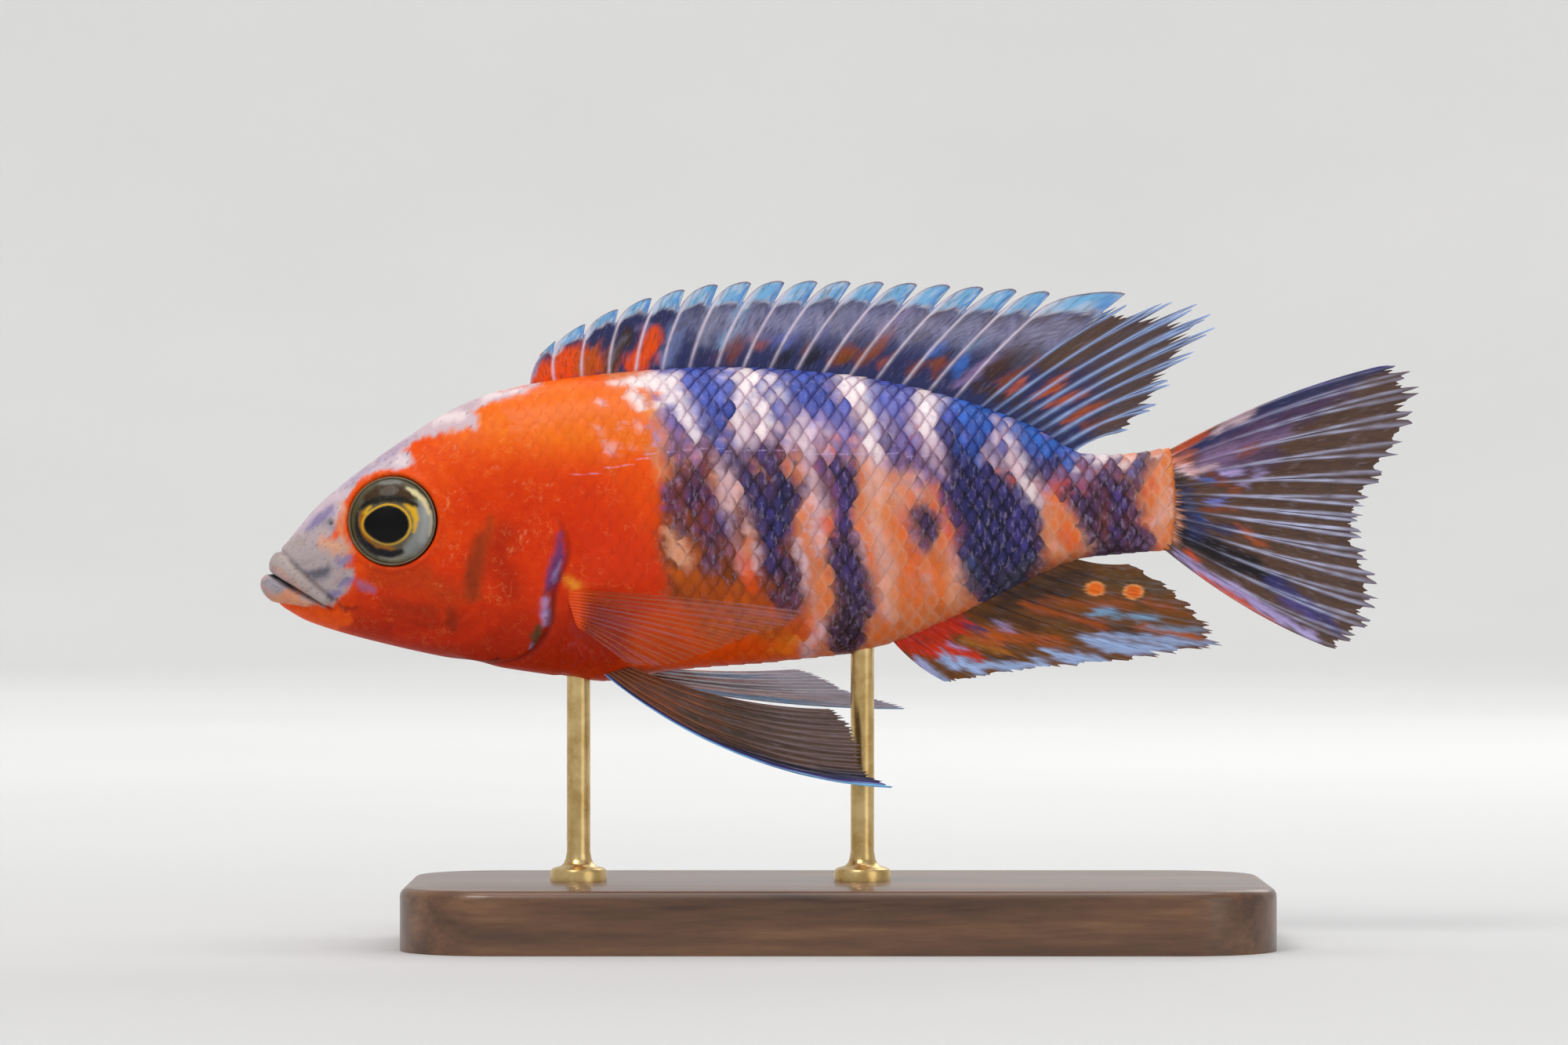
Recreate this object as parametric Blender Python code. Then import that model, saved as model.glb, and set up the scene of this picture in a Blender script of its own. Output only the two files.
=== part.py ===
# A male peacock cichlid of the orange-blotch form, life size, swimming level on a two-rod stand.
# Sizes are millimetres, and MM turns them into Blender's metres. X runs from the snout (-) back
# to the tail (+), Y from the fish's left side (-) to its right side (+), Z up from the base's underside.

import math

import bmesh
import bpy
from mathutils import Matrix, Vector

MM = 0.001
GAP = 0.3
MERGE_DISTANCE = 0.00001

# Body outline seen from the side, as (x, z), and its half width as (x, y)
BACK_LINE = [(-70.7, 50.5), (-65.8, 56.2), (-56.8, 63.2), (-47.8, 68.7), (-38.9, 71.5), (-20.8, 73.4),
             (-8.0, 73.3), (4.0, 72.1), (15.2, 69.5), (25.0, 65.9), (30.2, 62.9), (35.5, 62.4),
             (42.6, 63.3)]
BELLY_LINE = [(-72.0, 43.7), (-67.3, 41.0), (-57.3, 38.1), (-44.8, 35.5), (-35.0, 34.0), (-29.4, 33.3),
              (-20.8, 34.7), (-4.8, 36.1), (5.0, 37.6), (15.2, 41.7), (25.2, 46.6), (30.2, 48.7),
              (36.0, 49.5), (42.6, 50.0)]
HALF_WIDTH = [(-71.0, 3.2), (-69.8, 4.05), (-68.0, 4.75), (-64.0, 5.7), (-57.0, 6.9), (-45.0, 8.2),
              (-30.0, 8.9), (-18.0, 8.9), (0.0, 7.4), (15.0, 5.5), (30.0, 3.2), (42.5, 1.5)]
NOSE_STATION = -71.0
NOSE_LENGTH = 1.1
NOSE_ANGLES = [12, 24, 36, 48]
NOSE_EDGE_ANGLE = 60
TAIL_STATION = 42.2
TAIL_ROUNDING = 1.0
TAIL_ANGLES = [60, 26]
LEAN = 0.8
LEAN_END = -52.0
TOP_FULLNESS = 0.74
BELLY_FULLNESS = 0.88
BODY_SIDES = 32
# Spacing of the body's rings, as (up to x, spacing)
RING_SPACING = [(-62.0, 0.95), (-36.0, 1.7), (28.0, 2.9), (42.2, 2.2)]

# Mouth, nostrils and eyes
MOUTH_FRONT = (-71.8, 47.0)
MOUTH_CORNER = (-64.0, 42.5)
UPPER_LIP = {"radius": 0.82, "offset": 0.95}
LOWER_LIP = {"radius": 0.95, "offset": -1.1}
LIP_POINTS = 19
LIP_OVERRUN = 0.6
LIP_TAPER = 0.6
JAW_CUT = (1.0, -10.0)
NOSTRIL = (-64.4, 53.6)
NOSTRIL_RADIUS = 0.5
EYE_CENTRE = (-56.3, 6.05, 53.8)
EYE_RADIUS = 5.55
EYE_OUTER_DEPTH = 2.2
EYE_INNER_DEPTH = 3.4
EYE_YAW = 7.0
EYE_ROLL = 4.0
EYE_COLUMNS = 20
EYE_ROWS = 12

# Lines along which the body is parted, and the outline of a gill cover, all as (x, z)
NECK_LINE = [(-39.5, 78.0), (-36.4, 62.0), (-33.4, 52.5), (-33.2, 49.2), (-34.9, 45.9), (-35.9, 41.5),
             (-36.6, 37.5), (-37.2, 30.0)]
TAIL_LINE = [(31.2, 70.0), (30.7, 56.0), (31.0, 42.0)]
GILL_COVER = [(-45.6, 56.3), (-40.8, 57.5), (-36.8, 55.3), (-34.6, 50.3), (-35.6, 46.5), (-36.7, 42.8),
              (-37.8, 39.1), (-41.3, 36.5), (-45.3, 36.8), (-47.0, 41.3), (-46.8, 50.3)]
GILL_PROUD = 0.25
GILL_DEPTH = 1.1
GILL_REACH = (2.0, 14.0)
WALL_REACH = 16.0

# Dorsal fin: spines, then soft rays, under one crest line
SPINE_COUNT = 17
SPINE_FIRST_ROOT = -39.0
SPINE_ROOT_PITCH = 3.32
SPINE_TIPS = [-37.9, -35.7]
SPINE_TIP_PITCH = 4.15
SPINE_BOW = 1.2
CREST_LINE = [(-38.5, 75.6), (-36.3, 77.3), (-32.6, 79.3), (-28.0, 81.2), (-20.8, 83.2), (-12.8, 84.1),
              (5.2, 84.0), (20.7, 83.0), (31.2, 82.0), (47.2, 80.8)]
SPINE_BELOW_CREST = 1.1
SOFT_ROOTS = (17.2, 29.2)
SOFT_COUNT = 9
SOFT_TIPS = [(37.2, 81.8), (43.2, 81.5), (47.4, 80.6), (47.6, 78.0), (43.8, 73.8), (41.2, 69.4),
             (36.8, 65.1)]
SOFT_BOW = (-0.3, 0.0, 1.6)

# Tail fin
CAUDAL_COUNT = 17
CAUDAL_ROOT_X = 40.4
CAUDAL_ROOTS = (62.0, 50.8)
CAUDAL_TIPS = [(71.1, 74.0), (73.9, 70.6), (71.6, 63.1), (67.4, 56.2), (66.7, 52.3), (68.6, 46.5),
               (67.8, 40.6), (63.8, 37.3)]
CAUDAL_BOW = 2.8
CAUDAL_SWAY = 1.6

# Anal fin
ANAL_COUNT = 11
ANAL_ROOTS = (6.2, 28.6)
ANAL_TIPS = [(14.0, 33.2), (19.4, 34.1), (25.8, 35.1), (34.7, 35.7), (42.2, 36.8), (49.4, 38.1),
             (46.5, 41.6), (43.6, 44.6), (37.6, 48.4)]
ANAL_BOW = (-0.4, 0.0, -1.2)

# Paired fins: root line and tips, as (x, y, z) on the fish's left, where y is taken outwards
PELVIC_COUNT = 7
PELVIC_ROOTS = ((-29.6, 2.6, 34.4), (-26.4, 3.6, 35.4))
PELVIC_LEFT_TIPS = [(7.5, 8.6, 20.1), (3.2, 8.2, 22.3), (2.8, 7.4, 25.2), (1.6, 6.6, 28.0),
                    (-0.6, 5.8, 30.0)]
PELVIC_RIGHT_TIPS = [(9.4, 9.0, 29.6), (5.0, 8.6, 31.0), (0.6, 8.0, 32.2), (-1.6, 7.2, 33.6),
                     (-5.0, 6.6, 34.8)]
PELVIC_LEFT_BOW = (-1.5, 1.0, -6.5)
PELVIC_RIGHT_BOW = (-0.5, 2.0, -2.5)
PECTORAL_COUNT = 11
PECTORAL_ROOTS = ((-34.2, 7.4, 45.2), (-32.6, 7.4, 40.4))
PECTORAL_TIPS = [(-4.0, 19.6, 42.6), (-6.3, 19.4, 40.8), (-10.8, 18.4, 39.6), (-13.8, 17.4, 38.2),
                 (-17.8, 16.0, 36.8), (-22.3, 14.0, 35.6), (-26.8, 11.6, 36.0)]
PECTORAL_BOW = (0.0, 1.6, 0.6)
BOW_LEFT_AT_LAST_RAY = 0.4

# Fin thickness, and each span between two rays as (share of the span, reach, half thickness)
RAY_HALF = 0.5
MEMBRANE_HALF = 0.27
TIP_SHARE = 0.55
SPINY_SPAN = [(0.0, 1.0, RAY_HALF), (0.17, 1.09, MEMBRANE_HALF), (0.48, 1.12, MEMBRANE_HALF),
              (0.8, 1.11, MEMBRANE_HALF), (0.87, 0.87, MEMBRANE_HALF)]
SOFT_SPAN = [(0.0, 1.0, RAY_HALF), (0.2, 0.96, MEMBRANE_HALF), (0.8, 0.96, MEMBRANE_HALF)]
FIN_ROWS = [0.0, 0.2, 0.4, 0.6, 0.8, 1.0]
FIN_ROOT_DEPTH = 1.6

# Stand
BASE_SIZE = (110.0, 52.0, 8.0)
BASE_CORNER = 12.0
BASE_CORNER_STEPS = 6
BASE_CHAMFER = 1.2
ROD_PLACES = {"front": -33.0, "rear": 3.2}
ROD_RADIUS = 1.5
ROD_COLLAR_RADIUS = 3.6
ROD_COLLAR_HEIGHT = 1.6
ROD_FILLET = [(0.4, 0.6), (0.0, 1.6)]
ROD_OVERRUN = 2.0
ROD_SIDES = 20


def clear_scene():
    for item in list(bpy.data.objects):
        bpy.data.objects.remove(item, do_unlink=True)


def material(name, colour, roughness, metallic=0.0):
    made = bpy.data.materials.new(name)
    made.use_nodes = True
    shader = made.node_tree.nodes["Principled BSDF"]
    shader.inputs["Base Color"].default_value = (*colour, 1.0)
    shader.inputs["Roughness"].default_value = roughness
    shader.inputs["Metallic"].default_value = metallic
    made.diffuse_color = (*colour, 1.0)
    return made


def object_from(name, points, faces):
    mesh = bpy.data.meshes.new(name)
    mesh.from_pydata([Vector(point) * MM for point in points], [], faces)
    mesh.validate()
    made = bpy.data.objects.new(name, mesh)
    bpy.context.scene.collection.objects.link(made)
    face_outwards(made)
    return made


def face_outwards(target):
    work = bmesh.new()
    work.from_mesh(target.data)
    bmesh.ops.recalc_face_normals(work, faces=work.faces)
    work.to_mesh(target.data)
    work.free()


def apply_modifiers(target):
    evaluated = target.evaluated_get(bpy.context.evaluated_depsgraph_get())
    mesh = bpy.data.meshes.new_from_object(evaluated)
    target.modifiers.clear()
    old = target.data
    target.data = mesh
    bpy.data.meshes.remove(old)


def combine(target, other, operation, keep_other=False):
    boolean = target.modifiers.new("join", "BOOLEAN")
    boolean.operation = operation
    boolean.object = other
    apply_modifiers(target)
    if not keep_other:
        bpy.data.objects.remove(other, do_unlink=True)


def loose_surfaces(mesh):
    # Lists of face indices, one list for each closed surface of the mesh
    work = bmesh.new()
    work.from_mesh(mesh)
    work.faces.ensure_lookup_table()
    seen = set()
    surfaces = []
    for start in work.faces:
        if start.index in seen:
            continue
        group = []
        queue = [start]
        seen.add(start.index)
        while queue:
            face = queue.pop()
            group.append(face.index)
            for edge in face.edges:
                for neighbour in edge.link_faces:
                    if neighbour.index not in seen:
                        seen.add(neighbour.index)
                        queue.append(neighbour)
        surfaces.append(group)
    work.free()
    return sorted(surfaces, key=len, reverse=True)


def keep_faces(mesh, indices):
    work = bmesh.new()
    work.from_mesh(mesh)
    wanted = set(indices)
    spare = [face for face in work.faces if face.index not in wanted]
    bmesh.ops.delete(work, geom=spare, context="FACES")
    work.to_mesh(mesh)
    work.free()


def keep_largest(target):
    keep_faces(target.data, loose_surfaces(target.data)[0])


def smooth(target, angle=40.0):
    target.data.shade_smooth()
    target.data.set_sharp_from_angle(angle=math.radians(angle))


def finish(target, name, colour, roughness, metallic=0.0):
    target.name = name
    target.data.name = name
    target.data.materials.clear()
    target.data.materials.append(material(name, colour, roughness, metallic))
    smooth(target)
    return target


def along_line(line, x):
    # Height of a smooth curve through the line's points at x
    spans = len(line) - 1
    index = 0
    while index < spans - 1 and x > line[index + 1][0]:
        index += 1
    (x0, z0), (x1, z1) = line[index], line[index + 1]
    before = line[max(index - 1, 0)]
    after = line[min(index + 2, spans)]
    slope0 = (z1 - before[1]) / (x1 - before[0])
    slope1 = (after[1] - z0) / (after[0] - x0)
    width = x1 - x0
    t = (x - x0) / width
    return (z0 * (1 + 2 * t) * (1 - t) ** 2 + z1 * t * t * (3 - 2 * t)
            + slope0 * width * t * (1 - t) ** 2 - slope1 * width * t * t * (1 - t))


def along_path(path, share):
    # Point at a share of the way along a smooth curve through the path's points
    points = [Vector(point) for point in path]
    spans = len(points) - 1
    place = min(max(share, 0.0), 1.0) * spans
    index = min(int(place), spans - 1)
    t = place - index
    p1, p2 = points[index], points[index + 1]
    p0 = points[index - 1] if index > 0 else p1 * 2 - p2
    p3 = points[index + 2] if index + 2 <= spans else p2 * 2 - p1
    return 0.5 * (2 * p1 + (p2 - p0) * t + (2 * p0 - 5 * p1 + 4 * p2 - p3) * t * t
                  + (3 * p1 - p0 - 3 * p2 + p3) * t ** 3)


def body_section(station, grow):
    # Top point, bottom point and half width of the body's ring at a station
    share = min(max((LEAN_END - station) / (LEAN_END - NOSE_STATION), 0.0), 1.0)
    lean = LEAN * share
    top = Vector((station + lean, 0.0, along_line(BACK_LINE, station + lean) + grow))
    bottom = Vector((station - lean, 0.0, along_line(BELLY_LINE, station - lean) - grow))
    return top, bottom, along_line(HALF_WIDTH, station) + grow


def section_ring(top, bottom, half_width, size=1.0, shift=0.0):
    centre = (top + bottom) / 2 + Vector((shift, 0.0, 0.0))
    half_height = (top - bottom) / 2
    ring = []
    for side in range(BODY_SIDES):
        angle = 2 * math.pi * side / BODY_SIDES
        breadth = math.sin(angle)
        fullness = TOP_FULLNESS if math.cos(angle) > 0 else BELLY_FULLNESS
        y = half_width * math.copysign(abs(breadth) ** fullness, breadth)
        ring.append(centre + size * (half_height * math.cos(angle) + Vector((0.0, y, 0.0))))
    return ring


def stations():
    places = [NOSE_STATION]
    for end, spacing in RING_SPACING:
        count = max(1, round((end - places[-1]) / spacing))
        step = (end - places[-1]) / count
        places += [places[-1] + step * (index + 1) for index in range(count)]
    return places


def body(name, grow=0.0):
    rings = []
    nose = body_section(NOSE_STATION, grow)
    edge = math.radians(NOSE_EDGE_ANGLE)
    for degrees in NOSE_ANGLES:
        angle = math.radians(degrees)
        ahead = (math.cos(angle) - math.cos(edge)) / (1 - math.cos(edge))
        rings.append(section_ring(*nose, math.sin(angle) / math.sin(edge), -(NOSE_LENGTH + grow) * ahead))
    for station in stations():
        rings.append(section_ring(*body_section(station, grow)))
    tail = body_section(TAIL_STATION, grow)
    for degrees in TAIL_ANGLES:
        angle = math.radians(degrees)
        rings.append(section_ring(*tail, math.sin(angle), (TAIL_ROUNDING + grow) * math.cos(angle)))
    points = [point for ring in rings for point in ring]
    faces = []
    for ring in range(len(rings) - 1):
        for side in range(BODY_SIDES):
            after = (side + 1) % BODY_SIDES
            low, high = ring * BODY_SIDES, (ring + 1) * BODY_SIDES
            faces.append((low + side, low + after, high + after, high + side))
    front = (nose[0] + nose[1]) / 2 - Vector((NOSE_LENGTH + grow, 0.0, 0.0))
    back = (tail[0] + tail[1]) / 2 + Vector((TAIL_ROUNDING + grow, 0.0, 0.0))
    last = (len(rings) - 1) * BODY_SIDES
    for side in range(BODY_SIDES):
        after = (side + 1) % BODY_SIDES
        faces.append((len(points), after, side))
        faces.append((len(points) + 1, last + side, last + after))
    return object_from(name, points + [front, back], faces)


def flank_y(x, z):
    # Half breadth of the body at a place on its side
    top, bottom = along_line(BACK_LINE, x), along_line(BELLY_LINE, x)
    height = (2 * z - top - bottom) / (top - bottom)
    fullness = TOP_FULLNESS if height > 0 else BELLY_FULLNESS
    return along_line(HALF_WIDTH, x) * math.sqrt(max(0.0, 1 - height * height)) ** fullness


def wall(name, line):
    # A thin upright cutter that follows a line seen from the side
    points = [Vector((x, 0.0, z)) for x, z in line]
    left, right = [], []
    for index, point in enumerate(points):
        before = points[max(index - 1, 0)]
        after = points[min(index + 1, len(points) - 1)]
        direction = (after - before).normalized()
        normal = Vector((-direction.z, 0.0, direction.x)) * GAP / 2
        left.append(point + normal)
        right.append(point - normal)
    return prism(name, left + right[::-1], -WALL_REACH, WALL_REACH)


def prism(name, outline, y_start, y_end):
    count = len(outline)
    near = [Vector((point[0], y_start, point[-1])) for point in outline]
    far = [Vector((point[0], y_end, point[-1])) for point in outline]
    faces = [tuple(range(count)), tuple(range(2 * count - 1, count - 1, -1))]
    for index in range(count):
        after = (index + 1) % count
        faces.append((index, index + count, after + count, after))
    return object_from(name, near + far, faces)


def closed_outline(corners, grow=0.0, count=30):
    # A smooth closed curve through the corners, moved outwards by grow
    loop = corners[-2:] + corners + corners[:2]
    spans = len(loop) - 1
    points = []
    for index in range(count):
        share = (2 + index * len(corners) / count) / spans
        points.append(along_path([(x, 0.0, z) for x, z in loop], share))
    grown = []
    for index, point in enumerate(points):
        direction = (points[(index + 1) % count] - points[index - 1]).normalized()
        grown.append(point + Vector((-direction.z, 0.0, direction.x)) * grow)
    return grown


def lip(name, radius, offset):
    # A tapered roll on the body where a plane beside the mouth line crosses it
    front = Vector((MOUTH_FRONT[0], 0.0, MOUTH_FRONT[1]))
    corner = Vector((MOUTH_CORNER[0], 0.0, MOUTH_CORNER[1]))
    direction = (corner - front).normalized()
    normal = Vector((-direction.z, 0.0, direction.x))
    centre = corner + normal * offset
    guide = body("lip_guide")
    work = bmesh.new()
    work.from_mesh(guide.data)
    result = bmesh.ops.bisect_plane(work, geom=work.verts[:] + work.edges[:] + work.faces[:],
                                    plane_co=centre * MM, plane_no=normal)
    crossings = [item.co / MM for item in result["geom_cut"] if isinstance(item, bmesh.types.BMVert)]
    work.free()
    bpy.data.objects.remove(guide, do_unlink=True)
    ahead = [point for point in crossings if (point - centre).dot(direction) < LIP_OVERRUN]
    ahead.sort(key=lambda point: math.atan2(point.y, -(point - centre).dot(direction)))
    line = [along_path(ahead, index / (LIP_POINTS - 1)) for index in range(LIP_POINTS)]
    curve = bpy.data.curves.new(name, "CURVE")
    curve.dimensions = "3D"
    curve.bevel_depth = radius * MM
    curve.bevel_resolution = 2
    curve.use_fill_caps = True
    spline = curve.splines.new("POLY")
    spline.points.add(LIP_POINTS - 1)
    for index, point in enumerate(line):
        reach = abs(2 * index / (LIP_POINTS - 1) - 1)
        spline.points[index].co = (*(point * MM), 1.0)
        spline.points[index].radius = 1.0 - LIP_TAPER * reach ** 4
    roll = bpy.data.objects.new(name, curve)
    bpy.context.scene.collection.objects.link(roll)
    evaluated = roll.evaluated_get(bpy.context.evaluated_depsgraph_get())
    mesh = bpy.data.meshes.new_from_object(evaluated)
    bpy.data.objects.remove(roll, do_unlink=True)
    made = bpy.data.objects.new(name, mesh)
    bpy.context.scene.collection.objects.link(made)
    work = bmesh.new()
    work.from_mesh(mesh)
    bmesh.ops.remove_doubles(work, verts=work.verts, dist=MERGE_DISTANCE)
    bmesh.ops.recalc_face_normals(work, faces=work.faces)
    work.to_mesh(mesh)
    work.free()
    return made


def eyeball(name, side, grow=0.0):
    points = []
    for row in range(1, EYE_ROWS):
        tilt = math.pi * row / EYE_ROWS
        depth = EYE_OUTER_DEPTH if row <= EYE_ROWS / 2 else EYE_INNER_DEPTH
        radius = (EYE_RADIUS + grow) * math.sin(tilt)
        out = (depth + grow) * math.cos(tilt)
        for column in range(EYE_COLUMNS):
            turn = 2 * math.pi * column / EYE_COLUMNS
            points.append(Vector((radius * math.cos(turn), out, radius * math.sin(turn))))
    faces = []
    for row in range(EYE_ROWS - 2):
        for column in range(EYE_COLUMNS):
            after = (column + 1) % EYE_COLUMNS
            low, high = row * EYE_COLUMNS, (row + 1) * EYE_COLUMNS
            faces.append((low + column, low + after, high + after, high + column))
    points += [Vector((0.0, EYE_OUTER_DEPTH + grow, 0.0)), Vector((0.0, -EYE_INNER_DEPTH - grow, 0.0))]
    last = (EYE_ROWS - 2) * EYE_COLUMNS
    for column in range(EYE_COLUMNS):
        after = (column + 1) % EYE_COLUMNS
        faces.append((len(points) - 2, after, column))
        faces.append((len(points) - 1, last + column, last + after))
    yaw = Matrix.Rotation(math.radians(EYE_YAW), 3, "Z")
    roll = Matrix.Rotation(math.radians(EYE_ROLL), 3, "X")
    placed = [yaw @ roll @ point + Vector(EYE_CENTRE) for point in points]
    return object_from(name, [Vector((point.x, side * point.y, point.z)) for point in placed], faces)


def ball(name, centre, radius):
    mesh = bpy.data.meshes.new(name)
    work = bmesh.new()
    bmesh.ops.create_icosphere(work, subdivisions=2, radius=radius * MM,
                               matrix=Matrix.Translation(Vector(centre) * MM))
    work.to_mesh(mesh)
    work.free()
    made = bpy.data.objects.new(name, mesh)
    bpy.context.scene.collection.objects.link(made)
    return made


def ray(root, tip, bow):
    # A fin ray as a curve that leaves its root steeply and bends back towards its tip
    root, tip = Vector(root), Vector(tip)
    bend = (root + tip) / 2 + Vector(bow)

    def at(share):
        return root * (1 - share) ** 2 + bend * 2 * share * (1 - share) + tip * share * share
    return at


def fin(name, rays, spans, sway=0.0):
    # A membrane with its rays raised on both faces; spans gives the columns after each ray
    grid, halves = [], []
    for index, at in enumerate(rays):
        last = index == len(rays) - 1
        beside = at if last else rays[index + 1]
        for share, reach, half in ([(0.0, 1.0, RAY_HALF)] if last else spans[index]):
            column = [at(row * reach).lerp(beside(row * reach), share) for row in FIN_ROWS]
            grid.append(column)
            halves.append([half * (1 - (1 - TIP_SHARE) * row) for row in FIN_ROWS])
    first, final = (rays[end](1.0) - rays[end](0.0) for end in (0, -1))
    normal = first.cross(final).normalized()
    columns, rows = len(grid), len(FIN_ROWS)
    near, far = [], []
    for column in range(columns):
        for row in range(rows):
            bend = Vector((0.0, sway * FIN_ROWS[row] ** 2 * math.sin(math.pi * column / columns), 0.0))
            near.append(grid[column][row] + bend + normal * halves[column][row])
            far.append(grid[column][row] + bend - normal * halves[column][row])
    faces = []
    offset = len(near)
    for column in range(columns - 1):
        for row in range(rows - 1):
            a, b = column * rows + row, (column + 1) * rows + row
            faces += [(a, a + 1, b + 1), (a, b + 1, b)]
            a, b = a + offset, b + offset
            faces += [(a, b + 1, a + 1), (a, b, b + 1)]
    rim = [row for row in range(rows)]
    rim += [column * rows + rows - 1 for column in range(1, columns)]
    rim += [(columns - 1) * rows + row for row in range(rows - 2, -1, -1)]
    rim += [column * rows for column in range(columns - 2, 0, -1)]
    for a, b in zip(rim, rim[1:] + rim[:1]):
        faces += [(a, a + offset, b + offset), (a, b + offset, b)]
    return object_from(name, near + far, faces)


def spread(count, path):
    return [along_path(path, index / (count - 1)) for index in range(count)]


def dorsal_fin():
    rays = []
    for index in range(SPINE_COUNT):
        root_x = SPINE_FIRST_ROOT + SPINE_ROOT_PITCH * index
        tip_x = SPINE_TIPS[0] if index == 0 else SPINE_TIPS[1] + SPINE_TIP_PITCH * (index - 1)
        root = (root_x, 0.0, along_line(BACK_LINE, root_x) - FIN_ROOT_DEPTH)
        tip = (tip_x, 0.0, along_line(CREST_LINE, tip_x) - SPINE_BELOW_CREST)
        rays.append(ray(root, tip, (-SPINE_BOW, 0.0, 0.0)))
    for index, tip in enumerate(spread(SOFT_COUNT, [(x, 0.0, z) for x, z in SOFT_TIPS])):
        root_x = SOFT_ROOTS[0] + (SOFT_ROOTS[1] - SOFT_ROOTS[0]) * index / (SOFT_COUNT - 1)
        root = (root_x, 0.0, along_line(BACK_LINE, root_x) - FIN_ROOT_DEPTH)
        rays.append(ray(root, tip, SOFT_BOW))
    spans = [SPINY_SPAN] * SPINE_COUNT + [SOFT_SPAN] * (SOFT_COUNT - 1)
    return fin("dorsal_fin", rays, spans)


def caudal_fin():
    rays = []
    for index, tip in enumerate(spread(CAUDAL_COUNT, [(x, 0.0, z) for x, z in CAUDAL_TIPS])):
        share = index / (CAUDAL_COUNT - 1)
        root = (CAUDAL_ROOT_X, 0.0, CAUDAL_ROOTS[0] + (CAUDAL_ROOTS[1] - CAUDAL_ROOTS[0]) * share)
        rays.append(ray(root, tip, (0.0, 0.0, CAUDAL_BOW * (1 - 2 * share))))
    return fin("caudal_fin", rays, [SOFT_SPAN] * (CAUDAL_COUNT - 1), CAUDAL_SWAY)


def anal_fin():
    rays = []
    for index, tip in enumerate(spread(ANAL_COUNT, [(x, 0.0, z) for x, z in ANAL_TIPS])):
        root_x = ANAL_ROOTS[0] + (ANAL_ROOTS[1] - ANAL_ROOTS[0]) * index / (ANAL_COUNT - 1)
        root = (root_x, 0.0, along_line(BELLY_LINE, root_x) + FIN_ROOT_DEPTH)
        rays.append(ray(root, tip, ANAL_BOW))
    return fin("anal_fin", rays, [SOFT_SPAN] * (ANAL_COUNT - 1))


def paired_fin(name, side, roots, tips, count, bow):
    rays = []
    for index, tip in enumerate(spread(count, tips)):
        share = index / (count - 1)
        root = Vector(roots[0]).lerp(Vector(roots[1]), share)
        eased = Vector(bow) * (1 - (1 - BOW_LEFT_AT_LAST_RAY) * share)
        mirrored = [(point[0], side * point[1], point[2]) for point in (root, tip, eased)]
        rays.append(ray(*mirrored))
    return fin(name, rays, [SOFT_SPAN] * (count - 1))


def rooted(target, grown_body):
    combine(target, grown_body, "DIFFERENCE", keep_other=True)
    keep_largest(target)
    return target


def fins():
    grown = body("grown_body", GAP)
    orange, smoke = (0.75, 0.3, 0.12), (0.32, 0.3, 0.42)
    finish(rooted(dorsal_fin(), grown), "dorsal_fin", (0.3, 0.33, 0.55), 0.4)
    finish(rooted(caudal_fin(), grown), "caudal_fin", smoke, 0.4)
    finish(rooted(anal_fin(), grown), "anal_fin", orange, 0.4)
    for name, side, tips, bow in (("left", -1, PELVIC_LEFT_TIPS, PELVIC_LEFT_BOW),
                                  ("right", 1, PELVIC_RIGHT_TIPS, PELVIC_RIGHT_BOW)):
        made = paired_fin("pelvic_fin_" + name, side, PELVIC_ROOTS, tips, PELVIC_COUNT, bow)
        finish(rooted(made, grown), "pelvic_fin_" + name, smoke, 0.4)
    for name, side in (("left", -1), ("right", 1)):
        made = paired_fin("pectoral_fin_" + name, side, PECTORAL_ROOTS, PECTORAL_TIPS, PECTORAL_COUNT,
                          PECTORAL_BOW)
        finish(rooted(made, grown), "pectoral_fin_" + name, orange, 0.35)
    return grown


def gill_cover(name, side):
    plate = prism("plate", closed_outline(GILL_COVER), *[side * reach for reach in GILL_REACH])
    combine(plate, body("outer", GILL_PROUD), "INTERSECT")
    combine(plate, body("inner", -GILL_DEPTH), "DIFFERENCE")
    keep_largest(plate)
    return finish(plate, name, (0.8, 0.28, 0.06), 0.35)


def gill_pocket(side):
    pocket = prism("pocket", closed_outline(GILL_COVER, GAP), *[side * reach for reach in GILL_REACH])
    combine(pocket, body("floor", -GILL_DEPTH - GAP), "DIFFERENCE")
    keep_largest(pocket)
    return pocket


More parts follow.
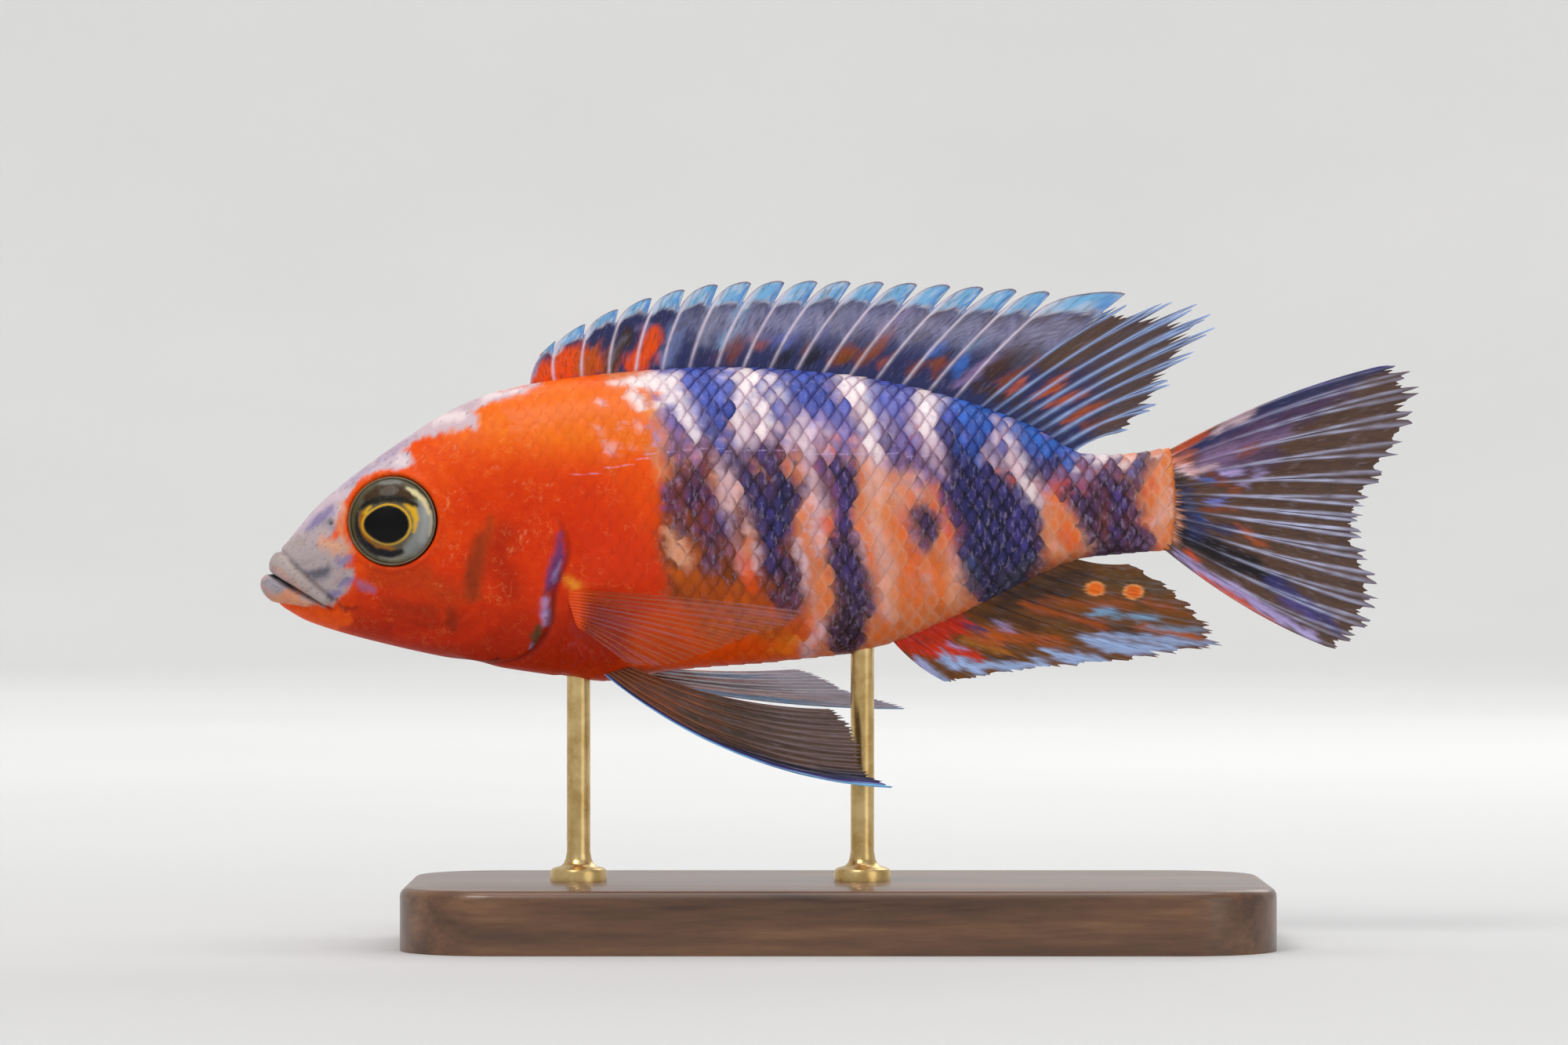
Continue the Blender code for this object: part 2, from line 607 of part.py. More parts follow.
def flesh():
    # The whole body with its lips, parted by thin walls into jaw, head, trunk and tail stem
    whole = body("whole")
    combine(whole, lip("upper_lip", **UPPER_LIP), "UNION")
    combine(whole, lip("lower_lip", **LOWER_LIP), "UNION")
    keep_largest(whole)
    for side in (-1, 1):
        combine(whole, eyeball("socket", side, GAP), "DIFFERENCE")
        opening = (NOSTRIL[0], side * flank_y(*NOSTRIL), NOSTRIL[1])
        combine(whole, ball("nostril", opening, NOSTRIL_RADIUS), "DIFFERENCE")
        combine(whole, gill_pocket(side), "DIFFERENCE")
    slope = [corner - front for corner, front in zip(MOUTH_CORNER, MOUTH_FRONT)]
    ahead = (MOUTH_FRONT[0] - slope[0], MOUTH_FRONT[1] - slope[1])
    under = (MOUTH_CORNER[0] + JAW_CUT[0], MOUTH_CORNER[1] + JAW_CUT[1])
    combine(whole, wall("mouth_cut", [ahead, MOUTH_FRONT, MOUTH_CORNER, under]), "DIFFERENCE")
    combine(whole, wall("neck_cut", NECK_LINE), "DIFFERENCE")
    combine(whole, wall("tail_cut", TAIL_LINE), "DIFFERENCE")
    looks = [("lower_jaw", (0.75, 0.62, 0.55)), ("head", (0.85, 0.33, 0.08)), ("trunk", (0.62, 0.3, 0.2)),
             ("tail_stem", (0.55, 0.4, 0.45))]
    pieces = []
    for group in loose_surfaces(whole.data)[:len(looks)]:
        mesh = whole.data.copy()
        keep_faces(mesh, group)
        middle = sum(vertex.co.x for vertex in mesh.vertices) / len(mesh.vertices)
        pieces.append((middle, mesh))
    pieces.sort(key=lambda piece: piece[0])
    for (middle, mesh), (name, colour) in zip(pieces, looks):
        made = bpy.data.objects.new(name, mesh)
        bpy.context.scene.collection.objects.link(made)
        finish(made, name, colour, 0.35)
    bpy.data.objects.remove(whole, do_unlink=True)


def base():
    length, width, height = BASE_SIZE
    outline = []
    for quarter, (sx, sy) in enumerate([(1, 1), (-1, 1), (-1, -1), (1, -1)]):
        for step in range(BASE_CORNER_STEPS + 1):
            angle = math.pi / 2 * (quarter + step / BASE_CORNER_STEPS)
            x = sx * (length / 2 - BASE_CORNER) + BASE_CORNER * math.cos(angle)
            y = sy * (width / 2 - BASE_CORNER) + BASE_CORNER * math.sin(angle)
            outline.append((x, y))
    count = len(outline)
    points = []
    for z, inset in [(0.0, 0.0), (height - BASE_CHAMFER, 0.0), (height, BASE_CHAMFER)]:
        for x, y in outline:
            points.append(Vector((x * (1 - 2 * inset / length), y * (1 - 2 * inset / width), z)))
    faces = [tuple(reversed(range(count))), tuple(range(2 * count, 3 * count))]
    for level in range(2):
        for index in range(count):
            after = (index + 1) % count
            low, high = level * count, (level + 1) * count
            faces.append((low + index, low + after, high + after, high + index))
    finish(object_from("stand_base", points, faces), "stand_base", (0.06, 0.045, 0.04), 0.35)


def rod(name, x, grown_body):
    foot = BASE_SIZE[2] + GAP
    shoulder = foot + ROD_COLLAR_HEIGHT
    profile = [(ROD_COLLAR_RADIUS, foot), (ROD_COLLAR_RADIUS, shoulder)]
    profile += [(ROD_RADIUS + extra, shoulder + rise) for extra, rise in ROD_FILLET]
    profile.append((ROD_RADIUS, along_line(BELLY_LINE, x) + ROD_OVERRUN))
    points = []
    for radius, z in profile:
        for side in range(ROD_SIDES):
            angle = 2 * math.pi * side / ROD_SIDES
            points.append(Vector((x + radius * math.cos(angle), radius * math.sin(angle), z)))
    levels = len(profile)
    faces = [tuple(reversed(range(ROD_SIDES))), tuple(range((levels - 1) * ROD_SIDES, levels * ROD_SIDES))]
    for level in range(levels - 1):
        for side in range(ROD_SIDES):
            after = (side + 1) % ROD_SIDES
            low, high = level * ROD_SIDES, (level + 1) * ROD_SIDES
            faces.append((low + side, low + after, high + after, high + side))
    made = object_from(name, points, faces)
    finish(rooted(made, grown_body), name, (0.72, 0.66, 0.5), 0.3, 1.0)


def main():
    clear_scene()
    flesh()
    for name, side in (("left", -1), ("right", 1)):
        finish(eyeball("eye_" + name, side), "eye_" + name, (0.35, 0.3, 0.2), 0.1)
        gill_cover("gill_cover_" + name, side)
    grown = fins()
    base()
    for name, x in ROD_PLACES.items():
        rod("stand_rod_" + name, x, grown)
    bpy.data.objects.remove(grown, do_unlink=True)


main()
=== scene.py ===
import math

import bpy
import numpy as np
from mathutils import Matrix, Vector


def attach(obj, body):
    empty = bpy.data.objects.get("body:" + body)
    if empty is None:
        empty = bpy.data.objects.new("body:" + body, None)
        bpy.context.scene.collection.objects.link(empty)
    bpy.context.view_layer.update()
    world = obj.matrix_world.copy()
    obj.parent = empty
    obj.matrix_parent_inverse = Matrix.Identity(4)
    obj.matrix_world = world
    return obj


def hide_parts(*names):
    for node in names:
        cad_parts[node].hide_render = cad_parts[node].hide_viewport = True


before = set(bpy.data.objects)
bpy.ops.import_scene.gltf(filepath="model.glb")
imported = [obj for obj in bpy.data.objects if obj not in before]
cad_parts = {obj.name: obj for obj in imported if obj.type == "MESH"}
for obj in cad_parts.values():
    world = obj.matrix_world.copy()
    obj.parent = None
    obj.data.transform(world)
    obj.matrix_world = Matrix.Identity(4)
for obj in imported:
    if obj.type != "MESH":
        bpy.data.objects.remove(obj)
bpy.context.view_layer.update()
print("frame loaded")

# Every length below is in millimetres; toMetres is used only where a mesh is written
toMetres = 0.001


def deselectAll():
    if bpy.context.mode != "OBJECT":
        bpy.ops.object.mode_set(mode="OBJECT")
    bpy.ops.object.select_all(action="DESELECT")


def newPiece(name):
    piece = bpy.context.active_object        # the primitive that was just added
    piece.name = name
    piece.data.name = name
    return piece


def readPoints(piece):
    flat = np.empty(len(piece.data.vertices) * 3)
    piece.data.vertices.foreach_get("co", flat)
    return flat.reshape(-1, 3)


def writePoints(piece, points):
    piece.data.vertices.foreach_set("co", (points * toMetres).ravel())
    piece.data.update()


def writeColours(piece, name, colours):
    layer = piece.data.attributes.new(name, "FLOAT_COLOR", "POINT")
    withAlpha = np.hstack([colours, np.ones((len(colours), 1))])
    layer.data.foreach_set("color", withAlpha.ravel())


def writeValues(piece, name, values):
    layer = piece.data.attributes.new(name, "FLOAT", "POINT")
    layer.data.foreach_set("value", np.asarray(values, float).ravel())


def writeVectors(piece, name, vectors):
    layer = piece.data.attributes.new(name, "FLOAT_VECTOR", "POINT")
    layer.data.foreach_set("vector", np.asarray(vectors, float).ravel())


def applyModifiers(piece):
    deselectAll()
    piece.select_set(True)
    bpy.context.view_layer.objects.active = piece
    for modifier in list(piece.modifiers):
        bpy.ops.object.modifier_apply(modifier=modifier.name)


def shadeSmooth(piece, degrees=None):
    deselectAll()
    piece.select_set(True)
    bpy.context.view_layer.objects.active = piece
    if degrees is None:
        bpy.ops.object.shade_smooth()
    else:
        bpy.ops.object.shade_smooth_by_angle(angle=math.radians(degrees))


def finishPiece(piece, material, nodes=()):
    piece.data.materials.clear()
    piece.data.materials.append(material)
    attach(piece, "root")
    if nodes:
        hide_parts(*nodes)


# Smooth curves, the same rules as the solids were made with

def alongLine(line, x):
    places = np.array([point[0] for point in line], float)
    heights = np.array([point[1] for point in line], float)
    last = len(line) - 1
    index = np.clip(np.searchsorted(places, x) - 1, 0, last - 1)
    before, after = np.maximum(index - 1, 0), np.minimum(index + 2, last)
    width = places[index + 1] - places[index]
    slope0 = (heights[index + 1] - heights[before]) / (places[index + 1] - places[before])
    slope1 = (heights[after] - heights[index]) / (places[after] - places[index])
    t = (x - places[index]) / width
    return (heights[index] * (1 + 2 * t) * (1 - t) ** 2 + heights[index + 1] * t * t * (3 - 2 * t)
            + slope0 * width * t * (1 - t) ** 2 - slope1 * width * t * t * (1 - t))


def alongPath(path, share):
    points = np.array(path, float)
    spans = len(points) - 1
    padded = np.vstack([2 * points[0] - points[1], points, 2 * points[-1] - points[-2]])
    place = np.clip(share, 0, 1) * spans
    index = np.minimum(place.astype(int), spans - 1)
    t = (place - index)[:, None]
    p0, p1, p2, p3 = (padded[index + step] for step in range(4))
    return 0.5 * (2 * p1 + (p2 - p0) * t + (2 * p0 - 5 * p1 + 4 * p2 - p3) * t * t
                  + (3 * p1 - p0 - 3 * p2 + p3) * t ** 3)


def ease(low, high, value):
    t = np.clip((value - low) / (high - low), 0, 1)
    return t * t * (3 - 2 * t)


def bump(value, width):
    return np.exp(-(value / width) ** 2)


def ripple(x, z, size, seed):
    # smooth wobble of about -1 to 1 with waves of the given size
    draw = np.random.default_rng(int(seed * 10))
    total = 0
    for _ in range(7):
        turn, start = draw.uniform(0, 2 * math.pi, 2)
        wave = draw.uniform(0.6, 1.6) * 2 * math.pi / size
        total = total + np.sin((x * math.cos(turn) + z * math.sin(turn)) * wave + start)
    return total / 3


# Paint: each colour has a tone for the middle of a scale, one for its edge, and how far in the edge tone comes

def linear(text):
    parts = np.array([int(text[place:place + 2], 16) for place in (1, 3, 5)]) / 255
    return np.where(parts <= 0.04045, parts / 12.92, ((parts + 0.055) / 1.055) ** 2.4)


palette = {
    "orange": ("#ee5000", "#e44600", 0.3), "tangerine": ("#f47008", "#ea6204", 0.3),
    "vermilion": ("#d82e00", "#cc2800", 0.3), "crimson": ("#981a00", "#881600", 0.3),
    "amber": ("#f4a030", "#e08420", 0.3), "ember": ("#c0560e", "#964008", 0.5),
    "rust": ("#8a4016", "#5e2c0c", 0.7), "umber": ("#422a18", "#2a1a10", 0.8),
    "ochre": ("#70420f", "#4c300a", 0.5), "olive": ("#4a4226", "#242216", 0.6),
    "salmon": ("#e27438", "#dc9c7c", 0.5), "salmonRed": ("#dc5426", "#e88a64", 0.7),
    "peach": ("#eca078", "#dcae98", 0.4), "blush": ("#eacad2", "#a87e98", 0.42),
    "pearl": ("#fbecea", "#b088a0", 0.24), "frost": ("#d2bec8", "#a89aa4", 0.3),
    "lilac": ("#b8a8e0", "#6e5ca8", 0.5), "mauve": ("#9478a8", "#54304c", 0.85),
    "violet": ("#54469c", "#201a44", 0.85), "violetGrey": ("#8478ac", "#4a4470", 0.7),
    "slate": ("#788092", "#444a5e", 0.7), "slateDark": ("#4a5062", "#2a2e3e", 0.8),
    "periwinkle": ("#4e60bc", "#1e2262", 0.6), "azure": ("#3a70cc", "#142c74", 0.55),
    "lilacBlue": ("#767ac2", "#36307c", 0.55), "indigo": ("#383672", "#141226", 0.95),
    "navy": ("#2c3260", "#14162e", 0.9), "plum": ("#4c3660", "#241620", 0.95),
    "night": ("#14121a", "#0c0a10", 0.9), "purple": ("#5e3a74", "#3a2450", 0.6),
    "periwinkleGrey": ("#6c78a8", "#464e7c", 0.6), "skyGrey": ("#7ea8cc", "#5478a0", 0.5),
    "snoutGrey": ("#b2a4a6", "#908488", 0.3),
    "iceBlue": ("#a4bcea", "#7890c4", 0.4), "mistGrey": ("#9492b4", "#5c5878", 0.6),
    "skyBlue": ("#86c8f8", "#c8e6fc", 0.4), "smoke": ("#5a4032", "#4a342a", 0.5),
    "lipGrey": ("#b2a4a0", "#94888a", 0.4), "peachLip": ("#d89478", "#c07c5c", 0.4),
    "eyeOlive": ("#4c4628", "#4c4628", 0), "eyeBrown": ("#3e2a16", "#3e2a16", 0),
    # the first tone on this line is a painted reflection on the eye
    "eyeDarkReflection": ("#17140c", "#17140c", 0), "eyeGrey": ("#868a88", "#868a88", 0),
    "eyeGold": ("#e4b01c", "#e4b01c", 0), "eyeAmber": ("#9a5e0c", "#9a5e0c", 0),
    "eyeSilver": ("#9ea2a0", "#9ea2a0", 0), "eyePale": ("#c0bea6", "#c0bea6", 0),
    # the first tone on this line is a painted highlight on the eye
    "eyeHighlightCream": ("#dccf9e", "#dccf9e", 0), "eyeSteel": ("#565040", "#565040", 0),
}
palette = {name: np.array([*linear(main), *linear(edge), spread]) for name, (main, edge, spread) in palette.items()}


def tone(name):
    return palette[name][:3]


def strokeMask(x, z, soft, path):
    # 1 inside a brush stroke through (x, z, half width) points, fading over soft
    nearest = np.full(x.shape, 1e9)
    for (x0, z0, w0), (x1, z1, w1) in zip(path, path[1:]):
        dx, dz = x1 - x0, z1 - z0
        t = np.clip(((x - x0) * dx + (z - z0) * dz) / (dx * dx + dz * dz), 0, 1)
        nearest = np.minimum(nearest, np.hypot(x - x0 - t * dx, z - z0 - t * dz) - w0 - t * (w1 - w0))
    return ease(-soft / 2, soft / 2, -nearest)


def paintOn(x, z, paint, marks, blur=0.0):
    for name, strength, soft, path in marks:
        fade = soft + blur
        reach = fade + max(point[2] for point in path)
        lowX, highX = min(p[0] for p in path) - reach, max(p[0] for p in path) + reach
        lowZ, highZ = min(p[1] for p in path) - reach, max(p[1] for p in path) + reach
        near = np.flatnonzero((x > lowX) & (x < highX) & (z > lowZ) & (z < highZ))
        mask = (strength * strokeMask(x[near], z[near], fade, path))[:, None]
        paint[near] += (palette[name] - paint[near]) * mask


# Brush strokes of the left side: colour, strength, softness, points of (x, z, half width)
groundMarks = [
    ("orange", 1, 1.4, [(-60, 51, 26), (-48, 51, 26.5)]),
    ("orange", 1, 1.4, [(-45, 68, 10), (-37.6, 68, 8.8)]),
    ("tangerine", 0.9, 6, [(-47, 67, 3), (-36.8, 68, 5.5), (-29.8, 66.3, 4.5)]),
    ("vermilion", 0.85, 9, [(-54, 42, 9), (-30, 45, 11)]),
    ("vermilion", 0.7, 7, [(-46.8, 56.3, 4), (-32.8, 56.3, 5)]),
    # painted shade: deep crimson along the bottom of the head, darker towards the bottom
    ("crimson", 0.7, 8, [(-60, 40, 3), (-46, 37, 5), (-30, 38, 5)]),
    ("periwinkle", 1, 1.2, [(-16.3, 70.8, 7.4), (-0.8, 70.3, 7.2), (11.2, 67.8, 6.6), (19.2, 65.5, 5.2),
                            (27.7, 61.3, 2.4)]),
    ("rust", 1, 1.4, [(-16.3, 56.3, 6.2), (-13.3, 48.3, 8.8), (-16.8, 51.3, 6)]),
    ("orange", 0.95, 3, [(-22, 38.5, 4.5), (-12, 39, 5), (-6, 39.5, 3)]),
    ("ember", 0.7, 2.4, [(-13.8, 41.3, 4), (-6.8, 41.3, 3)]),
    ("indigo", 1, 1.4, [(12.2, 61.3, 2.2), (17.2, 59.3, 4.5), (20, 54.3, 6.2), (20.7, 47.3, 4.8)]),
    ("plum", 1, 1.2, [(32.7, 60.3, 2.2), (33.2, 55.3, 5.2), (35.7, 51.3, 4.5)]),
    ("mauve", 0.9, 1, [(27.2, 59.3, 1.8), (31.7, 60.3, 1.6)]),
]
bodyMarks = [
    ("tangerine", 1, 1.6, [(-34.5, 67.5, 4.11), (-26.9, 66.3, 2.74), (-25.3, 64.4, 1.92)]),
    ("tangerine", 0.7, 1.4, [(-28.6, 69.1, 2.47), (-25.3, 65.2, 1.65)]),
    ("pearl", 0.8, 0.5, [(-28.8, 71.3, 0.33), (-27.5, 71.5, 0.44), (-26.1, 71.8, 0.55)]),
    ("pearl", 0.97, 0.6, [(-25.8, 71.4, 0.71), (-23.6, 71.7, 1.37), (-21.4, 71.1, 1.43)]),
    ("pearl", 0.95, 0.5, [(-26.1, 69.8, 0.71), (-25, 68.5, 0.66)]),
    ("pearl", 0.95, 0.5, [(-22.5, 68.5, 0.82), (-20.3, 69.1, 0.99), (-19.1, 67.2, 0.82),
                          (-17.9, 65, 0.77), (-17.6, 63.7, 0.38)]),
    ("tangerine", 0.9, 0.4, [(-25, 70.4, 0.38), (-24.7, 70.1, 0.38)]),
    ("tangerine", 0.9, 0.4, [(-22.8, 70.2, 0.44), (-22.5, 69.8, 0.38)]),
    ("amber", 0.7, 0.5, [(-23.6, 68, 0.55), (-22.8, 67.2, 0.44)]),
    ("blush", 0.75, 0.3, [(-30.3, 69.2, 0.25), (-29.6, 68.6, 0.33)]),
    ("blush", 0.6, 0.3, [(-30.4, 65.8, 0.14), (-29.6, 63.9, 0.27), (-28.6, 62.4, 0.33)]),
    ("blush", 0.6, 0.2, [(-28.6, 63.6, 0.25), (-27.5, 63.5, 0.16)]),
    ("blush", 0.5, 0.2, [(-26.4, 64.4, 0.14), (-26, 62.8, 0.14)]),
    ("blush", 0.5, 0.3, [(-27.8, 65.8, 0.27), (-26.9, 66.3, 0.22)]),
    ("blush", 0.6, 0.4, [(-25.7, 66.3, 0.27), (-25, 65.5, 0.33)]),
    ("mauve", 0.95, 0.5, [(-22.1, 67.7, 0.55), (-21.3, 67, 0.88), (-20.3, 65.6, 1.26),
                          (-20.6, 63.9, 1.15)]),
    ("lilac", 0.8, 0.4, [(-23.6, 66.3, 0.33), (-22.9, 65, 0.38), (-22.7, 63.6, 0.27)]),
    ("lilac", 0.6, 0.4, [(-20.6, 66.9, 0.38), (-20.1, 65, 0.38)]),
    ("periwinkle", 1, 0.5, [(-19, 71.7, 0.93), (-16.9, 71.4, 1.7), (-17.1, 69.1, 1.54),
                            (-15.1, 68.3, 1.21)]),
    ("periwinkle", 1, 0.5, [(-16.5, 66.9, 0.55), (-15.7, 65, 1.1), (-15, 63.6, 0.66)]),
    ("indigo", 0.7, 0.4, [(-16.6, 66.6, 0.44), (-16.4, 65.8, 0.38)]),
    ("blush", 0.8, 0.4, [(-20, 71.4, 0.33), (-19.3, 70.4, 0.33)]),
    ("pearl", 1, 0.6, [(-14.7, 72.8, 0.38), (-12.7, 72.8, 0.93), (-11.3, 71.4, 1.54),
                       (-12.4, 69.3, 0.93), (-12, 67.7, 1.04)]),
    ("pearl", 1, 0.5, [(-9.4, 69.1, 0.99), (-9.2, 67.2, 0.99), (-8, 65, 0.82)]),
    ("pearl", 0.95, 0.5, [(-8.1, 71.1, 0.88), (-6.9, 69.3, 0.66)]),
    ("blush", 0.95, 0.6, [(-13.5, 65.8, 0.71), (-11.8, 65.5, 0.93), (-9.4, 65.2, 1.21),
                          (-7.7, 64.7, 0.93)]),
    ("peach", 0.8, 0.4, [(-13.8, 67.2, 0.44), (-13.5, 65.5, 0.38)]),
    ("peach", 0.6, 0.4, [(-11.3, 68.3, 0.33), (-11, 66.9, 0.33)]),
    ("mauve", 0.7, 0.5, [(-12.3, 64.8, 0.55), (-10.5, 63.9, 0.6), (-11.3, 64.4, 0.44)]),
    ("periwinkle", 0.95, 0.4, [(-13.9, 70.9, 0.66), (-13.6, 70, 0.6)]),
    ("periwinkle", 1, 0.5, [(-9.4, 72.6, 0.38), (-6.4, 71.8, 1.1), (-3.6, 71, 1.48), (-1.4, 70.4, 1.48)]),
    ("lilacBlue", 0.95, 0.5, [(-6, 67.4, 0.77), (-3.8, 67.8, 1.15), (-1.4, 68.3, 0.93)]),
    ("blush", 0.95, 0.5, [(-5.5, 65, 0.93), (-2.5, 65, 1.26), (-0.9, 65.2, 0.82)]),
    ("lilac", 0.8, 0.4, [(-4.2, 66.6, 0.49), (-3.9, 65.2, 0.49)]),
    ("periwinkle", 0.95, 0.5, [(-2.3, 70.9, 0.99), (-1.4, 69.1, 0.99), (0.5, 70.4, 1.1)]),
    ("lilacBlue", 0.9, 0.5, [(-1.2, 66.7, 0.71), (1.2, 66.3, 1.15), (1.3, 68, 0.71)]),
    ("pearl", 1, 0.5, [(0.4, 72, 0.49), (2.4, 71.3, 1.65), (3.1, 69.1, 1.43), (3.9, 67.2, 1.21),
                       (2.8, 65.2, 0.77)]),
    ("pearl", 0.95, 0.5, [(4.9, 64.4, 1.21), (3.9, 61.7, 0.93), (3.8, 59.8, 0.77)]),
    ("blush", 0.6, 0.4, [(2.5, 69.3, 0.55), (3, 68.3, 0.55)]),
    ("peach", 0.6, 0.4, [(-0.2, 70.9, 0.22), (2.1, 68, 0.22), (2.4, 66.3, 0.27)]),
    ("lilacBlue", 1, 0.5, [(5.7, 70.7, 0.71), (7.5, 70.6, 0.99), (6.4, 67.7, 0.99), (7.9, 69.1, 0.71)]),
    ("lilacBlue", 0.95, 0.5, [(7.6, 64.3, 1.1), (6.2, 65.8, 0.71)]),
    ("blush", 0.7, 0.4, [(8.7, 67.7, 0.66), (9, 66.3, 0.6)]),
    ("pearl", 1, 0.5, [(9.7, 70.1, 0.6), (11.2, 69.3, 1.48), (10.9, 66.9, 1.21), (10.6, 65.2, 0.82)]),
    ("blush", 0.95, 0.5, [(12, 64.4, 0.99), (12.7, 61.9, 0.93), (13.5, 60.3, 0.55)]),
    ("tangerine", 0.95, 0.3, [(-0.8, 63.9, 0.36), (-0.7, 63.6, 0.3)]),
    ("tangerine", 0.95, 0.3, [(2.1, 63.6, 0.3), (2.3, 63.4, 0.27)]),
    ("tangerine", 0.85, 0.3, [(9.2, 63.2, 0.27), (9.4, 62.8, 0.25)]),
    ("azure", 1, 0.5, [(13.8, 69.8, 0.66), (16.4, 68.4, 1.43), (18.9, 67.2, 1.48), (21.1, 67.4, 0.71)]),
    ("azure", 1, 0.4, [(23.2, 65.8, 0.82), (24.8, 64.4, 0.66), (26.3, 62.5, 1.1), (27.9, 62.2, 0.93)]),
    ("azure", 0.75, 0.7, [(14.7, 65.2, 0.99), (15.2, 63, 0.93)]),
    ("azure", 0.6, 0.7, [(17.9, 64.7, 0.93), (17.5, 61.9, 1.1)]),
    ("pearl", 0.97, 0.5, [(20.6, 65.6, 0.66), (22, 64.4, 1.26), (21.6, 62.8, 1.1), (23, 60.8, 1.15),
                          (23.9, 58.4, 0.88)]),
    ("pearl", 0.8, 0.5, [(23.9, 58.4, 0.82), (25, 55.9, 0.71), (26, 54.5, 0.55)]),
    ("blush", 0.8, 0.5, [(19.1, 62.5, 0.71), (20, 60.8, 0.66)]),
    ("tangerine", 0.8, 0.3, [(21.3, 60.2, 0.22), (21.7, 59.6, 0.25)]),
    ("indigo", 0.9, 0.5, [(24.6, 60.8, 0.71), (25.7, 59.8, 0.82), (27.4, 60.3, 1.1)]),
    ("pearl", 0.95, 0.3, [(29.3, 62.7, 0.38), (31.2, 62.1, 0.71), (33.2, 61.9, 0.71)]),
    ("mauve", 0.85, 0.3, [(-20.9, 61.9, 0.44), (-20.3, 59.3, 0.41)]),
    ("mauve", 0.85, 0.3, [(-17.6, 61.9, 0.55), (-17.8, 59.8, 0.49)]),
    ("violet", 0.85, 0.3, [(-21.9, 58.4, 0.36), (-21.4, 55.6, 0.36)]),
    ("plum", 0.9, 0.7, [(-19.3, 59.2, 0.66), (-17.9, 57, 1.54), (-17.6, 55.4, 1.1)]),
    ("violet", 0.8, 0.3, [(-18.2, 58.1, 0.49), (-17.9, 55.6, 0.49)]),
    ("violet", 0.9, 0.3, [(-16, 58.4, 0.33), (-15.6, 55.9, 0.36)]),
    ("mauve", 0.8, 0.3, [(-20.1, 54.5, 0.33), (-20, 52.5, 0.3)]),
    ("plum", 0.85, 0.5, [(-16.5, 53.4, 1.1), (-15.1, 52.9, 1.1), (-14, 53.4, 0.99)]),
    ("violet", 0.85, 0.3, [(-17.6, 54.3, 0.38), (-17.2, 51.7, 0.41)]),
    ("violet", 0.7, 0.4, [(-14.6, 54.8, 0.44), (-14.1, 52.5, 0.44)]),
    ("mauve", 0.8, 0.4, [(-16, 50.3, 0.49), (-15.5, 47.4, 0.44)]),
    ("mauve", 0.6, 0.4, [(-13.8, 51.8, 0.38), (-14.3, 49.6, 0.38)]),
    ("peach", 0.92, 0.4, [(-21.4, 52.6, 0.55), (-20.6, 50.2, 0.88), (-19.3, 49.3, 0.88),
                          (-18.8, 48.4, 0.55)]),
    ("blush", 0.85, 0.3, [(-18.6, 49.6, 0.22), (-18.5, 48.2, 0.33), (-18.5, 47.4, 0.25)]),
    ("tangerine", 0.6, 0.7, [(-20.9, 47.4, 0.71), (-18.2, 46.3, 0.99)]),
    ("ember", 0.8, 0.8, [(-19.3, 45.5, 1.1), (-13.2, 45.5, 1.1)]),
    ("blush", 0.9, 0.3, [(-15.1, 62.5, 0.33), (-14.3, 60.8, 0.6), (-13.4, 59.2, 0.49),
                         (-12.6, 57.3, 0.41), (-12, 55.4, 0.33), (-11.3, 53.2, 0.36), (-10.8, 51, 0.44),
                         (-10.1, 48.5, 0.41), (-9.9, 47.4, 0.27)]),
    ("peach", 0.95, 0.4, [(-14.9, 59.2, 0.6), (-14.1, 57.1, 1.04), (-13.7, 55.6, 0.6)]),
    ("peach", 0.85, 0.4, [(-11, 52.5, 0.38), (-11.4, 50.3, 0.6), (-12, 48.5, 0.77), (-11, 47.4, 0.66)]),
    ("tangerine", 0.7, 0.4, [(-11.2, 52.1, 0.27), (-12, 49.9, 0.33), (-12.3, 48.5, 0.33)]),
    ("indigo", 0.97, 0.5, [(-13.8, 62.1, 0.82), (-12.1, 60.3, 1.43), (-10.3, 58.1, 1.97),
                           (-8.4, 55.4, 2.03), (-8, 52.6, 1.54), (-8.3, 49.9, 1.1), (-7.9, 47.4, 1.15)]),
    ("indigo", 0.97, 0.5, [(-9.1, 61.9, 1.26), (-6.9, 59.8, 1.43), (-6.1, 57, 1.43), (-4.4, 58.1, 1.15)]),
    ("violet", 0.9, 0.3, [(-10, 58.4, 0.38), (-9.8, 57, 0.36)]),
    ("violet", 1, 0.3, [(-8.9, 54.8, 0.38), (-8.3, 53.2, 0.44), (-8, 51.8, 0.33)]),
    ("violet", 0.9, 0.3, [(-6.4, 55.1, 0.38), (-6.1, 52.6, 0.38)]),
    ("violet", 0.8, 0.3, [(-7.7, 51, 0.33), (-7.5, 49.6, 0.33)]),
    ("violet", 0.8, 0.3, [(-12.4, 61.4, 0.44), (-12, 59.8, 0.44)]),
    ("violet", 0.8, 0.3, [(-7.3, 59.2, 0.38), (-7.1, 57, 0.38)]),
    ("tangerine", 0.8, 0.3, [(-9.2, 60, 0.38), (-9.1, 59.5, 0.33)]),
    ("rust", 0.8, 0.4, [(-12.4, 59.8, 0.38), (-12.1, 59.2, 0.33)]),
    ("blush", 0.95, 0.4, [(-5, 64.1, 0.66), (-3.9, 61.9, 0.77), (-2.7, 59.5, 0.66), (-2, 57.6, 0.55),
                          (-2.9, 54.5, 0.49), (-3.6, 52.6, 0.44)]),
    ("tangerine", 0.6, 0.4, [(-1.4, 62.4, 0.38), (-1.3, 61.5, 0.38)]),
    ("blush", 0.9, 0.4, [(-5.3, 51.5, 0.44), (-4.9, 49.6, 0.44), (-3.9, 46.6, 0.55), (-3, 44.4, 0.49),
                         (-2, 42.2, 0.55), (-2.8, 38.9, 0.6), (-4.2, 37, 0.55)]),
    ("salmon", 0.95, 0.4, [(-3.8, 51.5, 0.55), (-3.6, 49.6, 0.77), (-2.9, 47.4, 0.66),
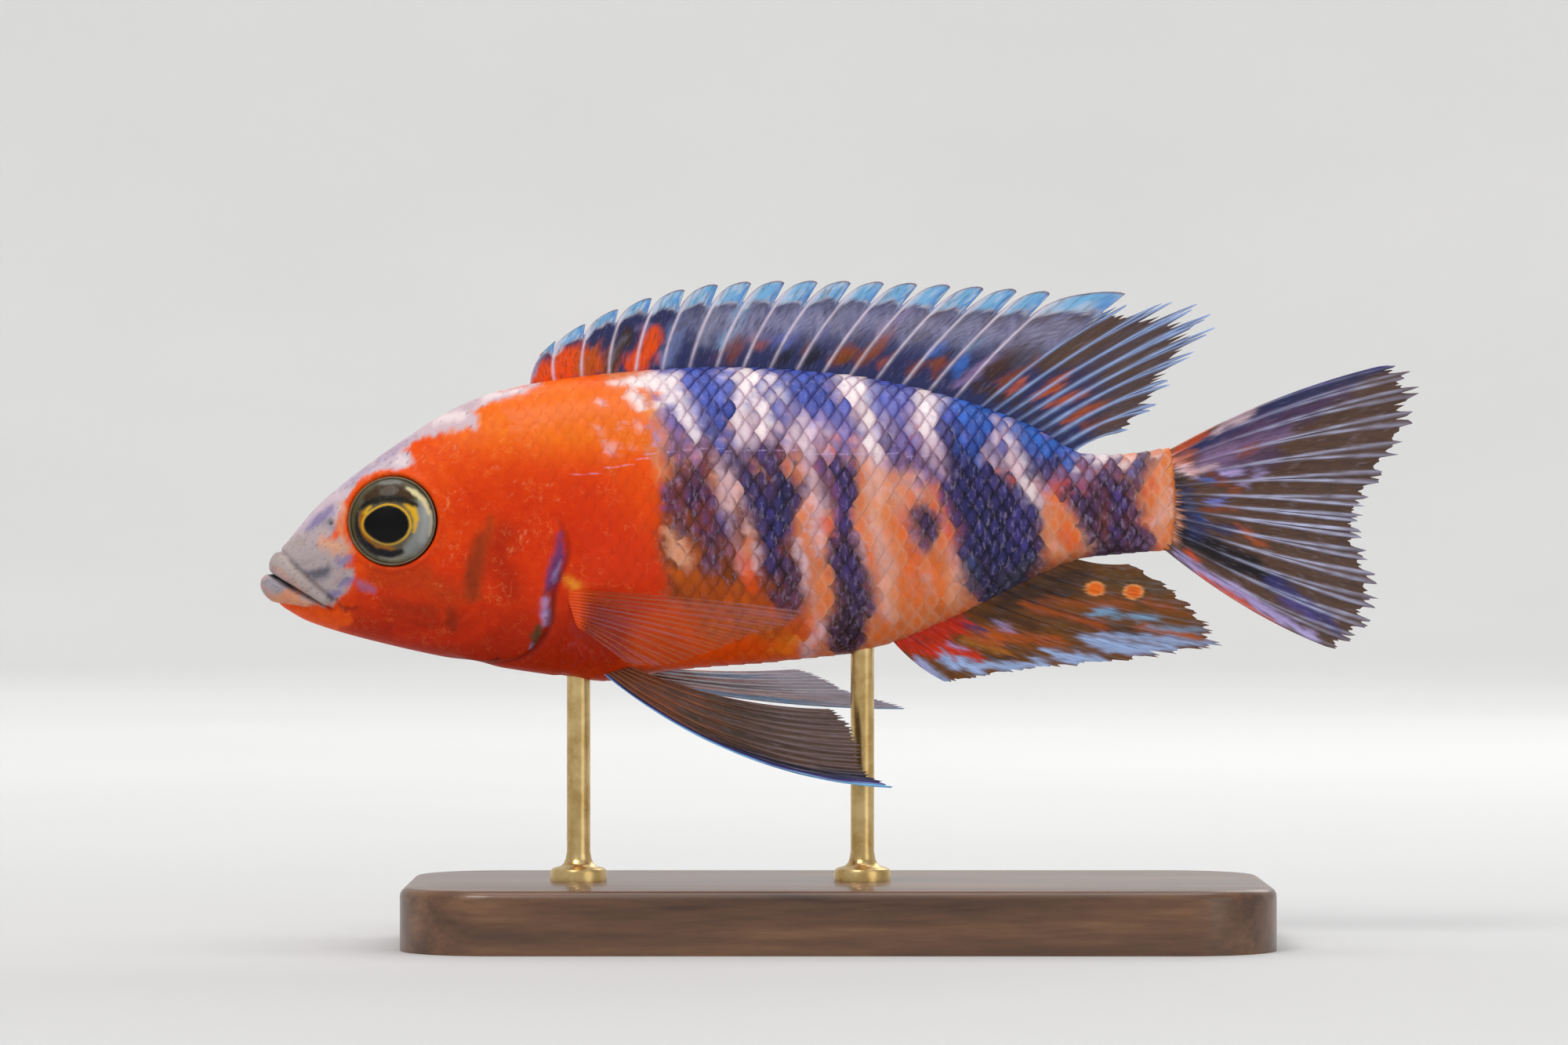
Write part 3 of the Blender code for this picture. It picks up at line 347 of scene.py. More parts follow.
                           (-1.8, 45.2, 0.6), (-1.4, 43.6, 0.44)]),
    ("tangerine", 0.75, 0.3, [(-3.7, 50.2, 0.33), (-3.5, 48.8, 0.33)]),
    ("plum", 0.85, 0.7, [(-6.4, 48.2, 1.1), (-5.3, 45.5, 1.26), (-5.8, 42.8, 1.37), (-7.5, 44.4, 1.1)]),
    ("mauve", 0.6, 0.4, [(-6.1, 48.8, 0.33), (-5.8, 46.9, 0.33)]),
    ("ember", 0.8, 0.8, [(-12.1, 42.2, 1.65), (-7.7, 38.9, 1.81), (-10.5, 37.8, 1.37)]),
    ("amber", 0.5, 0.8, [(-8.3, 37.5, 0.82), (-5.8, 38.4, 0.82)]),
    ("plum", 0.97, 0.5, [(0.5, 62.5, 0.93), (-0.1, 61.1, 1.48), (0.8, 59.2, 1.32), (1.3, 55.9, 1.26),
                         (-0.1, 52.6, 0.99), (0.2, 49.3, 1.7)]),
    ("plum", 0.97, 0.5, [(0.2, 49.3, 1.7), (1.7, 45.8, 1.81), (2.1, 42.5, 2.03), (0.6, 39.2, 2.3)]),
    ("plum", 0.8, 0.4, [(-2, 59.2, 0.38), (-1.2, 56.5, 0.6)]),
    ("violet", 0.8, 0.3, [(-1.7, 61.1, 0.49), (-1.2, 59.8, 0.44)]),
    ("violet", 0.9, 0.3, [(0.5, 61.1, 0.55), (0.8, 59.8, 0.49)]),
    ("violet", 0.9, 0.3, [(1.7, 55.6, 0.38), (1.9, 53.2, 0.36)]),
    ("violet", 0.8, 0.4, [(0.8, 48.2, 0.55), (0.9, 46.9, 0.49)]),
    ("lilac", 0.6, 0.3, [(4.4, 44.4, 0.25), (4.7, 41.9, 0.3)]),
    ("lilac", 0.7, 0.3, [(2.6, 51.5, 0.25), (2.7, 49.9, 0.27)]),
    ("umber", 0.7, 0.7, [(0.2, 40.8, 1.65), (3, 40.6, 0.99)]),
    ("salmonRed", 0.95, 0.4, [(-2.3, 53.7, 0.6), (-1.4, 53.2, 0.88), (-1.2, 52.5, 0.55)]),
    ("salmonRed", 0.85, 0.4, [(-2.3, 43.4, 0.44), (-1.6, 43.1, 0.49)]),
    ("blush", 0.8, 0.4, [(-2.8, 57, 0.38), (-2.3, 55.4, 0.38), (-2.5, 51.3, 0.38), (-2.3, 49.3, 0.38)]),
    ("violetGrey", 0.85, 0.5, [(5.4, 60.8, 0.71), (6.2, 59.8, 0.6)]),
    ("violet", 0.92, 0.5, [(6.2, 61.1, 0.82), (9.3, 61.1, 1.21), (11.5, 60.3, 1.15), (13.7, 59.5, 0.66)]),
    ("mauve", 0.8, 0.4, [(7.3, 59.5, 0.55), (8.7, 58.7, 0.44), (14.7, 59.8, 0.38)]),
    ("blush", 0.8, 0.4, [(10.1, 59.5, 0.44), (10.4, 57.6, 0.55)]),
    ("salmonRed", 0.7, 0.4, [(12.3, 58.9, 0.33), (12.4, 57.3, 0.6), (12.6, 56.2, 0.44)]),
    ("blush", 0.9, 0.4, [(4.4, 54.8, 0.55), (4.4, 53.2, 0.49)]),
    ("blush", 0.7, 0.3, [(3.3, 51, 0.3), (3.5, 47.1, 0.33), (4.1, 46, 0.33)]),
    ("blush", 0.6, 0.4, [(6.2, 58.1, 0.44), (8.2, 56.5, 0.55), (8.2, 54, 0.44)]),
    ("tangerine", 0.7, 0.3, [(6, 52.9, 0.36), (6.2, 49.9, 0.33)]),
    ("tangerine", 0.8, 0.3, [(4.1, 50.8, 0.36), (4.4, 48.8, 0.33)]),
    ("tangerine", 0.85, 0.3, [(8.4, 47.7, 0.41), (8.2, 44.9, 0.36), (8.2, 42.5, 0.36)]),
    ("tangerine", 0.8, 0.3, [(10.1, 46.3, 0.3), (10.9, 43.3, 0.3)]),
    ("tangerine", 0.8, 0.3, [(12.4, 48.5, 0.36), (12.9, 43.8, 0.33)]),
    ("tangerine", 0.8, 0.4, [(6.2, 42.2, 0.49), (5.9, 39.7, 0.44)]),
    ("tangerine", 0.75, 0.3, [(14.7, 52.1, 0.36), (14.1, 49.6, 0.36)]),
    ("tangerine", 0.5, 0.3, [(5.4, 47.4, 0.27), (5.7, 45.5, 0.27)]),
    ("blush", 0.5, 0.3, [(9.3, 48.8, 0.25), (9.5, 44.4, 0.25)]),
    ("blush", 0.5, 0.3, [(11.5, 47.7, 0.25), (11.7, 43.6, 0.25)]),
    ("blush", 0.5, 0.3, [(6.9, 48.8, 0.25), (7.1, 44.9, 0.25)]),
    ("plum", 0.95, 0.5, [(10, 55.2, 0.66), (11.7, 54.7, 1.15), (11.4, 52.6, 1.43), (10.7, 51.1, 0.71)]),
    ("night", 0.5, 0.5, [(11.7, 54, 0.6), (11.3, 52.6, 0.66)]),
    ("lilac", 0.6, 0.3, [(9.4, 53.7, 0.22), (9.6, 51.8, 0.22)]),
    ("lilac", 0.7, 0.3, [(13.4, 54, 0.27), (13.7, 52.6, 0.25)]),
    ("mauve", 0.5, 0.5, [(10.1, 50.4, 0.6), (11.9, 50.6, 0.55)]),
    ("indigo", 1, 0.5, [(16.1, 59.8, 0.99), (16.1, 57.6, 1.15), (18.6, 57.6, 1.65), (18.9, 54.8, 2.19),
                        (17.2, 52.6, 1.37), (19.1, 51, 2.52)]),
    ("indigo", 1, 0.5, [(20.5, 48.5, 2.19), (23.5, 49.9, 1.75), (24.2, 52.6, 1.26), (22.7, 55.1, 1.26)]),
    ("slateDark", 0.7, 0.8, [(16.7, 48.5, 0.82), (17.2, 45.8, 0.88), (19.7, 44.9, 1.1)]),
    ("slateDark", 0.8, 0.7, [(24.9, 48.5, 0.99), (22.7, 46.3, 1.21), (20.8, 44.9, 0.82)]),
    ("violet", 0.7, 0.3, [(16.4, 59.2, 0.38), (16.7, 57.6, 0.36)]),
    ("violet", 0.6, 0.3, [(20.2, 58.4, 0.33), (20.5, 57, 0.33)]),
    ("violetGrey", 0.5, 0.3, [(16.9, 54.5, 0.3), (17.2, 52.9, 0.3)]),
    ("azure", 0.5, 0.3, [(20, 49.9, 0.38), (20.2, 48.5, 0.33)]),
    ("azure", 0.4, 0.3, [(17.5, 49.3, 0.33), (17.6, 48, 0.33)]),
    ("olive", 0.5, 0.4, [(19.1, 56.5, 0.55), (19.5, 55.4, 0.6)]),
    ("mauve", 0.95, 0.5, [(26.8, 58.1, 0.93), (28.7, 59.5, 1.1), (30.9, 59.8, 1.1)]),
    ("salmonRed", 0.5, 0.4, [(30.9, 58.9, 0.55), (31.5, 57.6, 0.49)]),
    ("salmon", 0.97, 0.5, [(27.6, 56.5, 0.66), (28, 54.8, 1.26), (29.3, 52.6, 1.48), (29.8, 50.4, 1.21),
                           (29, 49.6, 0.71)]),
    ("tangerine", 0.9, 0.4, [(28.2, 56.2, 0.6), (28.2, 54.5, 0.66), (29.6, 53.2, 0.44)]),
    ("blush", 0.7, 0.3, [(27.4, 55.6, 0.16), (30.1, 55.4, 0.16)]),
    ("blush", 0.6, 0.4, [(28.2, 51.8, 0.38), (28.7, 50.4, 0.44)]),
    ("pearl", 0.95, 0.3, [(29.5, 62.4, 0.39), (31.2, 62.3, 0.39), (34.6, 62.1, 0.42),
                          (37.7, 62.2, 0.25)]),
    ("lilac", 0.6, 0.3, [(34, 61.3, 0.28), (34.8, 59.6, 0.34)]),
    ("violet", 0.8, 0.3, [(32, 57.7, 0.31), (32.1, 55.4, 0.31)]),
    ("violet", 0.7, 0.3, [(35.4, 57.7, 0.34), (35.7, 55.4, 0.34)]),
    ("lilacBlue", 0.8, 0.3, [(37.1, 55.6, 0.42), (37.4, 55.1, 0.39)]),
    ("violet", 0.6, 0.3, [(35.4, 52.9, 0.34), (35.7, 51.5, 0.34)]),
    ("tangerine", 0.85, 0.3, [(33.6, 60.5, 0.28), (33.7, 60, 0.28)]),
    ("tangerine", 0.8, 0.3, [(36.2, 60.6, 0.22), (36.4, 60.3, 0.2)]),
    ("rust", 0.85, 0.3, [(34.5, 54.3, 0.34), (34.7, 53.6, 0.31)]),
    ("rust", 0.8, 0.3, [(36.7, 51.2, 0.39), (37.2, 50.8, 0.28)]),
    ("rust", 0.8, 0.3, [(32.9, 53, 0.28), (33.1, 52.3, 0.22)]),
    ("navy", 0.95, 0.4, [(37.7, 60.2, 0.73), (39.2, 61.4, 0.73), (40.6, 61.9, 0.56)]),
    ("navy", 0.85, 0.4, [(37.9, 58.8, 0.67), (37.8, 57.7, 0.51)]),
    ("peach", 0.8, 0.4, [(31.2, 52.3, 0.45), (31.6, 50.4, 0.51)]),
    ("salmon", 1, 0.4, [(41.6, 60.7, 0.73), (41, 59.3, 0.95), (39.8, 57.1, 1.01), (40.5, 55.1, 1.12),
                        (39.8, 53.7, 0.95), (40.9, 51.9, 1.12), (41.4, 50.6, 0.62)]),
    ("salmonRed", 0.85, 0.4, [(40.9, 60.5, 0.51), (40.5, 59.1, 0.56), (39.3, 57.4, 0.45)]),
    ("salmonRed", 0.6, 0.4, [(39.3, 54, 0.39), (39.9, 52.3, 0.45), (41, 50.9, 0.34)]),
    ("blush", 0.75, 0.3, [(41.6, 55.7, 0.51), (40.6, 53.6, 0.56)]),
    ("blush", 0.8, 0.2, [(42.5, 57.9, 0.22), (42.4, 54.6, 0.22)]),
    ("mauve", 0.6, 0.4, [(37.9, 51.2, 0.73), (39.3, 50.3, 0.39)]),
    ("pearl", 0.9, 0.6, [(-12.7, 67.8, 0.68), (-12, 65.6, 0.78), (-11.1, 63.4, 0.58)]),
    ("pearl", 0.9, 0.6, [(-9.8, 68.1, 0.68), (-9.1, 66.4, 0.58)]),
    ("mauve", 0.85, 0.6, [(-9.1, 64.4, 0.88), (-7.6, 63.2, 0.78)]),
    ("pearl", 0.85, 0.5, [(-5.3, 65.4, 0.68), (-4.2, 63.7, 0.88)]),
    ("blush", 0.9, 0.5, [(-3.1, 65.1, 0.68), (-2, 63.4, 0.78)]),
    ("tangerine", 0.7, 0.3, [(-1, 64.3, 0.34), (-0.8, 63.9, 0.34)]),
    ("lilac", 0.7, 0.6, [(-0.6, 65.9, 0.78), (0.6, 64.2, 0.78)]),
    ("pearl", 0.95, 0.5, [(3.3, 68.1, 0.88), (4, 65.1, 0.97), (4.2, 61.7, 0.88)]),
    ("tangerine", 0.6, 0.4, [(2, 63.6, 0.44), (2.3, 63.2, 0.44)]),
    ("mauve", 0.8, 0.6, [(6, 66.1, 0.78), (7.5, 64.2, 0.78)]),
    ("tangerine", 0.7, 0.4, [(9.2, 65.1, 0.49), (9.6, 64.5, 0.49)]),
    ("pearl", 0.9, 0.5, [(10.9, 69, 0.78), (11.6, 66.6, 0.88), (12.3, 64.4, 0.68)]),
    ("plum", 0.8, 0.6, [(14, 66.1, 0.58), (14.5, 62.7, 0.68)]),
    ("blush", 0.9, 0.5, [(20.8, 65.1, 0.78), (22.1, 62.2, 0.88), (23, 59.8, 0.78)]),
    ("periwinkle", 0.8, 0.5, [(-20.8, 67.6, 0.68), (-20, 65.1, 0.58)]),
    ("pearl", 0.8, 0.4, [(-18.6, 65.9, 0.49), (-18.1, 63.9, 0.49)]),
    ("indigo", 0.8, 0.5, [(-16.4, 65.1, 0.68), (-14.9, 63.2, 0.68)]),
    ("indigo", 0.85, 0.5, [(-21, 61.7, 0.58), (-20.8, 57.8, 0.68), (-20, 54.4, 0.68), (-19.3, 52, 0.49)]),
    ("plum", 0.85, 0.5, [(-18.3, 61.7, 0.68), (-17.6, 57.8, 0.78), (-16.4, 53, 0.78), (-15.7, 48.6, 0.58)]),
    ("indigo", 0.7, 0.5, [(-16.4, 59.8, 0.58), (-15.9, 55.4, 0.58)]),
    ("blush", 0.85, 0.5, [(-14.7, 62, 0.49), (-14.3, 59.8, 0.58), (-14.1, 55.9, 0.68)]),
    ("ember", 0.8, 0.7, [(-18.3, 49.6, 0.97), (-18.3, 46.6, 1.17)]),
    ("peach", 0.85, 0.5, [(-20.5, 50.5, 0.78), (-18.7, 48.6, 0.68)]),
    ("indigo", 0.9, 0.5, [(-12, 61.2, 0.78), (-10.5, 56.9, 0.97), (-9.1, 52, 0.97), (-8.6, 49.1, 0.78)]),
    ("navy", 0.9, 0.5, [(-7.6, 61.7, 0.78), (-6.7, 57.8, 0.97), (-6.2, 53.9, 0.97)]),
    ("orange", 0.8, 0.6, [(-12.5, 50, 0.68), (-11.3, 47.6, 0.88), (-10.5, 45.7, 0.88)]),
    ("blush", 0.85, 0.5, [(-4.2, 62.2, 0.58), (-3.2, 58.8, 0.68), (-3.7, 55.9, 0.58)]),
    ("salmon", 0.9, 0.6, [(-3.7, 50, 0.78), (-2.8, 46.2, 0.88), (-1.5, 41.3, 0.68)]),
    ("orange", 0.7, 0.4, [(-1.9, 53.9, 0.49), (-1.5, 52.7, 0.49)]),
    ("indigo", 0.85, 0.5, [(-0.3, 61.2, 0.68), (1.1, 56.9, 0.88), (0.6, 53, 0.78)]),
    ("plum", 0.9, 0.6, [(0.6, 52, 1.27), (1.1, 47.1, 1.56), (2.1, 42.3, 1.85), (1.6, 38.9, 1.65)]),
    ("indigo", 0.6, 0.6, [(0.6, 50, 0.58), (2.6, 44.2, 0.68)]),
    ("blush", 0.85, 0.5, [(3.8, 61.2, 0.78), (4.5, 57.8, 0.78)]),
    ("peach", 0.7, 0.7, [(4.5, 55.9, 0.78), (6, 48.1, 0.97), (7, 42.3, 0.97)]),
    ("plum", 0.85, 0.6, [(11.4, 54.9, 1.46), (11.6, 52, 1.27)]),
    ("indigo", 0.8, 0.5, [(10.9, 53, 0.68), (11.8, 53.9, 0.68)]),
    ("salmonRed", 0.8, 0.5, [(13.8, 54.9, 0.68), (14.5, 51, 0.78)]),
    ("peach", 0.8, 0.6, [(14.8, 47.1, 0.78), (15.2, 44.2, 0.78)]),
    ("orange", 0.5, 0.6, [(8.7, 57.3, 0.68), (8.2, 53, 0.58), (10.1, 47.1, 0.68)]),
    ("indigo", 0.9, 0.6, [(16.7, 58.8, 1.17), (18.2, 53.9, 1.75), (20.1, 49.1, 1.95), (19.6, 46.2, 1.17)]),
    ("violet", 0.8, 0.6, [(22.5, 55.9, 1.46), (23.5, 52, 1.36)]),
    ("navy", 0.85, 0.5, [(25, 51, 0.97), (24, 48.1, 0.78)]),
    ("night", 0.6, 0.5, [(22.1, 56.9, 0.58), (20.6, 52, 0.68)]),
    ("blush", 0.85, 0.5, [(25, 57.8, 0.68), (26, 55.4, 0.68)]),
    ("orange", 0.8, 0.4, [(27.9, 58.1, 0.58), (28.5, 57.6, 0.58)]),
    ("salmon", 0.95, 0.5, [(28.4, 54.4, 1.36), (29.8, 51, 1.17)]),
    ("orange", 0.6, 0.4, [(29.1, 53, 0.58), (30.1, 50.8, 0.58)]),
    ("plum", 0.8, 0.5, [(32.3, 56.4, 0.68), (32.8, 52, 0.68)]),
    ("orange", 0.8, 0.8, [(-23.2, 37.4, 1.46), (-14.4, 37.2, 1.46), (-7.6, 37.6, 1.27)]),
    ("amber", 0.4, 0.6, [(-8.6, 36.9, 0.49), (-4.2, 38.4, 0.49)]),
    ("azure", 0.95, 0.5, [(23.5, 66.3, 1.1), (27.5, 64.3, 1.3), (30, 62.9, 1.0)]),
    ("pearl", 0.85, 0.5, [(31.6, 62.6, 0.4), (36, 62.3, 0.5), (40.5, 62.7, 0.4)]),
    ("violet", 0.75, 0.5, [(-21.5, 62.6, 0.5), (-15.6, 62.9, 0.6)]),
    ("indigo", 0.8, 0.5, [(-13.3, 62.9, 0.7), (-7.0, 63.1, 0.7)]),
    ("blush", 0.75, 0.5, [(-6.0, 63.2, 0.7), (-3.0, 62.6, 0.5)]),
    ("violetGrey", 0.8, 0.5, [(-2.6, 62.9, 0.6), (2.0, 62.9, 0.7)]),
    ("blush", 0.7, 0.4, [(2.8, 63.5, 0.6), (4.4, 61.8, 0.7)]),
    ("violetGrey", 0.8, 0.5, [(5.6, 62.7, 0.6), (8.6, 62.5, 0.7)]),
    ("rust", 0.55, 0.8, [(-21.0, 60.2, 0.7), (-20.6, 56.5, 0.9), (-19.4, 53.4, 0.9)]),
    ("ember", 0.5, 0.6, [(-17.3, 56.2, 0.5), (-16.6, 53.0, 0.6)]),
    ("violet", 0.7, 0.7, [(-1.2, 60.5, 0.6), (-0.2, 56.5, 0.9), (0.6, 53.5, 1.0)]),
    ("plum", 0.85, 0.9, [(0.8, 52.0, 1.3), (1.4, 48.5, 2.0), (2.2, 45.0, 2.5), (1.8, 41.8, 2.3), (0.6, 38.6, 1.9)]),
    ("violet", 0.5, 0.6, [(0.6, 49.5, 0.5), (2.6, 45.5, 0.6), (2.2, 42.0, 0.5)]),
    ("plum", 0.8, 1.0, [(10.5, 55.3, 1.3), (11.2, 52.2, 1.5), (11.4, 50.4, 0.7)]),
    ("peach", 0.6, 1.4, [(4.6, 59.0, 1.0), (4.8, 55.0, 1.1)]),
    ("peach", 0.5, 1.2, [(8.6, 59.2, 1.4), (7.6, 56.0, 1.0)]),
    ("peach", 0.6, 0.8, [(41.5, 60.0, 0.8), (41.8, 55.5, 0.9), (41.0, 52.0, 0.8)]),
    ("indigo", 0.8, 0.7, [(34.5, 60.8, 0.9), (38.0, 60.5, 1.2)]),
    ("azure", 0.55, 0.5, [(36.5, 61.1, 0.5), (38.8, 61.2, 0.4)]),
    ("rust", 0.6, 0.9, [(-19.4, 58.6, 0.4), (-19.0, 55.4, 0.6), (-18.2, 51.6, 0.5)]),
    ("ember", 0.6, 0.7, [(-16.4, 60.6, 0.4), (-15.8, 57.6, 0.4)]),
    ("rust", 0.5, 0.8, [(-12.6, 56.8, 0.4), (-11.8, 53.6, 0.5)]),
    ("ember", 0.6, 0.6, [(-7.0, 61.0, 0.35), (-6.8, 60.0, 0.35)]),
    ("rust", 0.55, 0.8, [(-0.8, 57.8, 0.4), (-0.4, 54.6, 0.5)]),
    ("umber", 0.45, 1.4, [(1.4, 45.0, 1.6), (1.8, 41.6, 1.8), (1.0, 38.6, 1.5)]),
    ("umber", 0.35, 1.2, [(17.6, 49.0, 1.0), (20.6, 46.4, 1.2), (22.4, 47.4, 0.8)]),
    ("violet", 0.5, 0.7, [(19.0, 60.4, 0.6), (18.4, 56.8, 0.7)]),
    ("blush", 0.5, 0.9, [(5.2, 52.6, 0.5), (5.8, 46.8, 0.6), (6.4, 41.6, 0.5)]),
    ("blush", 0.45, 0.8, [(14.6, 50.4, 0.5), (15.2, 46.4, 0.5)]),
    ("tangerine", 0.5, 0.8, [(9.2, 50.0, 0.5), (9.6, 44.0, 0.6)]),
    ("indigo", 0.95, 0.7, [(24.0, 54.2, 0.8), (24.9, 51.4, 1.0), (24.6, 48.8, 1.0)]),
    ("slateDark", 0.6, 0.8, [(23.6, 47.6, 0.9), (26.4, 48.6, 0.5)]),
    ("violet", 0.45, 0.8, [(-16.0, 62.3, 0.5), (-9.0, 62.6, 0.6), (-2.0, 61.8, 0.5)]),
    ("blush", 0.5, 0.7, [(-14.4, 55.4, 0.4), (-12.8, 51.6, 0.4), (-12.2, 48.2, 0.4)]),
    ("plum", 0.8, 0.8, [(25.0, 57.0, 0.3), (25.6, 53.6, 0.6), (25.8, 50.6, 0.7)]),
    ("umber", 0.5, 1.0, [(24.4, 46.8, 0.9), (28.0, 48.5, 0.5), (31.6, 49.1, 0.4)]),
    ("peach", 0.6, 0.7, [(27.0, 53.4, 0.4), (27.4, 50.6, 0.5), (29.0, 49.8, 0.5)]),
    ("plum", 0.7, 0.9, [(31.8, 53.6, 0.5), (32.0, 51.2, 0.6)]),
    ("rust", 0.6, 0.9, [(33.4, 58.4, 0.5), (34.0, 55.0, 0.6), (33.6, 51.6, 0.6)]),
    ("umber", 0.5, 1.0, [(33.8, 50.2, 0.8), (38.4, 50.2, 0.7)]),
    ("rust", 0.5, 0.8, [(36.6, 57.0, 0.5), (37.0, 53.4, 0.6)]),
    ("mauve", 0.55, 1.0, [(6.8, 62.6, 0.8), (12.6, 61.6, 0.8)]),
    ("blush", 0.5, 0.8, [(-5.8, 68.0, 0.5), (-4.8, 64.8, 0.6)]),
]
headMarks = [
    ("crimson", 0.55, 2.6, [(-42.2, 51.9, 1.76), (-42.8, 49, 1.47), (-41.3, 45.5, 1.47)]),
    ("rust", 0.35, 2.3, [(-58.4, 46.7, 1.47), (-52.5, 46.4, 1.76), (-49, 44.6, 1.47)]),
    # painted shade: dark rust and brown along the cheek groove
    ("rust", 0.5, 1.2, [(-43.8, 54.2, 0.4), (-44.8, 51.4, 1.0), (-45.8, 48.1, 1.3), (-46.3, 44.6, 1.1)]),
    ("umber", 0.4, 1.7, [(-44.9, 51.4, 0.3), (-45.9, 48.1, 0.7), (-46.3, 45.2, 0.7)]),
    ("umber", 0.4, 1.0, [(-48.9, 42.6, 0.6), (-48.8, 40.5, 0.7)]),
    ("umber", 0.3, 1.5, [(-57.2, 43.4, 0.76), (-51.3, 42.3, 0.88)]),
    ("vermilion", 0.5, 1.2, [(-43.7, 41.1, 0.88), (-48.4, 38.7, 0.88), (-55.7, 39.3, 0.88)]),
    ("frost", 1, 0.6, [(-71.6, 48.7, 2.35), (-68.9, 51.4, 2.79), (-66.3, 53.7, 2.35),
                       (-64.5, 55.8, 1.76)]),
    ("snoutGrey", 1, 0.6, [(-69.5, 47, 2.64), (-66, 47.8, 2.93), (-63.9, 49.3, 2.05), (-62.8, 50.8, 1.17)]),
    ("snoutGrey", 1, 0.6, [(-66.3, 44.9, 1.76), (-64.5, 44.6, 1.29), (-63.1, 45.5, 1), (-62.2, 47.2, 0.88)]),
    ("snoutGrey", 0.8, 1.6, [(-69.5, 49.6, 1.6), (-66.6, 51.4, 1.8), (-65.0, 53.6, 1.2)]),
    ("frost", 1, 0.5, [(-63.9, 56.6, 1.29), (-62.2, 58.7, 1), (-59.8, 60.5, 1), (-57.2, 61.6, 1.17),
                       (-55.1, 61.5, 1.06)]),
    ("frost", 0.95, 0.5, [(-56.6, 62.8, 0.88), (-54.6, 64.6, 0.88), (-52.5, 65.6, 1),
                          (-49.9, 66.2, 1.23), (-46.9, 66.9, 1.23), (-45.9, 66, 0.47)]),
    ("frost", 0.95, 0.5, [(-48.4, 67.9, 1.06), (-45.5, 69.3, 0.76), (-42.5, 70, 0.7),
                          (-39.6, 70.9, 0.53), (-38.1, 71.6, 0.35)]),
    ("pearl", 0.7, 0.8, [(-50.7, 66.5, 0.59), (-47.5, 67.2, 0.7)]),
    ("pearl", 0.7, 0.6, [(-44.9, 69.5, 0.41), (-39.6, 71, 0.35)]),
    ("pearl", 0.6, 0.7, [(-56, 61.6, 0.7), (-54.8, 61, 0.41)]),
    ("lipGrey", 0.8, 1.2, [(-70.4, 50.5, 0.59), (-68.3, 51.1, 0.76)]),
    ("peach", 0.7, 1.5, [(-65.1, 51.1, 0.7), (-63.4, 50.2, 1)]),
    ("orange", 0.85, 0.5, [(-60.1, 59, 0.23), (-61.6, 57.5, 0.29), (-62.1, 55.8, 0.41),
                           (-62.2, 53.4, 0.35), (-61.9, 51.4, 0.35)]),
    ("peach", 0.7, 0.8, [(-62.8, 55.8, 0.41), (-63.1, 52.8, 0.35), (-61.6, 49.9, 0.35)]),
    ("violetGrey", 0.8, 0.9, [(-67.2, 53.1, 0.41), (-65.7, 54, 0.76), (-64.5, 55.2, 0.65)]),
    ("slate", 0.5, 0.6, [(-64.5, 53.4, 0.35), (-64.2, 52.8, 0.29)]),
    ("violetGrey", 0.4, 0.7, [(-62.2, 58.4, 0.35), (-56.6, 62.8, 0.35), (-54.3, 64.6, 0.29)]),
    ("slateDark", 0.8, 0.9, [(-67.8, 47, 0.47), (-66.3, 47, 0.82), (-64.7, 47.4, 0.59)]),
    ("violetGrey", 0.75, 0.6, [(-63.2, 48.6, 0.47), (-61.9, 49, 0.41)]),
    ("violetGrey", 0.8, 0.5, [(-62.8, 45.8, 0.41), (-61.9, 46.4, 0.59)]),
    ("violetGrey", 0.8, 0.5, [(-63.8, 44.6, 0.53), (-63.2, 44.8, 0.41)]),
    ("violetGrey", 0.55, 0.8, [(-60.4, 45.5, 0.65), (-59.1, 45.2, 0.53)]),
    ("purple", 0.9, 0.8, [(-35.1, 52.0, 0.3), (-35.1, 49.4, 0.8), (-35.8, 47.2, 0.85),
                          (-36.6, 45.2, 0.5)]),
    ("lilac", 0.5, 0.4, [(-34.9, 48.6, 0.2), (-35.9, 46.4, 0.2)]),
    ("umber", 0.6, 0.8, [(-36.3, 45.4, 0.25), (-37.0, 44.4, 0.3)]),
    ("lilac", 0.85, 0.7, [(-36.9, 43.9, 0.3), (-37.1, 42.3, 0.55), (-37.1, 41.1, 0.3)]),
    ("olive", 0.9, 0.5, [(-37.8, 40.5, 0.47), (-38.3, 39.3, 0.59), (-38.8, 38.1, 0.35)]),
    ("lilac", 0.4, 0.4, [(-39.1, 37.9, 0.29), (-38.8, 38.3, 0.23)]),
    # painted shadow: dark line in the slit under the lower edge of the gill cover
    ("night", 0.8, 0.2, [(-47.5, 36, 0.12), (-45.2, 36, 0.18), (-42.7, 36.3, 0.12)]),
    ("umber", 0.75, 0.2, [(-64.5, 44.4, 0.12), (-62.7, 43, 0.15), (-61, 42.8, 0.09)]),
    ("crimson", 0.5, 0.5, [(-62.5, 42.8, 0.23), (-60.7, 42.6, 0.18)]),
    ("amber", 0.8, 1.2, [(-34.2, 46.6, 0.35), (-33.2, 45.6, 0.8)]),
    # painted shadow: soft dark brown along the rear edge of the gill cover
    ("umber", 0.45, 1.4, [(-36.2, 44.3, 0.4), (-36.4, 41.3, 0.5)]),
]
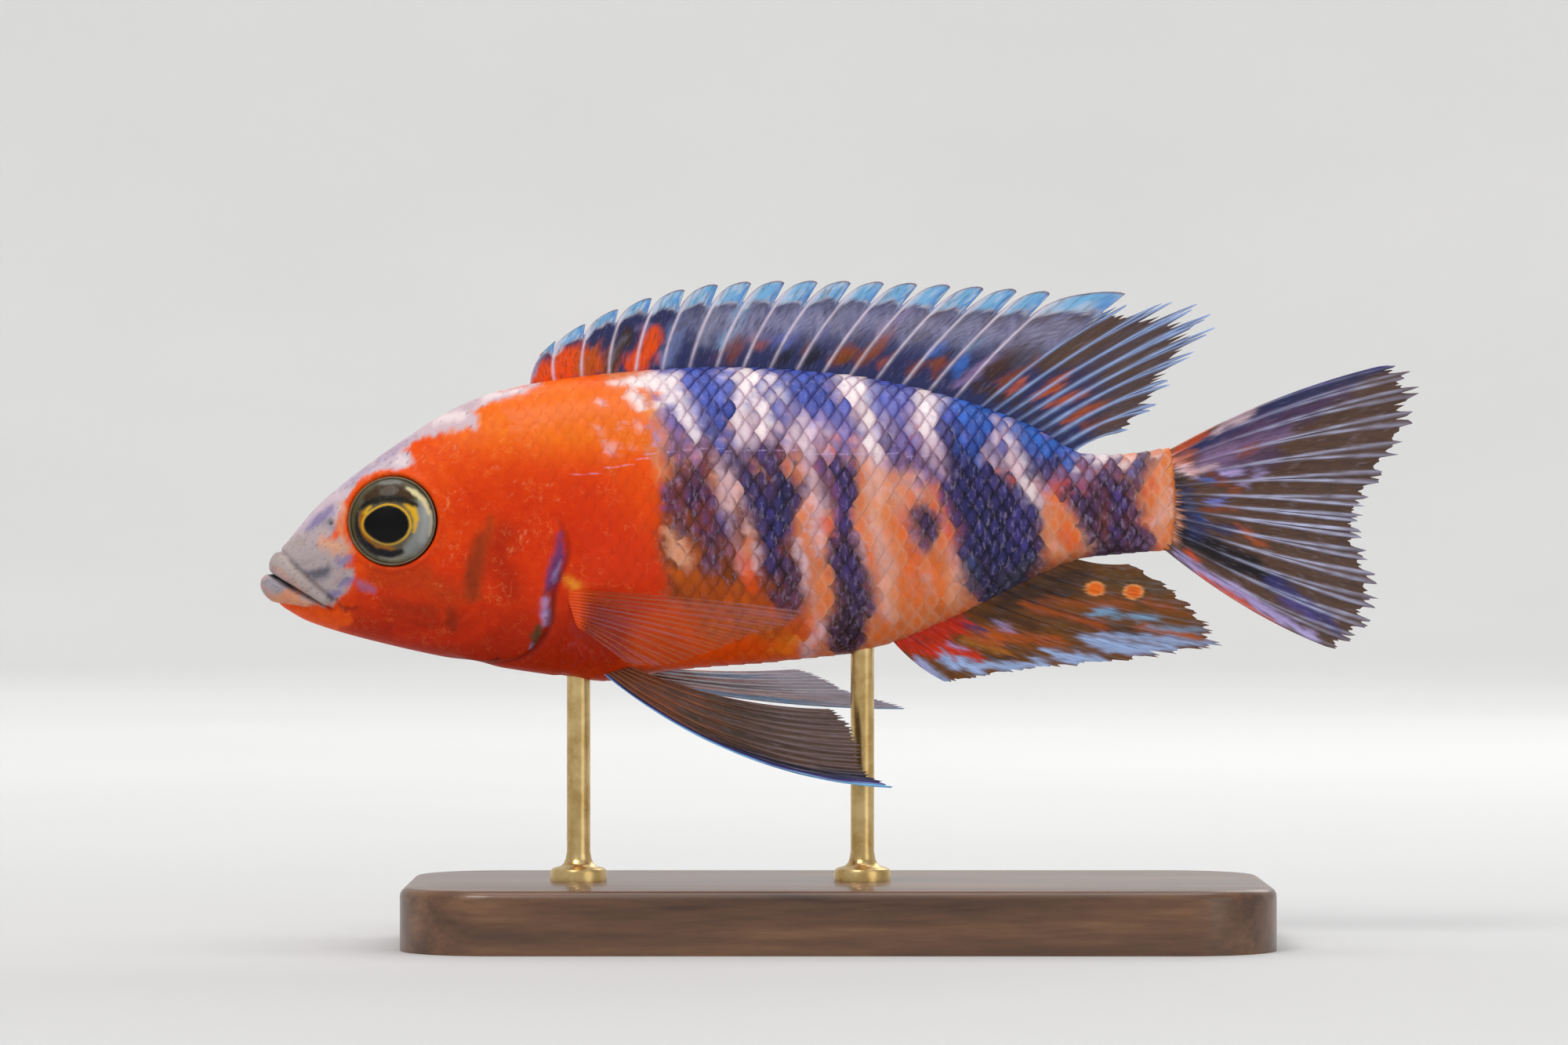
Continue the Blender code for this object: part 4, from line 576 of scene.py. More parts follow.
lipMarks = [
    ("lipGrey", 1, 0.5, [(-71.3, 49.2, 1.17), (-69.5, 47.5, 1), (-67.5, 45.5, 0.82),
                         (-65.1, 43.5, 0.65)]),
    ("peachLip", 0.4, 0.5, [(-71, 47.5, 0.41), (-67.8, 44.9, 0.29)]),
    ("lipGrey", 1, 0.4, [(-72.5, 45.5, 0.76), (-72, 44.5, 0.76), (-71.3, 44, 0.47)]),
    ("slate", 0.45, 0.9, [(-71.3, 46.4, 0.35), (-69.5, 45.2, 0.41), (-67.8, 43.9, 0.29)]),
    ("peachLip", 1, 0.6, [(-71, 44.6, 0.6), (-69.2, 44.2, 0.9), (-67.3, 43.4, 0.5)]),
    ("orange", 1, 0.4, [(-71, 42.9, 0.41), (-67.8, 42, 0.88), (-64.8, 41.4, 1.17), (-62.5, 41.4, 1)]),
]
dorsalMarks = [
    ("orange", 1, 0.8, [(-39.0, 70.6, 1.5), (-36.4, 72.6, 2.2), (-33.6, 73.6, 2.0), (-31.4, 73.2, 1.6)]),
    ("ember", 0.8, 0.8, [(-29.6, 72.8, 1.4), (-28.6, 75.0, 1.0)]),
    ("skyBlue", 0.95, 0.4, [(-39.6, 71.4, 0.4), (-38.6, 74.4, 0.5), (-37.2, 76.2, 0.5)]),
    ("orange", 1, 0.6, [(-38.2, 71.4, 0.5), (-37.0, 73.4, 0.9)]),
    ("orange", 1, 0.5, [(-37.8, 71.9, 0.56), (-36.5, 72.8, 0.87)]),
    ("orange", 1, 0.5, [(-35.4, 71.8, 1.2), (-34.7, 74.2, 1.2), (-34.3, 75.6, 0.5)]),
    ("ember", 1, 0.6, [(-32.4, 72.6, 1.2), (-31.8, 74.6, 1.2), (-31.1, 76.0, 0.6)]),
    ("azure", 0.9, 0.6, [(-36.3, 76.0, 0.3), (-33.8, 77.2, 0.4), (-31.2, 78.0, 0.5)]),
    ("orange", 0.6, 0.7, [(-32.2, 75.4, 0.52), (-32.4, 76.7, 0.39)]),
    ("navy", 1, 0.6, [(-31.8, 77.3, 0.56), (-30.3, 78, 0.74), (-31.1, 76.5, 0.56)]),
    ("umber", 0.95, 0.6, [(-29.2, 73.2, 0.78), (-28.1, 75.4, 0.95), (-27, 77.3, 0.87)]),
    ("slate", 0.45, 0.6, [(-28.5, 75, 0.52), (-27.7, 76.7, 0.52)]),
    ("orange", 1, 0.6, [(-25.9, 73.4, 1.3), (-24.4, 75.8, 1.25), (-23.1, 78.4, 0.9)]),
    ("mauve", 0.6, 0.5, [(-24.8, 78.4, 0.48), (-24, 79.3, 0.39)]),
    ("periwinkleGrey", 1, 0.6, [(-21.8, 74.1, 0.95), (-20.9, 77.1, 1.13), (-19.4, 79.7, 1)]),
    ("umber", 0.5, 0.6, [(-19.9, 78.6, 0.65), (-19, 80.2, 0.56)]),
    ("orange", 0.6, 0.3, [(-22.7, 73.7, 0.22), (-22.5, 75, 0.26)]),
    ("navy", 1, 0.6, [(-18.1, 74.1, 1.3), (-17.5, 76.3, 1.08)]),
    ("slate", 0.9, 0.7, [(-17, 77.6, 0.95), (-15.7, 80.6, 0.87)]),
    ("slateDark", 0.6, 0.7, [(-16.6, 78.4, 0.65), (-15.3, 80.8, 0.43)]),
    ("plum", 0.8, 0.6, [(-15.3, 74.5, 0.87), (-14.9, 75.8, 0.65)]),
    ("skyGrey", 1, 0.6, [(-14.4, 76.7, 0.74), (-13.1, 78.9, 1.04), (-11.8, 81, 0.74)]),
    ("rust", 0.7, 0.6, [(-14.2, 75.6, 0.56), (-12.5, 77.1, 0.74), (-13.3, 74.5, 0.52)]),
    ("navy", 1, 0.6, [(-11, 74.5, 0.52), (-10.5, 75.8, 0.65)]),
    ("indigo", 0.9, 0.6, [(-9.4, 77.6, 0.87), (-8.4, 79.7, 1.08), (-7.3, 81, 0.65)]),
    ("ember", 0.55, 0.5, [(-10.7, 77.1, 0.65), (-9.9, 76, 0.52), (-9, 76.7, 0.43)]),
    ("periwinkle", 0.7, 0.6, [(-7.9, 76.7, 0.65), (-6.6, 78, 0.56)]),
    ("night", 0.7, 0.6, [(-7.3, 74.3, 1.08), (-6.4, 75.6, 0.87)]),
    ("periwinkle", 0.8, 0.6, [(-6.4, 76.9, 0.89), (-5.5, 78.2, 0.67)]),
    ("periwinkleGrey", 0.85, 0.6, [(-4.8, 79.5, 0.98), (-3.5, 80.7, 0.76)]),
    ("rust", 0.7, 0.4, [(-4.8, 74.4, 0.31), (-3.9, 75.5, 0.36)]),
    ("night", 0.8, 0.6, [(-4.3, 73.7, 0.58), (-2.8, 75.1, 0.8)]),
    ("periwinkle", 0.6, 0.6, [(-2.8, 76.9, 0.45), (-1.7, 78, 0.45)]),
    ("slateDark", 0.8, 0.7, [(-0.6, 78.9, 0.8), (0.6, 80.4, 0.76)]),
    ("rust", 1, 0.6, [(-0.3, 74.6, 0.76), (0.8, 75.3, 0.98), (2.1, 76, 0.76)]),
    ("ochre", 0.7, 0.5, [(0.8, 74.6, 0.54), (1.9, 75.1, 0.54)]),
    ("umber", 0.7, 0.7, [(2.6, 78, 0.67), (3.2, 79.1, 0.58)]),
    ("indigo", 0.9, 0.6, [(3.7, 79.8, 0.76), (5.3, 80.9, 0.76)]),
    ("rust", 0.95, 0.6, [(3, 74.2, 0.76), (4.4, 75.5, 0.89), (5.5, 76.4, 0.58)]),
    ("ember", 0.55, 0.6, [(5.7, 77.3, 0.89), (6.6, 78.4, 0.8)]),
    ("mauve", 0.8, 0.6, [(7.7, 79.3, 0.76), (9, 80.4, 0.67)]),
    ("ember", 0.6, 0.4, [(5.7, 73.7, 0.49), (6.6, 74.4, 0.4)]),
    ("navy", 1, 0.6, [(7, 73.3, 0.89), (8.4, 75.1, 0.98), (9.7, 76.4, 0.76)]),
    ("umber", 0.95, 0.7, [(10.2, 78, 0.98), (12.4, 80, 1.12), (13.5, 80.4, 0.54)]),
    ("rust", 0.7, 0.5, [(9.7, 73.1, 0.58), (10.8, 74, 0.54)]),
    ("azure", 0.8, 0.5, [(12.4, 75.3, 0.67), (13.3, 76.4, 0.54)]),
    ("slateDark", 0.9, 0.7, [(14.4, 76.9, 0.76), (15.7, 78.4, 0.98), (17.1, 79.8, 0.76)]),
    ("rust", 0.85, 0.5, [(12.2, 73.3, 0.76), (13.7, 74, 0.58)]),
    ("azure", 0.95, 0.5, [(15.3, 73.3, 0.67), (16.4, 74.4, 0.67)]),
    ("skyGrey", 0.7, 0.6, [(16.9, 76, 0.58), (18.2, 76.9, 0.54)]),
    ("umber", 0.95, 0.7, [(19.1, 78.4, 0.98), (20.9, 79.8, 0.89)]),
    ("slate", 0.5, 0.6, [(19.5, 76.9, 0.54), (20.7, 78, 0.45)]),
    ("mauve", 0.8, 0.6, [(15.7, 71.5, 0.67), (17.8, 72.9, 0.76), (19.5, 74.4, 0.54)]),
    ("umber", 1, 0.7, [(21.8, 76.4, 0.98), (24.4, 78.9, 0.98), (26.7, 80, 0.76)]),
    ("rust", 0.6, 0.6, [(19.8, 73.3, 0.45), (22.9, 76.2, 0.45)]),
    ("umber", 0.9, 0.7, [(19.4, 72.5, 1.05), (23.1, 75.5, 1.26), (27.1, 78, 1.26), (30.9, 79.7, 0.84)]),
    ("slateDark", 0.5, 0.7, [(23.1, 73.8, 0.84), (26.3, 75.9, 1.05)]),
    ("smoke", 0.9, 0.8, [(26.7, 73.8, 1.26), (30.9, 75.9, 1.26), (35.1, 78.8, 1.26), (39.4, 80.3, 0.84)]),
    ("rust", 0.9, 0.5, [(20.8, 71.3, 0.42), (22.5, 72.3, 0.42), (25.5, 75, 0.29)]),
    ("tangerine", 0.6, 0.4, [(21.9, 70.6, 0.29), (24.2, 71.7, 0.34)]),
    ("ember", 0.95, 0.5, [(25.2, 69.8, 0.42), (28, 71.3, 0.55), (29.7, 72.3, 0.34)]),
    ("ember", 0.95, 0.5, [(27.1, 68.7, 0.34), (30.1, 69.8, 0.55), (31.8, 70.6, 0.34)]),
    ("ember", 0.9, 0.5, [(29.2, 66.6, 0.42), (32.2, 68.1, 0.55), (34.3, 68.9, 0.34)]),
    ("rust", 0.8, 0.5, [(30.9, 65.8, 0.29), (35.1, 66.8, 0.42), (37.2, 67.5, 0.29)]),
    ("smoke", 0.8, 0.7, [(35.1, 72.5, 1.05), (40.4, 75, 1.05), (44.6, 77.4, 0.84)]),
    ("smoke", 0.8, 0.7, [(37.2, 69.6, 0.84), (42.5, 72.5, 0.84)]),
    ("umber", 0.95, 0.5, [(17.5, 70.6, 0.84), (21.5, 69.6, 0.72), (25, 67.5, 0.55), (28, 65.4, 0.46)]),
    ("navy", 0.8, 0.4, [(17, 69.6, 0.29), (22.5, 68.3, 0.34), (26.3, 66.4, 0.29)]),
]
caudalMarks = [
    ("mauve", 0.7, 1.7, [(46.9, 61.6, 1.4), (52.5, 63.8, 1.68), (56.5, 65.5, 1.12)]),
    ("plum", 0.6, 1.7, [(48.6, 59.9, 1.4), (55.3, 62.1, 1.12)]),
    ("navy", 1, 0.7, [(44.4, 62.1, 0.56), (46.9, 63.5, 0.84), (50.8, 66.2, 0.95), (55.1, 68.3, 0.84),
                      (58.1, 69.9, 0.67)]),
    ("plum", 0.8, 1.4, [(50.8, 64.6, 1.2), (57.5, 67.4, 1.5), (64.9, 70.6, 1.2)]),
    ("navy", 0.9, 0.9, [(55.9, 68.4, 1.0), (61.5, 71.0, 1.1), (67.1, 73.0, 0.9), (70.5, 73.7, 0.5)]),
    ("violet", 0.7, 0.6, [(58.9, 70.9, 0.3), (64.5, 73.0, 0.3), (70.5, 74.0, 0.28)]),
    ("blush", 0.85, 0.5, [(48, 65, 0.34), (50.8, 66.9, 0.39), (53.1, 68, 0.22)]),
    ("peach", 0.9, 0.3, [(42.4, 63, 0.2), (46.9, 65.7, 0.2), (50.8, 67.7, 0.17), (55.1, 69.4, 0.14)]),
    ("salmonRed", 0.8, 0.4, [(43, 62.7, 0.39), (45.2, 64.1, 0.45), (46.9, 65, 0.34)]),
    ("blush", 0.95, 0.5, [(42.7, 61.6, 0.56), (44, 60.5, 0.73), (45.1, 59.5, 0.39)]),
    ("salmonRed", 0.8, 0.4, [(44.4, 61, 0.28), (45.2, 60.2, 0.28)]),
    ("night", 1, 0.6, [(43, 59.1, 0.34), (43.8, 56, 0.9), (43.5, 53.4, 1.07), (45.2, 52, 1.29)]),
    ("slate", 0.8, 0.3, [(44.1, 57.2, 0.17), (45, 56.3, 0.2), (45.8, 55, 0.17)]),
    ("azure", 0.95, 0.4, [(45.8, 54.3, 0.34), (46.2, 54, 0.34)]),
    ("azure", 0.8, 0.4, [(45.2, 59.1, 0.2), (46.9, 58.8, 0.22)]),
    ("lilac", 0.95, 0.4, [(48.9, 60.1, 0.56), (50.6, 60.3, 0.56)]),
    ("lilacBlue", 1, 0.4, [(47.9, 56.3, 0.51), (49.2, 56.3, 0.51)]),
    ("lilac", 0.6, 0.5, [(52, 58.5, 0.51), (53.6, 60.5, 0.51)]),
    ("rust", 0.9, 0.6, [(51.4, 62.4, 0.51), (52.8, 63, 0.56)]),
    ("rust", 0.9, 0.5, [(46.9, 59.9, 0.34), (48.6, 58.8, 0.34), (50.8, 57.7, 0.45)]),
    ("rust", 0.95, 0.5, [(47.2, 55.4, 0.28), (50.8, 55.3, 0.34)]),
    ("ember", 0.8, 0.4, [(50.8, 53.2, 0.34), (53.4, 51.2, 0.34), (54.8, 50.8, 0.22)]),
    ("navy", 0.9, 0.5, [(46.9, 53.2, 0.45), (50.8, 52.6, 0.51)]),
    ("night", 0.95, 0.7, [(45.2, 51.6, 1.12), (48.6, 49.9, 1.52), (52.5, 48.1, 1.35),
                          (55.6, 46.2, 1.12)]),
    ("indigo", 0.9, 0.7, [(55.6, 46.2, 1.01), (58.4, 43.9, 0.95), (61.8, 41.7, 0.79), (64, 39.7, 0.39)]),
    ("violet", 0.6, 0.6, [(56.5, 43.9, 0.39), (60.7, 41.7, 0.39)]),
    ("lilac", 0.95, 0.4, [(43.3, 49.7, 0.28), (46.4, 47.5, 0.39), (49.4, 45.8, 0.56), (52.5, 44, 0.62),
                          (56.5, 41.4, 0.62), (60.7, 39.1, 0.56)]),
    ("salmonRed", 0.95, 0.4, [(44.7, 49.9, 0.34), (45.5, 49, 0.28)]),
    ("salmonRed", 0.95, 0.4, [(45.2, 47.5, 0.28), (47.8, 45.9, 0.28), (49.7, 44.6, 0.34),
                              (52.1, 43, 0.39), (55.1, 40.9, 0.34), (56.5, 39.9, 0.22)]),
    ("salmon", 0.75, 0.9, [(42.6, 61.4, 0.8), (44.2, 61.8, 0.5), (45.6, 62.8, 0.25)]),
    ("peach", 0.8, 0.5, [(42.8, 57.4, 0.5), (43.0, 54.0, 0.5), (43.0, 51.4, 0.5)]),
    ("blush", 0.7, 0.5, [(44.0, 60.6, 0.3), (46.2, 60.4, 0.3), (48.0, 60.9, 0.2)]),
    ("navy", 0.8, 0.8, [(44.6, 57.6, 0.6), (45.2, 54.6, 1.0), (46.0, 52.4, 0.9)]),
]
analMarks = [
    ("ochre", 1, 1.8, [(21.6, 40.6, 1.76), (28.7, 39.2, 1.76), (35.7, 38.6, 1.47)]),
    ("umber", 0.95, 1.5, [(21.6, 43.6, 1.47), (27.5, 45, 1.76), (31.6, 46.8, 1.17)]),
    ("ochre", 0.95, 1.2, [(36.9, 42.7, 1), (41.9, 42.1, 0.88), (45.7, 41.8, 0.76)]),
    ("olive", 0.45, 1.2, [(34.5, 46.5, 1.17), (41.9, 45.3, 1.17)]),
    ("umber", 0.8, 0.7, [(25.7, 42.4, 0.59), (31.6, 40.9, 0.7), (38.9, 39.2, 0.7)]),
    ("ember", 0.8, 0.8, [(24, 43, 0.29), (30.1, 41.5, 0.41), (34.5, 40.3, 0.35)]),
    ("ember", 0.85, 0.7, [(39.2, 40.2, 0.35), (44.5, 39.2, 0.41), (46.3, 39, 0.29)]),
    ("vermilion", 1, 0.8, [(7, 38, 0.41), (9.6, 38.9, 1.17), (12.8, 40.3, 1.64), (15.8, 40.9, 1.17)]),
    ("vermilion", 0.95, 0.8, [(9.9, 37.4, 0.88), (13.7, 37.7, 1.06), (17.5, 36.5, 0.59)]),
    ("ember", 0.7, 0.9, [(16.9, 39.7, 0.88), (20.5, 38.6, 0.88)]),
    ("indigo", 0.85, 0.6, [(16.3, 40.5, 0.47), (18.1, 40, 0.41)]),
    ("lilac", 0.95, 0.4, [(20.2, 40.8, 0.23), (21.6, 40.2, 0.35), (22.5, 39.7, 0.21)]),
    ("lilac", 0.9, 0.4, [(14, 38.3, 0.23), (15.8, 37.7, 0.23)]),
    ("umber", 0.8, 0.7, [(19.9, 41.5, 0.65), (23.4, 41.2, 0.7), (25.7, 40, 0.59)]),
    ("night", 0.7, 0.5, [(19.3, 36.5, 0.29), (22.5, 36.1, 0.23)]),
    ("skyGrey", 1, 0.5, [(32.6, 41.9, 0.41), (34.1, 42.4, 0.65), (35.7, 41.8, 0.41)]),
    ("skyGrey", 0.95, 0.5, [(36.9, 41.6, 0.35), (38.9, 41.4, 0.47), (40.4, 41.5, 0.29)]),
    ("skyGrey", 0.8, 0.5, [(39.8, 40.2, 0.23), (43.3, 40, 0.35), (46.3, 40, 0.23)]),
    ("iceBlue", 1, 0.5, [(9.9, 35.9, 0.41), (11.7, 34.8, 0.65), (14, 33.4, 0.29)]),
    ("lilac", 0.7, 0.4, [(10.2, 35.9, 0.23), (12.2, 34.5, 0.29)]),
    ("iceBlue", 1, 0.5, [(13.1, 36.5, 0.41), (15.2, 35.6, 0.76), (19, 34.8, 0.59)]),
    ("iceBlue", 1, 0.5, [(18.4, 35.9, 0.35), (21.6, 35.2, 0.53), (24, 35.6, 0.59), (26.3, 35.6, 0.53)]),
    ("iceBlue", 1, 0.5, [(27.2, 37, 0.41), (29.3, 36.5, 0.76), (31.6, 36.2, 0.7), (34.5, 35.8, 0.23)]),
    ("iceBlue", 1, 0.5, [(31.6, 38.7, 0.47), (34.5, 38, 0.76), (37.5, 37.5, 0.7), (43.3, 37.7, 0.41)]),
    ("iceBlue", 0.95, 0.4, [(33.7, 39.4, 0.29), (37.5, 39, 0.35), (43.3, 38.4, 0.35),
                            (49.2, 38.1, 0.18)]),
    ("ember", 0.7, 0.9, [(19.4, 39.4, 0.6), (24.6, 38.6, 0.7), (29.0, 38.4, 0.5)]),
    ("ember", 0.5, 0.9, [(26.4, 43.6, 0.4), (32.0, 43.2, 0.4), (37.6, 43.4, 0.3)]),
    ("ember", 0.5, 0.9, [(40.4, 43.4, 0.5), (44.2, 42.4, 0.4)]),
    ("amber", 0.3, 0.8, [(16.2, 38.6, 0.3), (20.4, 37.6, 0.3)]),
]


def bodyPaint(x, z, side, marks):
    # side is -1 on the left and 1 on the right, where the marks are shaken further from their places
    seed = 11 if side < 0 else 71
    shake = 0.0 if side < 0 else 1.3
    warpX, warpZ = x, z
    for size, amount in ((4.4, 0.2), (1.6, 0.14), (0.7, 0.12)):
        warpX = warpX + amount * ripple(x, z * 0.6, size, seed + size)
        warpZ = warpZ + amount * ripple(x, z * 0.6, size, seed + size + 20)
    warpX = warpX + shake * ripple(x, z, 26, seed + 4)
    warpZ = warpZ + shake * ripple(x, z, 22, seed + 5)
    paint = np.tile(palette["salmon"], (len(x), 1))
    for group in (groundMarks, *marks):
        paintOn(warpX, warpZ, paint, group, 0.3)
    return paint


# Body shape
bodyShape = {
    "backLine": [(-70.7, 50.5), (-65.8, 56.2), (-56.8, 63.2), (-47.8, 68.7), (-38.9, 71.5), (-20.8, 73.4),
                 (-8, 73.3), (4, 72.1), (15.2, 69.5), (25, 65.9), (30.2, 62.9), (35.5, 62.4), (42.6, 63.3)],
    "bellyLine": [(-72, 43.7), (-67.3, 41), (-57.3, 38.1), (-44.8, 35.5), (-35, 34), (-29.4, 33.3),
                  (-20.8, 34.7), (-4.8, 36.1), (5, 37.6), (15.2, 41.7), (25.2, 46.6), (30.2, 48.7),
                  (36, 49.5), (42.6, 50)],
    "halfWidth": [(-71, 3.2), (-69.8, 4.05), (-68, 4.75), (-64, 5.7), (-57, 6.9), (-45, 8.2), (-30, 8.9),
                  (-18, 8.9), (0, 7.4), (15, 5.5), (30, 3.2), (42.5, 1.5)],
    "noseStation": -71.0, "noseLength": 1.1, "noseEdge": 60,
    "tailStation": 42.2, "tailRounding": 1.0,
    "lean": 0.8, "leanEnd": -52.0,
    "topFullness": 0.74, "bellyFullness": 0.88,
    "ringSteps": [(-58.0, 0.2), (-33.0, 0.28), (42.2, 0.8)],        # to this station, this far apart
    "noseRings": 24, "tailRings": 7,
    "half": 140,                                                    # faces round half the body
}


def ringList():
    # station, size and shift of every ring from the nose to the tail
    shape = bodyShape
    rings = []
    edge = math.radians(shape["noseEdge"])
    for index in range(shape["noseRings"]):
        angle = edge * (index + 1) / (shape["noseRings"] + 1)
        ahead = (math.cos(angle) - math.cos(edge)) / (1 - math.cos(edge))
        rings.append((shape["noseStation"], math.sin(angle) / math.sin(edge), -shape["noseLength"] * ahead))
    place = shape["noseStation"]
    rings.append((place, 1.0, 0.0))
    for end, step in shape["ringSteps"]:
        count = round((end - place) / step)
        rings += [(place + (end - place) * (index + 1) / count, 1.0, 0.0) for index in range(count)]
        place = end
    for index in range(shape["tailRings"]):
        angle = math.pi / 2 * (1 - (index + 1) / (shape["tailRings"] + 1))
        rings.append((place, math.sin(angle), shape["tailRounding"] * math.cos(angle)))
    return np.array(rings)


def sectionPoints(station, size, shift, angle):
    # points round one side of the body, from the back at angle 0 to the belly at pi
    shape = bodyShape
    share = np.clip((shape["leanEnd"] - station) / (shape["leanEnd"] - shape["noseStation"]), 0, 1)
    topX, lowX = station + shape["lean"] * share, station - shape["lean"] * share
    topZ, lowZ = alongLine(shape["backLine"], topX), alongLine(shape["bellyLine"], lowX)
    cosine, sine = np.cos(angle), np.abs(np.sin(angle))
    fullness = np.where(cosine > 0, shape["topFullness"], shape["bellyFullness"])
    x = (topX + lowX) / 2 + shift + size * (topX - lowX) / 2 * cosine
    y = size * alongLine(shape["halfWidth"], station) * sine ** fullness
    z = (topZ + lowZ) / 2 + size * (topZ - lowZ) / 2 * cosine
    return np.stack(np.broadcast_arrays(x, y, z), axis=-1)


def buildSurface():
    # table of the right side: evenly spaced points from back to belly on every ring, with normals
    rings = ringList()
    half = bodyShape["half"]
    fine = np.linspace(0, math.pi, 721)
    points = np.empty((len(rings), half + 1, 3))
    arcUp, arcDown = np.empty(len(rings)), np.empty(len(rings))
    for index, (station, size, shift) in enumerate(rings):
        ring = sectionPoints(np.array(station), size, shift, fine)
        length = np.concatenate([[0], np.cumsum(np.linalg.norm(np.diff(ring, axis=0), axis=1))])
        even = np.linspace(0, length[-1], half + 1)
        points[index] = np.stack([np.interp(even, length, ring[:, axis]) for axis in range(3)], axis=1)
        arcUp[index] = np.interp(math.pi / 2, fine, length)
        arcDown[index] = length[-1] - arcUp[index]
    mirrored = points[:, 1:-1][:, ::-1] * (1, -1, 1)
    loop = np.concatenate([points, mirrored], axis=1)
    round_ = np.roll(loop, -1, axis=1) - np.roll(loop, 1, axis=1)
    lengthways = np.gradient(loop, axis=0)
    normals = np.cross(lengthways, round_)[:, :half + 1]
    normals /= np.linalg.norm(normals, axis=2, keepdims=True)
    middle = sectionPoints(rings[:, 0], rings[:, 1], rings[:, 2], math.pi / 2)
    along = np.concatenate([[0], np.cumsum(np.linalg.norm(np.diff(middle, axis=0), axis=1))])
    return {"points": points, "normals": normals, "up": arcUp, "down": arcDown, "along": along,
            "middleX": middle[:, 0]}


surface = buildSurface()


def onSurface(along, above):
    # point, normal and share round the side, at a length along the body and above its middle line
    ring = np.interp(along, surface["along"], np.arange(len(surface["along"])))
    up, down = (np.interp(along, surface["along"], surface[name]) for name in ("up", "down"))
    share = (up - above) / (up + down)
    column = np.clip(share, 0, 1) * bodyShape["half"]
    row0 = np.minimum(ring.astype(int), len(surface["along"]) - 2)
    column0 = np.minimum(column.astype(int), bodyShape["half"] - 1)
    s, t = (ring - row0)[..., None], (column - column0)[..., None]
    found = []
    for table in (surface["points"], surface["normals"]):
        near = table[row0, column0] * (1 - t) + table[row0, column0 + 1] * t
        far = table[row0 + 1, column0] * (1 - t) + table[row0 + 1, column0 + 1] * t
        found.append(near * (1 - s) + far * s)
    return found[0], found[1], share


# Relief of the skin: lips, nostrils, eye sockets, gill covers and pores, seen from the side
reliefShape = {
    "mouthFront": (-71.8, 47.0), "mouthSlope": (0.866, -0.5), "mouthLength": 9.0,
    "upperLip": {"width": [(0, 2.8), (3.9, 1.85), (7.8, 1.05)], "length": 8.7, "height": 0.62, "pout": 0.0},
    "lowerLip": {"width": [(0, 2.45), (1.9, 2.7), (6.2, 1.0)], "length": 7.0, "height": 0.66, "pout": 0.62},
    "poutLength": 2.6, "cleftDepth": 0.6, "cleftWidth": 0.13, "cleftWiden": 0.1, "cleftMiddle": 3.6,
    "nostril": (-64.3, 53.6), "nostrilDepth": 0.4, "nostrilWidth": 0.28,
    "eyeMiddle": (-56.3, 53.8), "socketDepth": 2.6, "socketRadius": 4.7, "lidRadius": 6.1, "lidHeight": 0.3,
    "gillEdge": [(-47.5, 57.6), (-44.2, 58.1), (-40.6, 57.6), (-36.8, 55.3), (-34.8, 52.2), (-34.4, 49.2),
                 (-35.6, 46.4), (-36.2, 43.9), (-36.6, 41.4), (-37.8, 38.8), (-40.6, 36.6), (-45.2, 36.1),
                 (-51.0, 37.3)],
    "gillProud": 0.34, "gillRamp": 3.2, "slotDepth": 0.3, "slotWidth": 0.35, "gillTop": (55.5, 51.5),
    "cheekGroove": [(-49.0, 60.0), (-45.8, 55.0), (-45.2, 48.0), (-46.4, 42.8), (-51.0, 40.2), (-57.0, 41.6)],
    "grooveDepth": 0.14, "grooveWidth": 0.4,
    "pores": [(-61.6, 47.4), (-58.6, 46.0), (-55.4, 45.6), (-52.2, 46.4), (-49.8, 48.4), (-48.6, 41.6),
              (-52.2, 39.9), (-56.6, 40.1), (-60.6, 41.0), (-46.0, 45.4), (-66.4, 50.4), (-63.4, 57.6),
              (-67.6, 52.2), (-59.0, 61.2), (-54.0, 64.6)],
    "poreDepth": 0.16, "poreRadius": 0.42,
    "inset": 0.16,                                                  # skin under the scales
}


def mouthPlace(x, z):
    frontX, frontZ = reliefShape["mouthFront"]
    cosine, sine = reliefShape["mouthSlope"]
    return (x - frontX) * cosine + (z - frontZ) * sine, (z - frontZ) * cosine - (x - frontX) * sine


def pathDistance(x, z, path, spans=60):
    # distance to a smooth path, positive on its left as it is followed
    corners = alongPath([(px, 0, pz) for px, pz in path], np.linspace(0, 1, spans + 1))[:, [0, 2]]
    nearest = np.full(x.shape, 1e9)
    signed = np.zeros(x.shape)
    for (x0, z0), (x1, z1) in zip(corners, corners[1:]):
        dx, dz = x1 - x0, z1 - z0
        t = np.clip(((x - x0) * dx + (z - z0) * dz) / (dx * dx + dz * dz), 0, 1)
        gapX, gapZ = x - x0 - t * dx, z - z0 - t * dz
        gap = np.hypot(gapX, gapZ)
        closer = gap < nearest
        nearest = np.where(closer, gap, nearest)
        signed = np.where(closer, np.sign(dx * gapZ - dz * gapX) * gap, signed)
    return signed


def cleftHalf(s):
    # half the gap between the lips, widest half way along the mouth
    return reliefShape["cleftWidth"] + reliefShape["cleftWiden"] * bump(s - reliefShape["cleftMiddle"], 2.2)


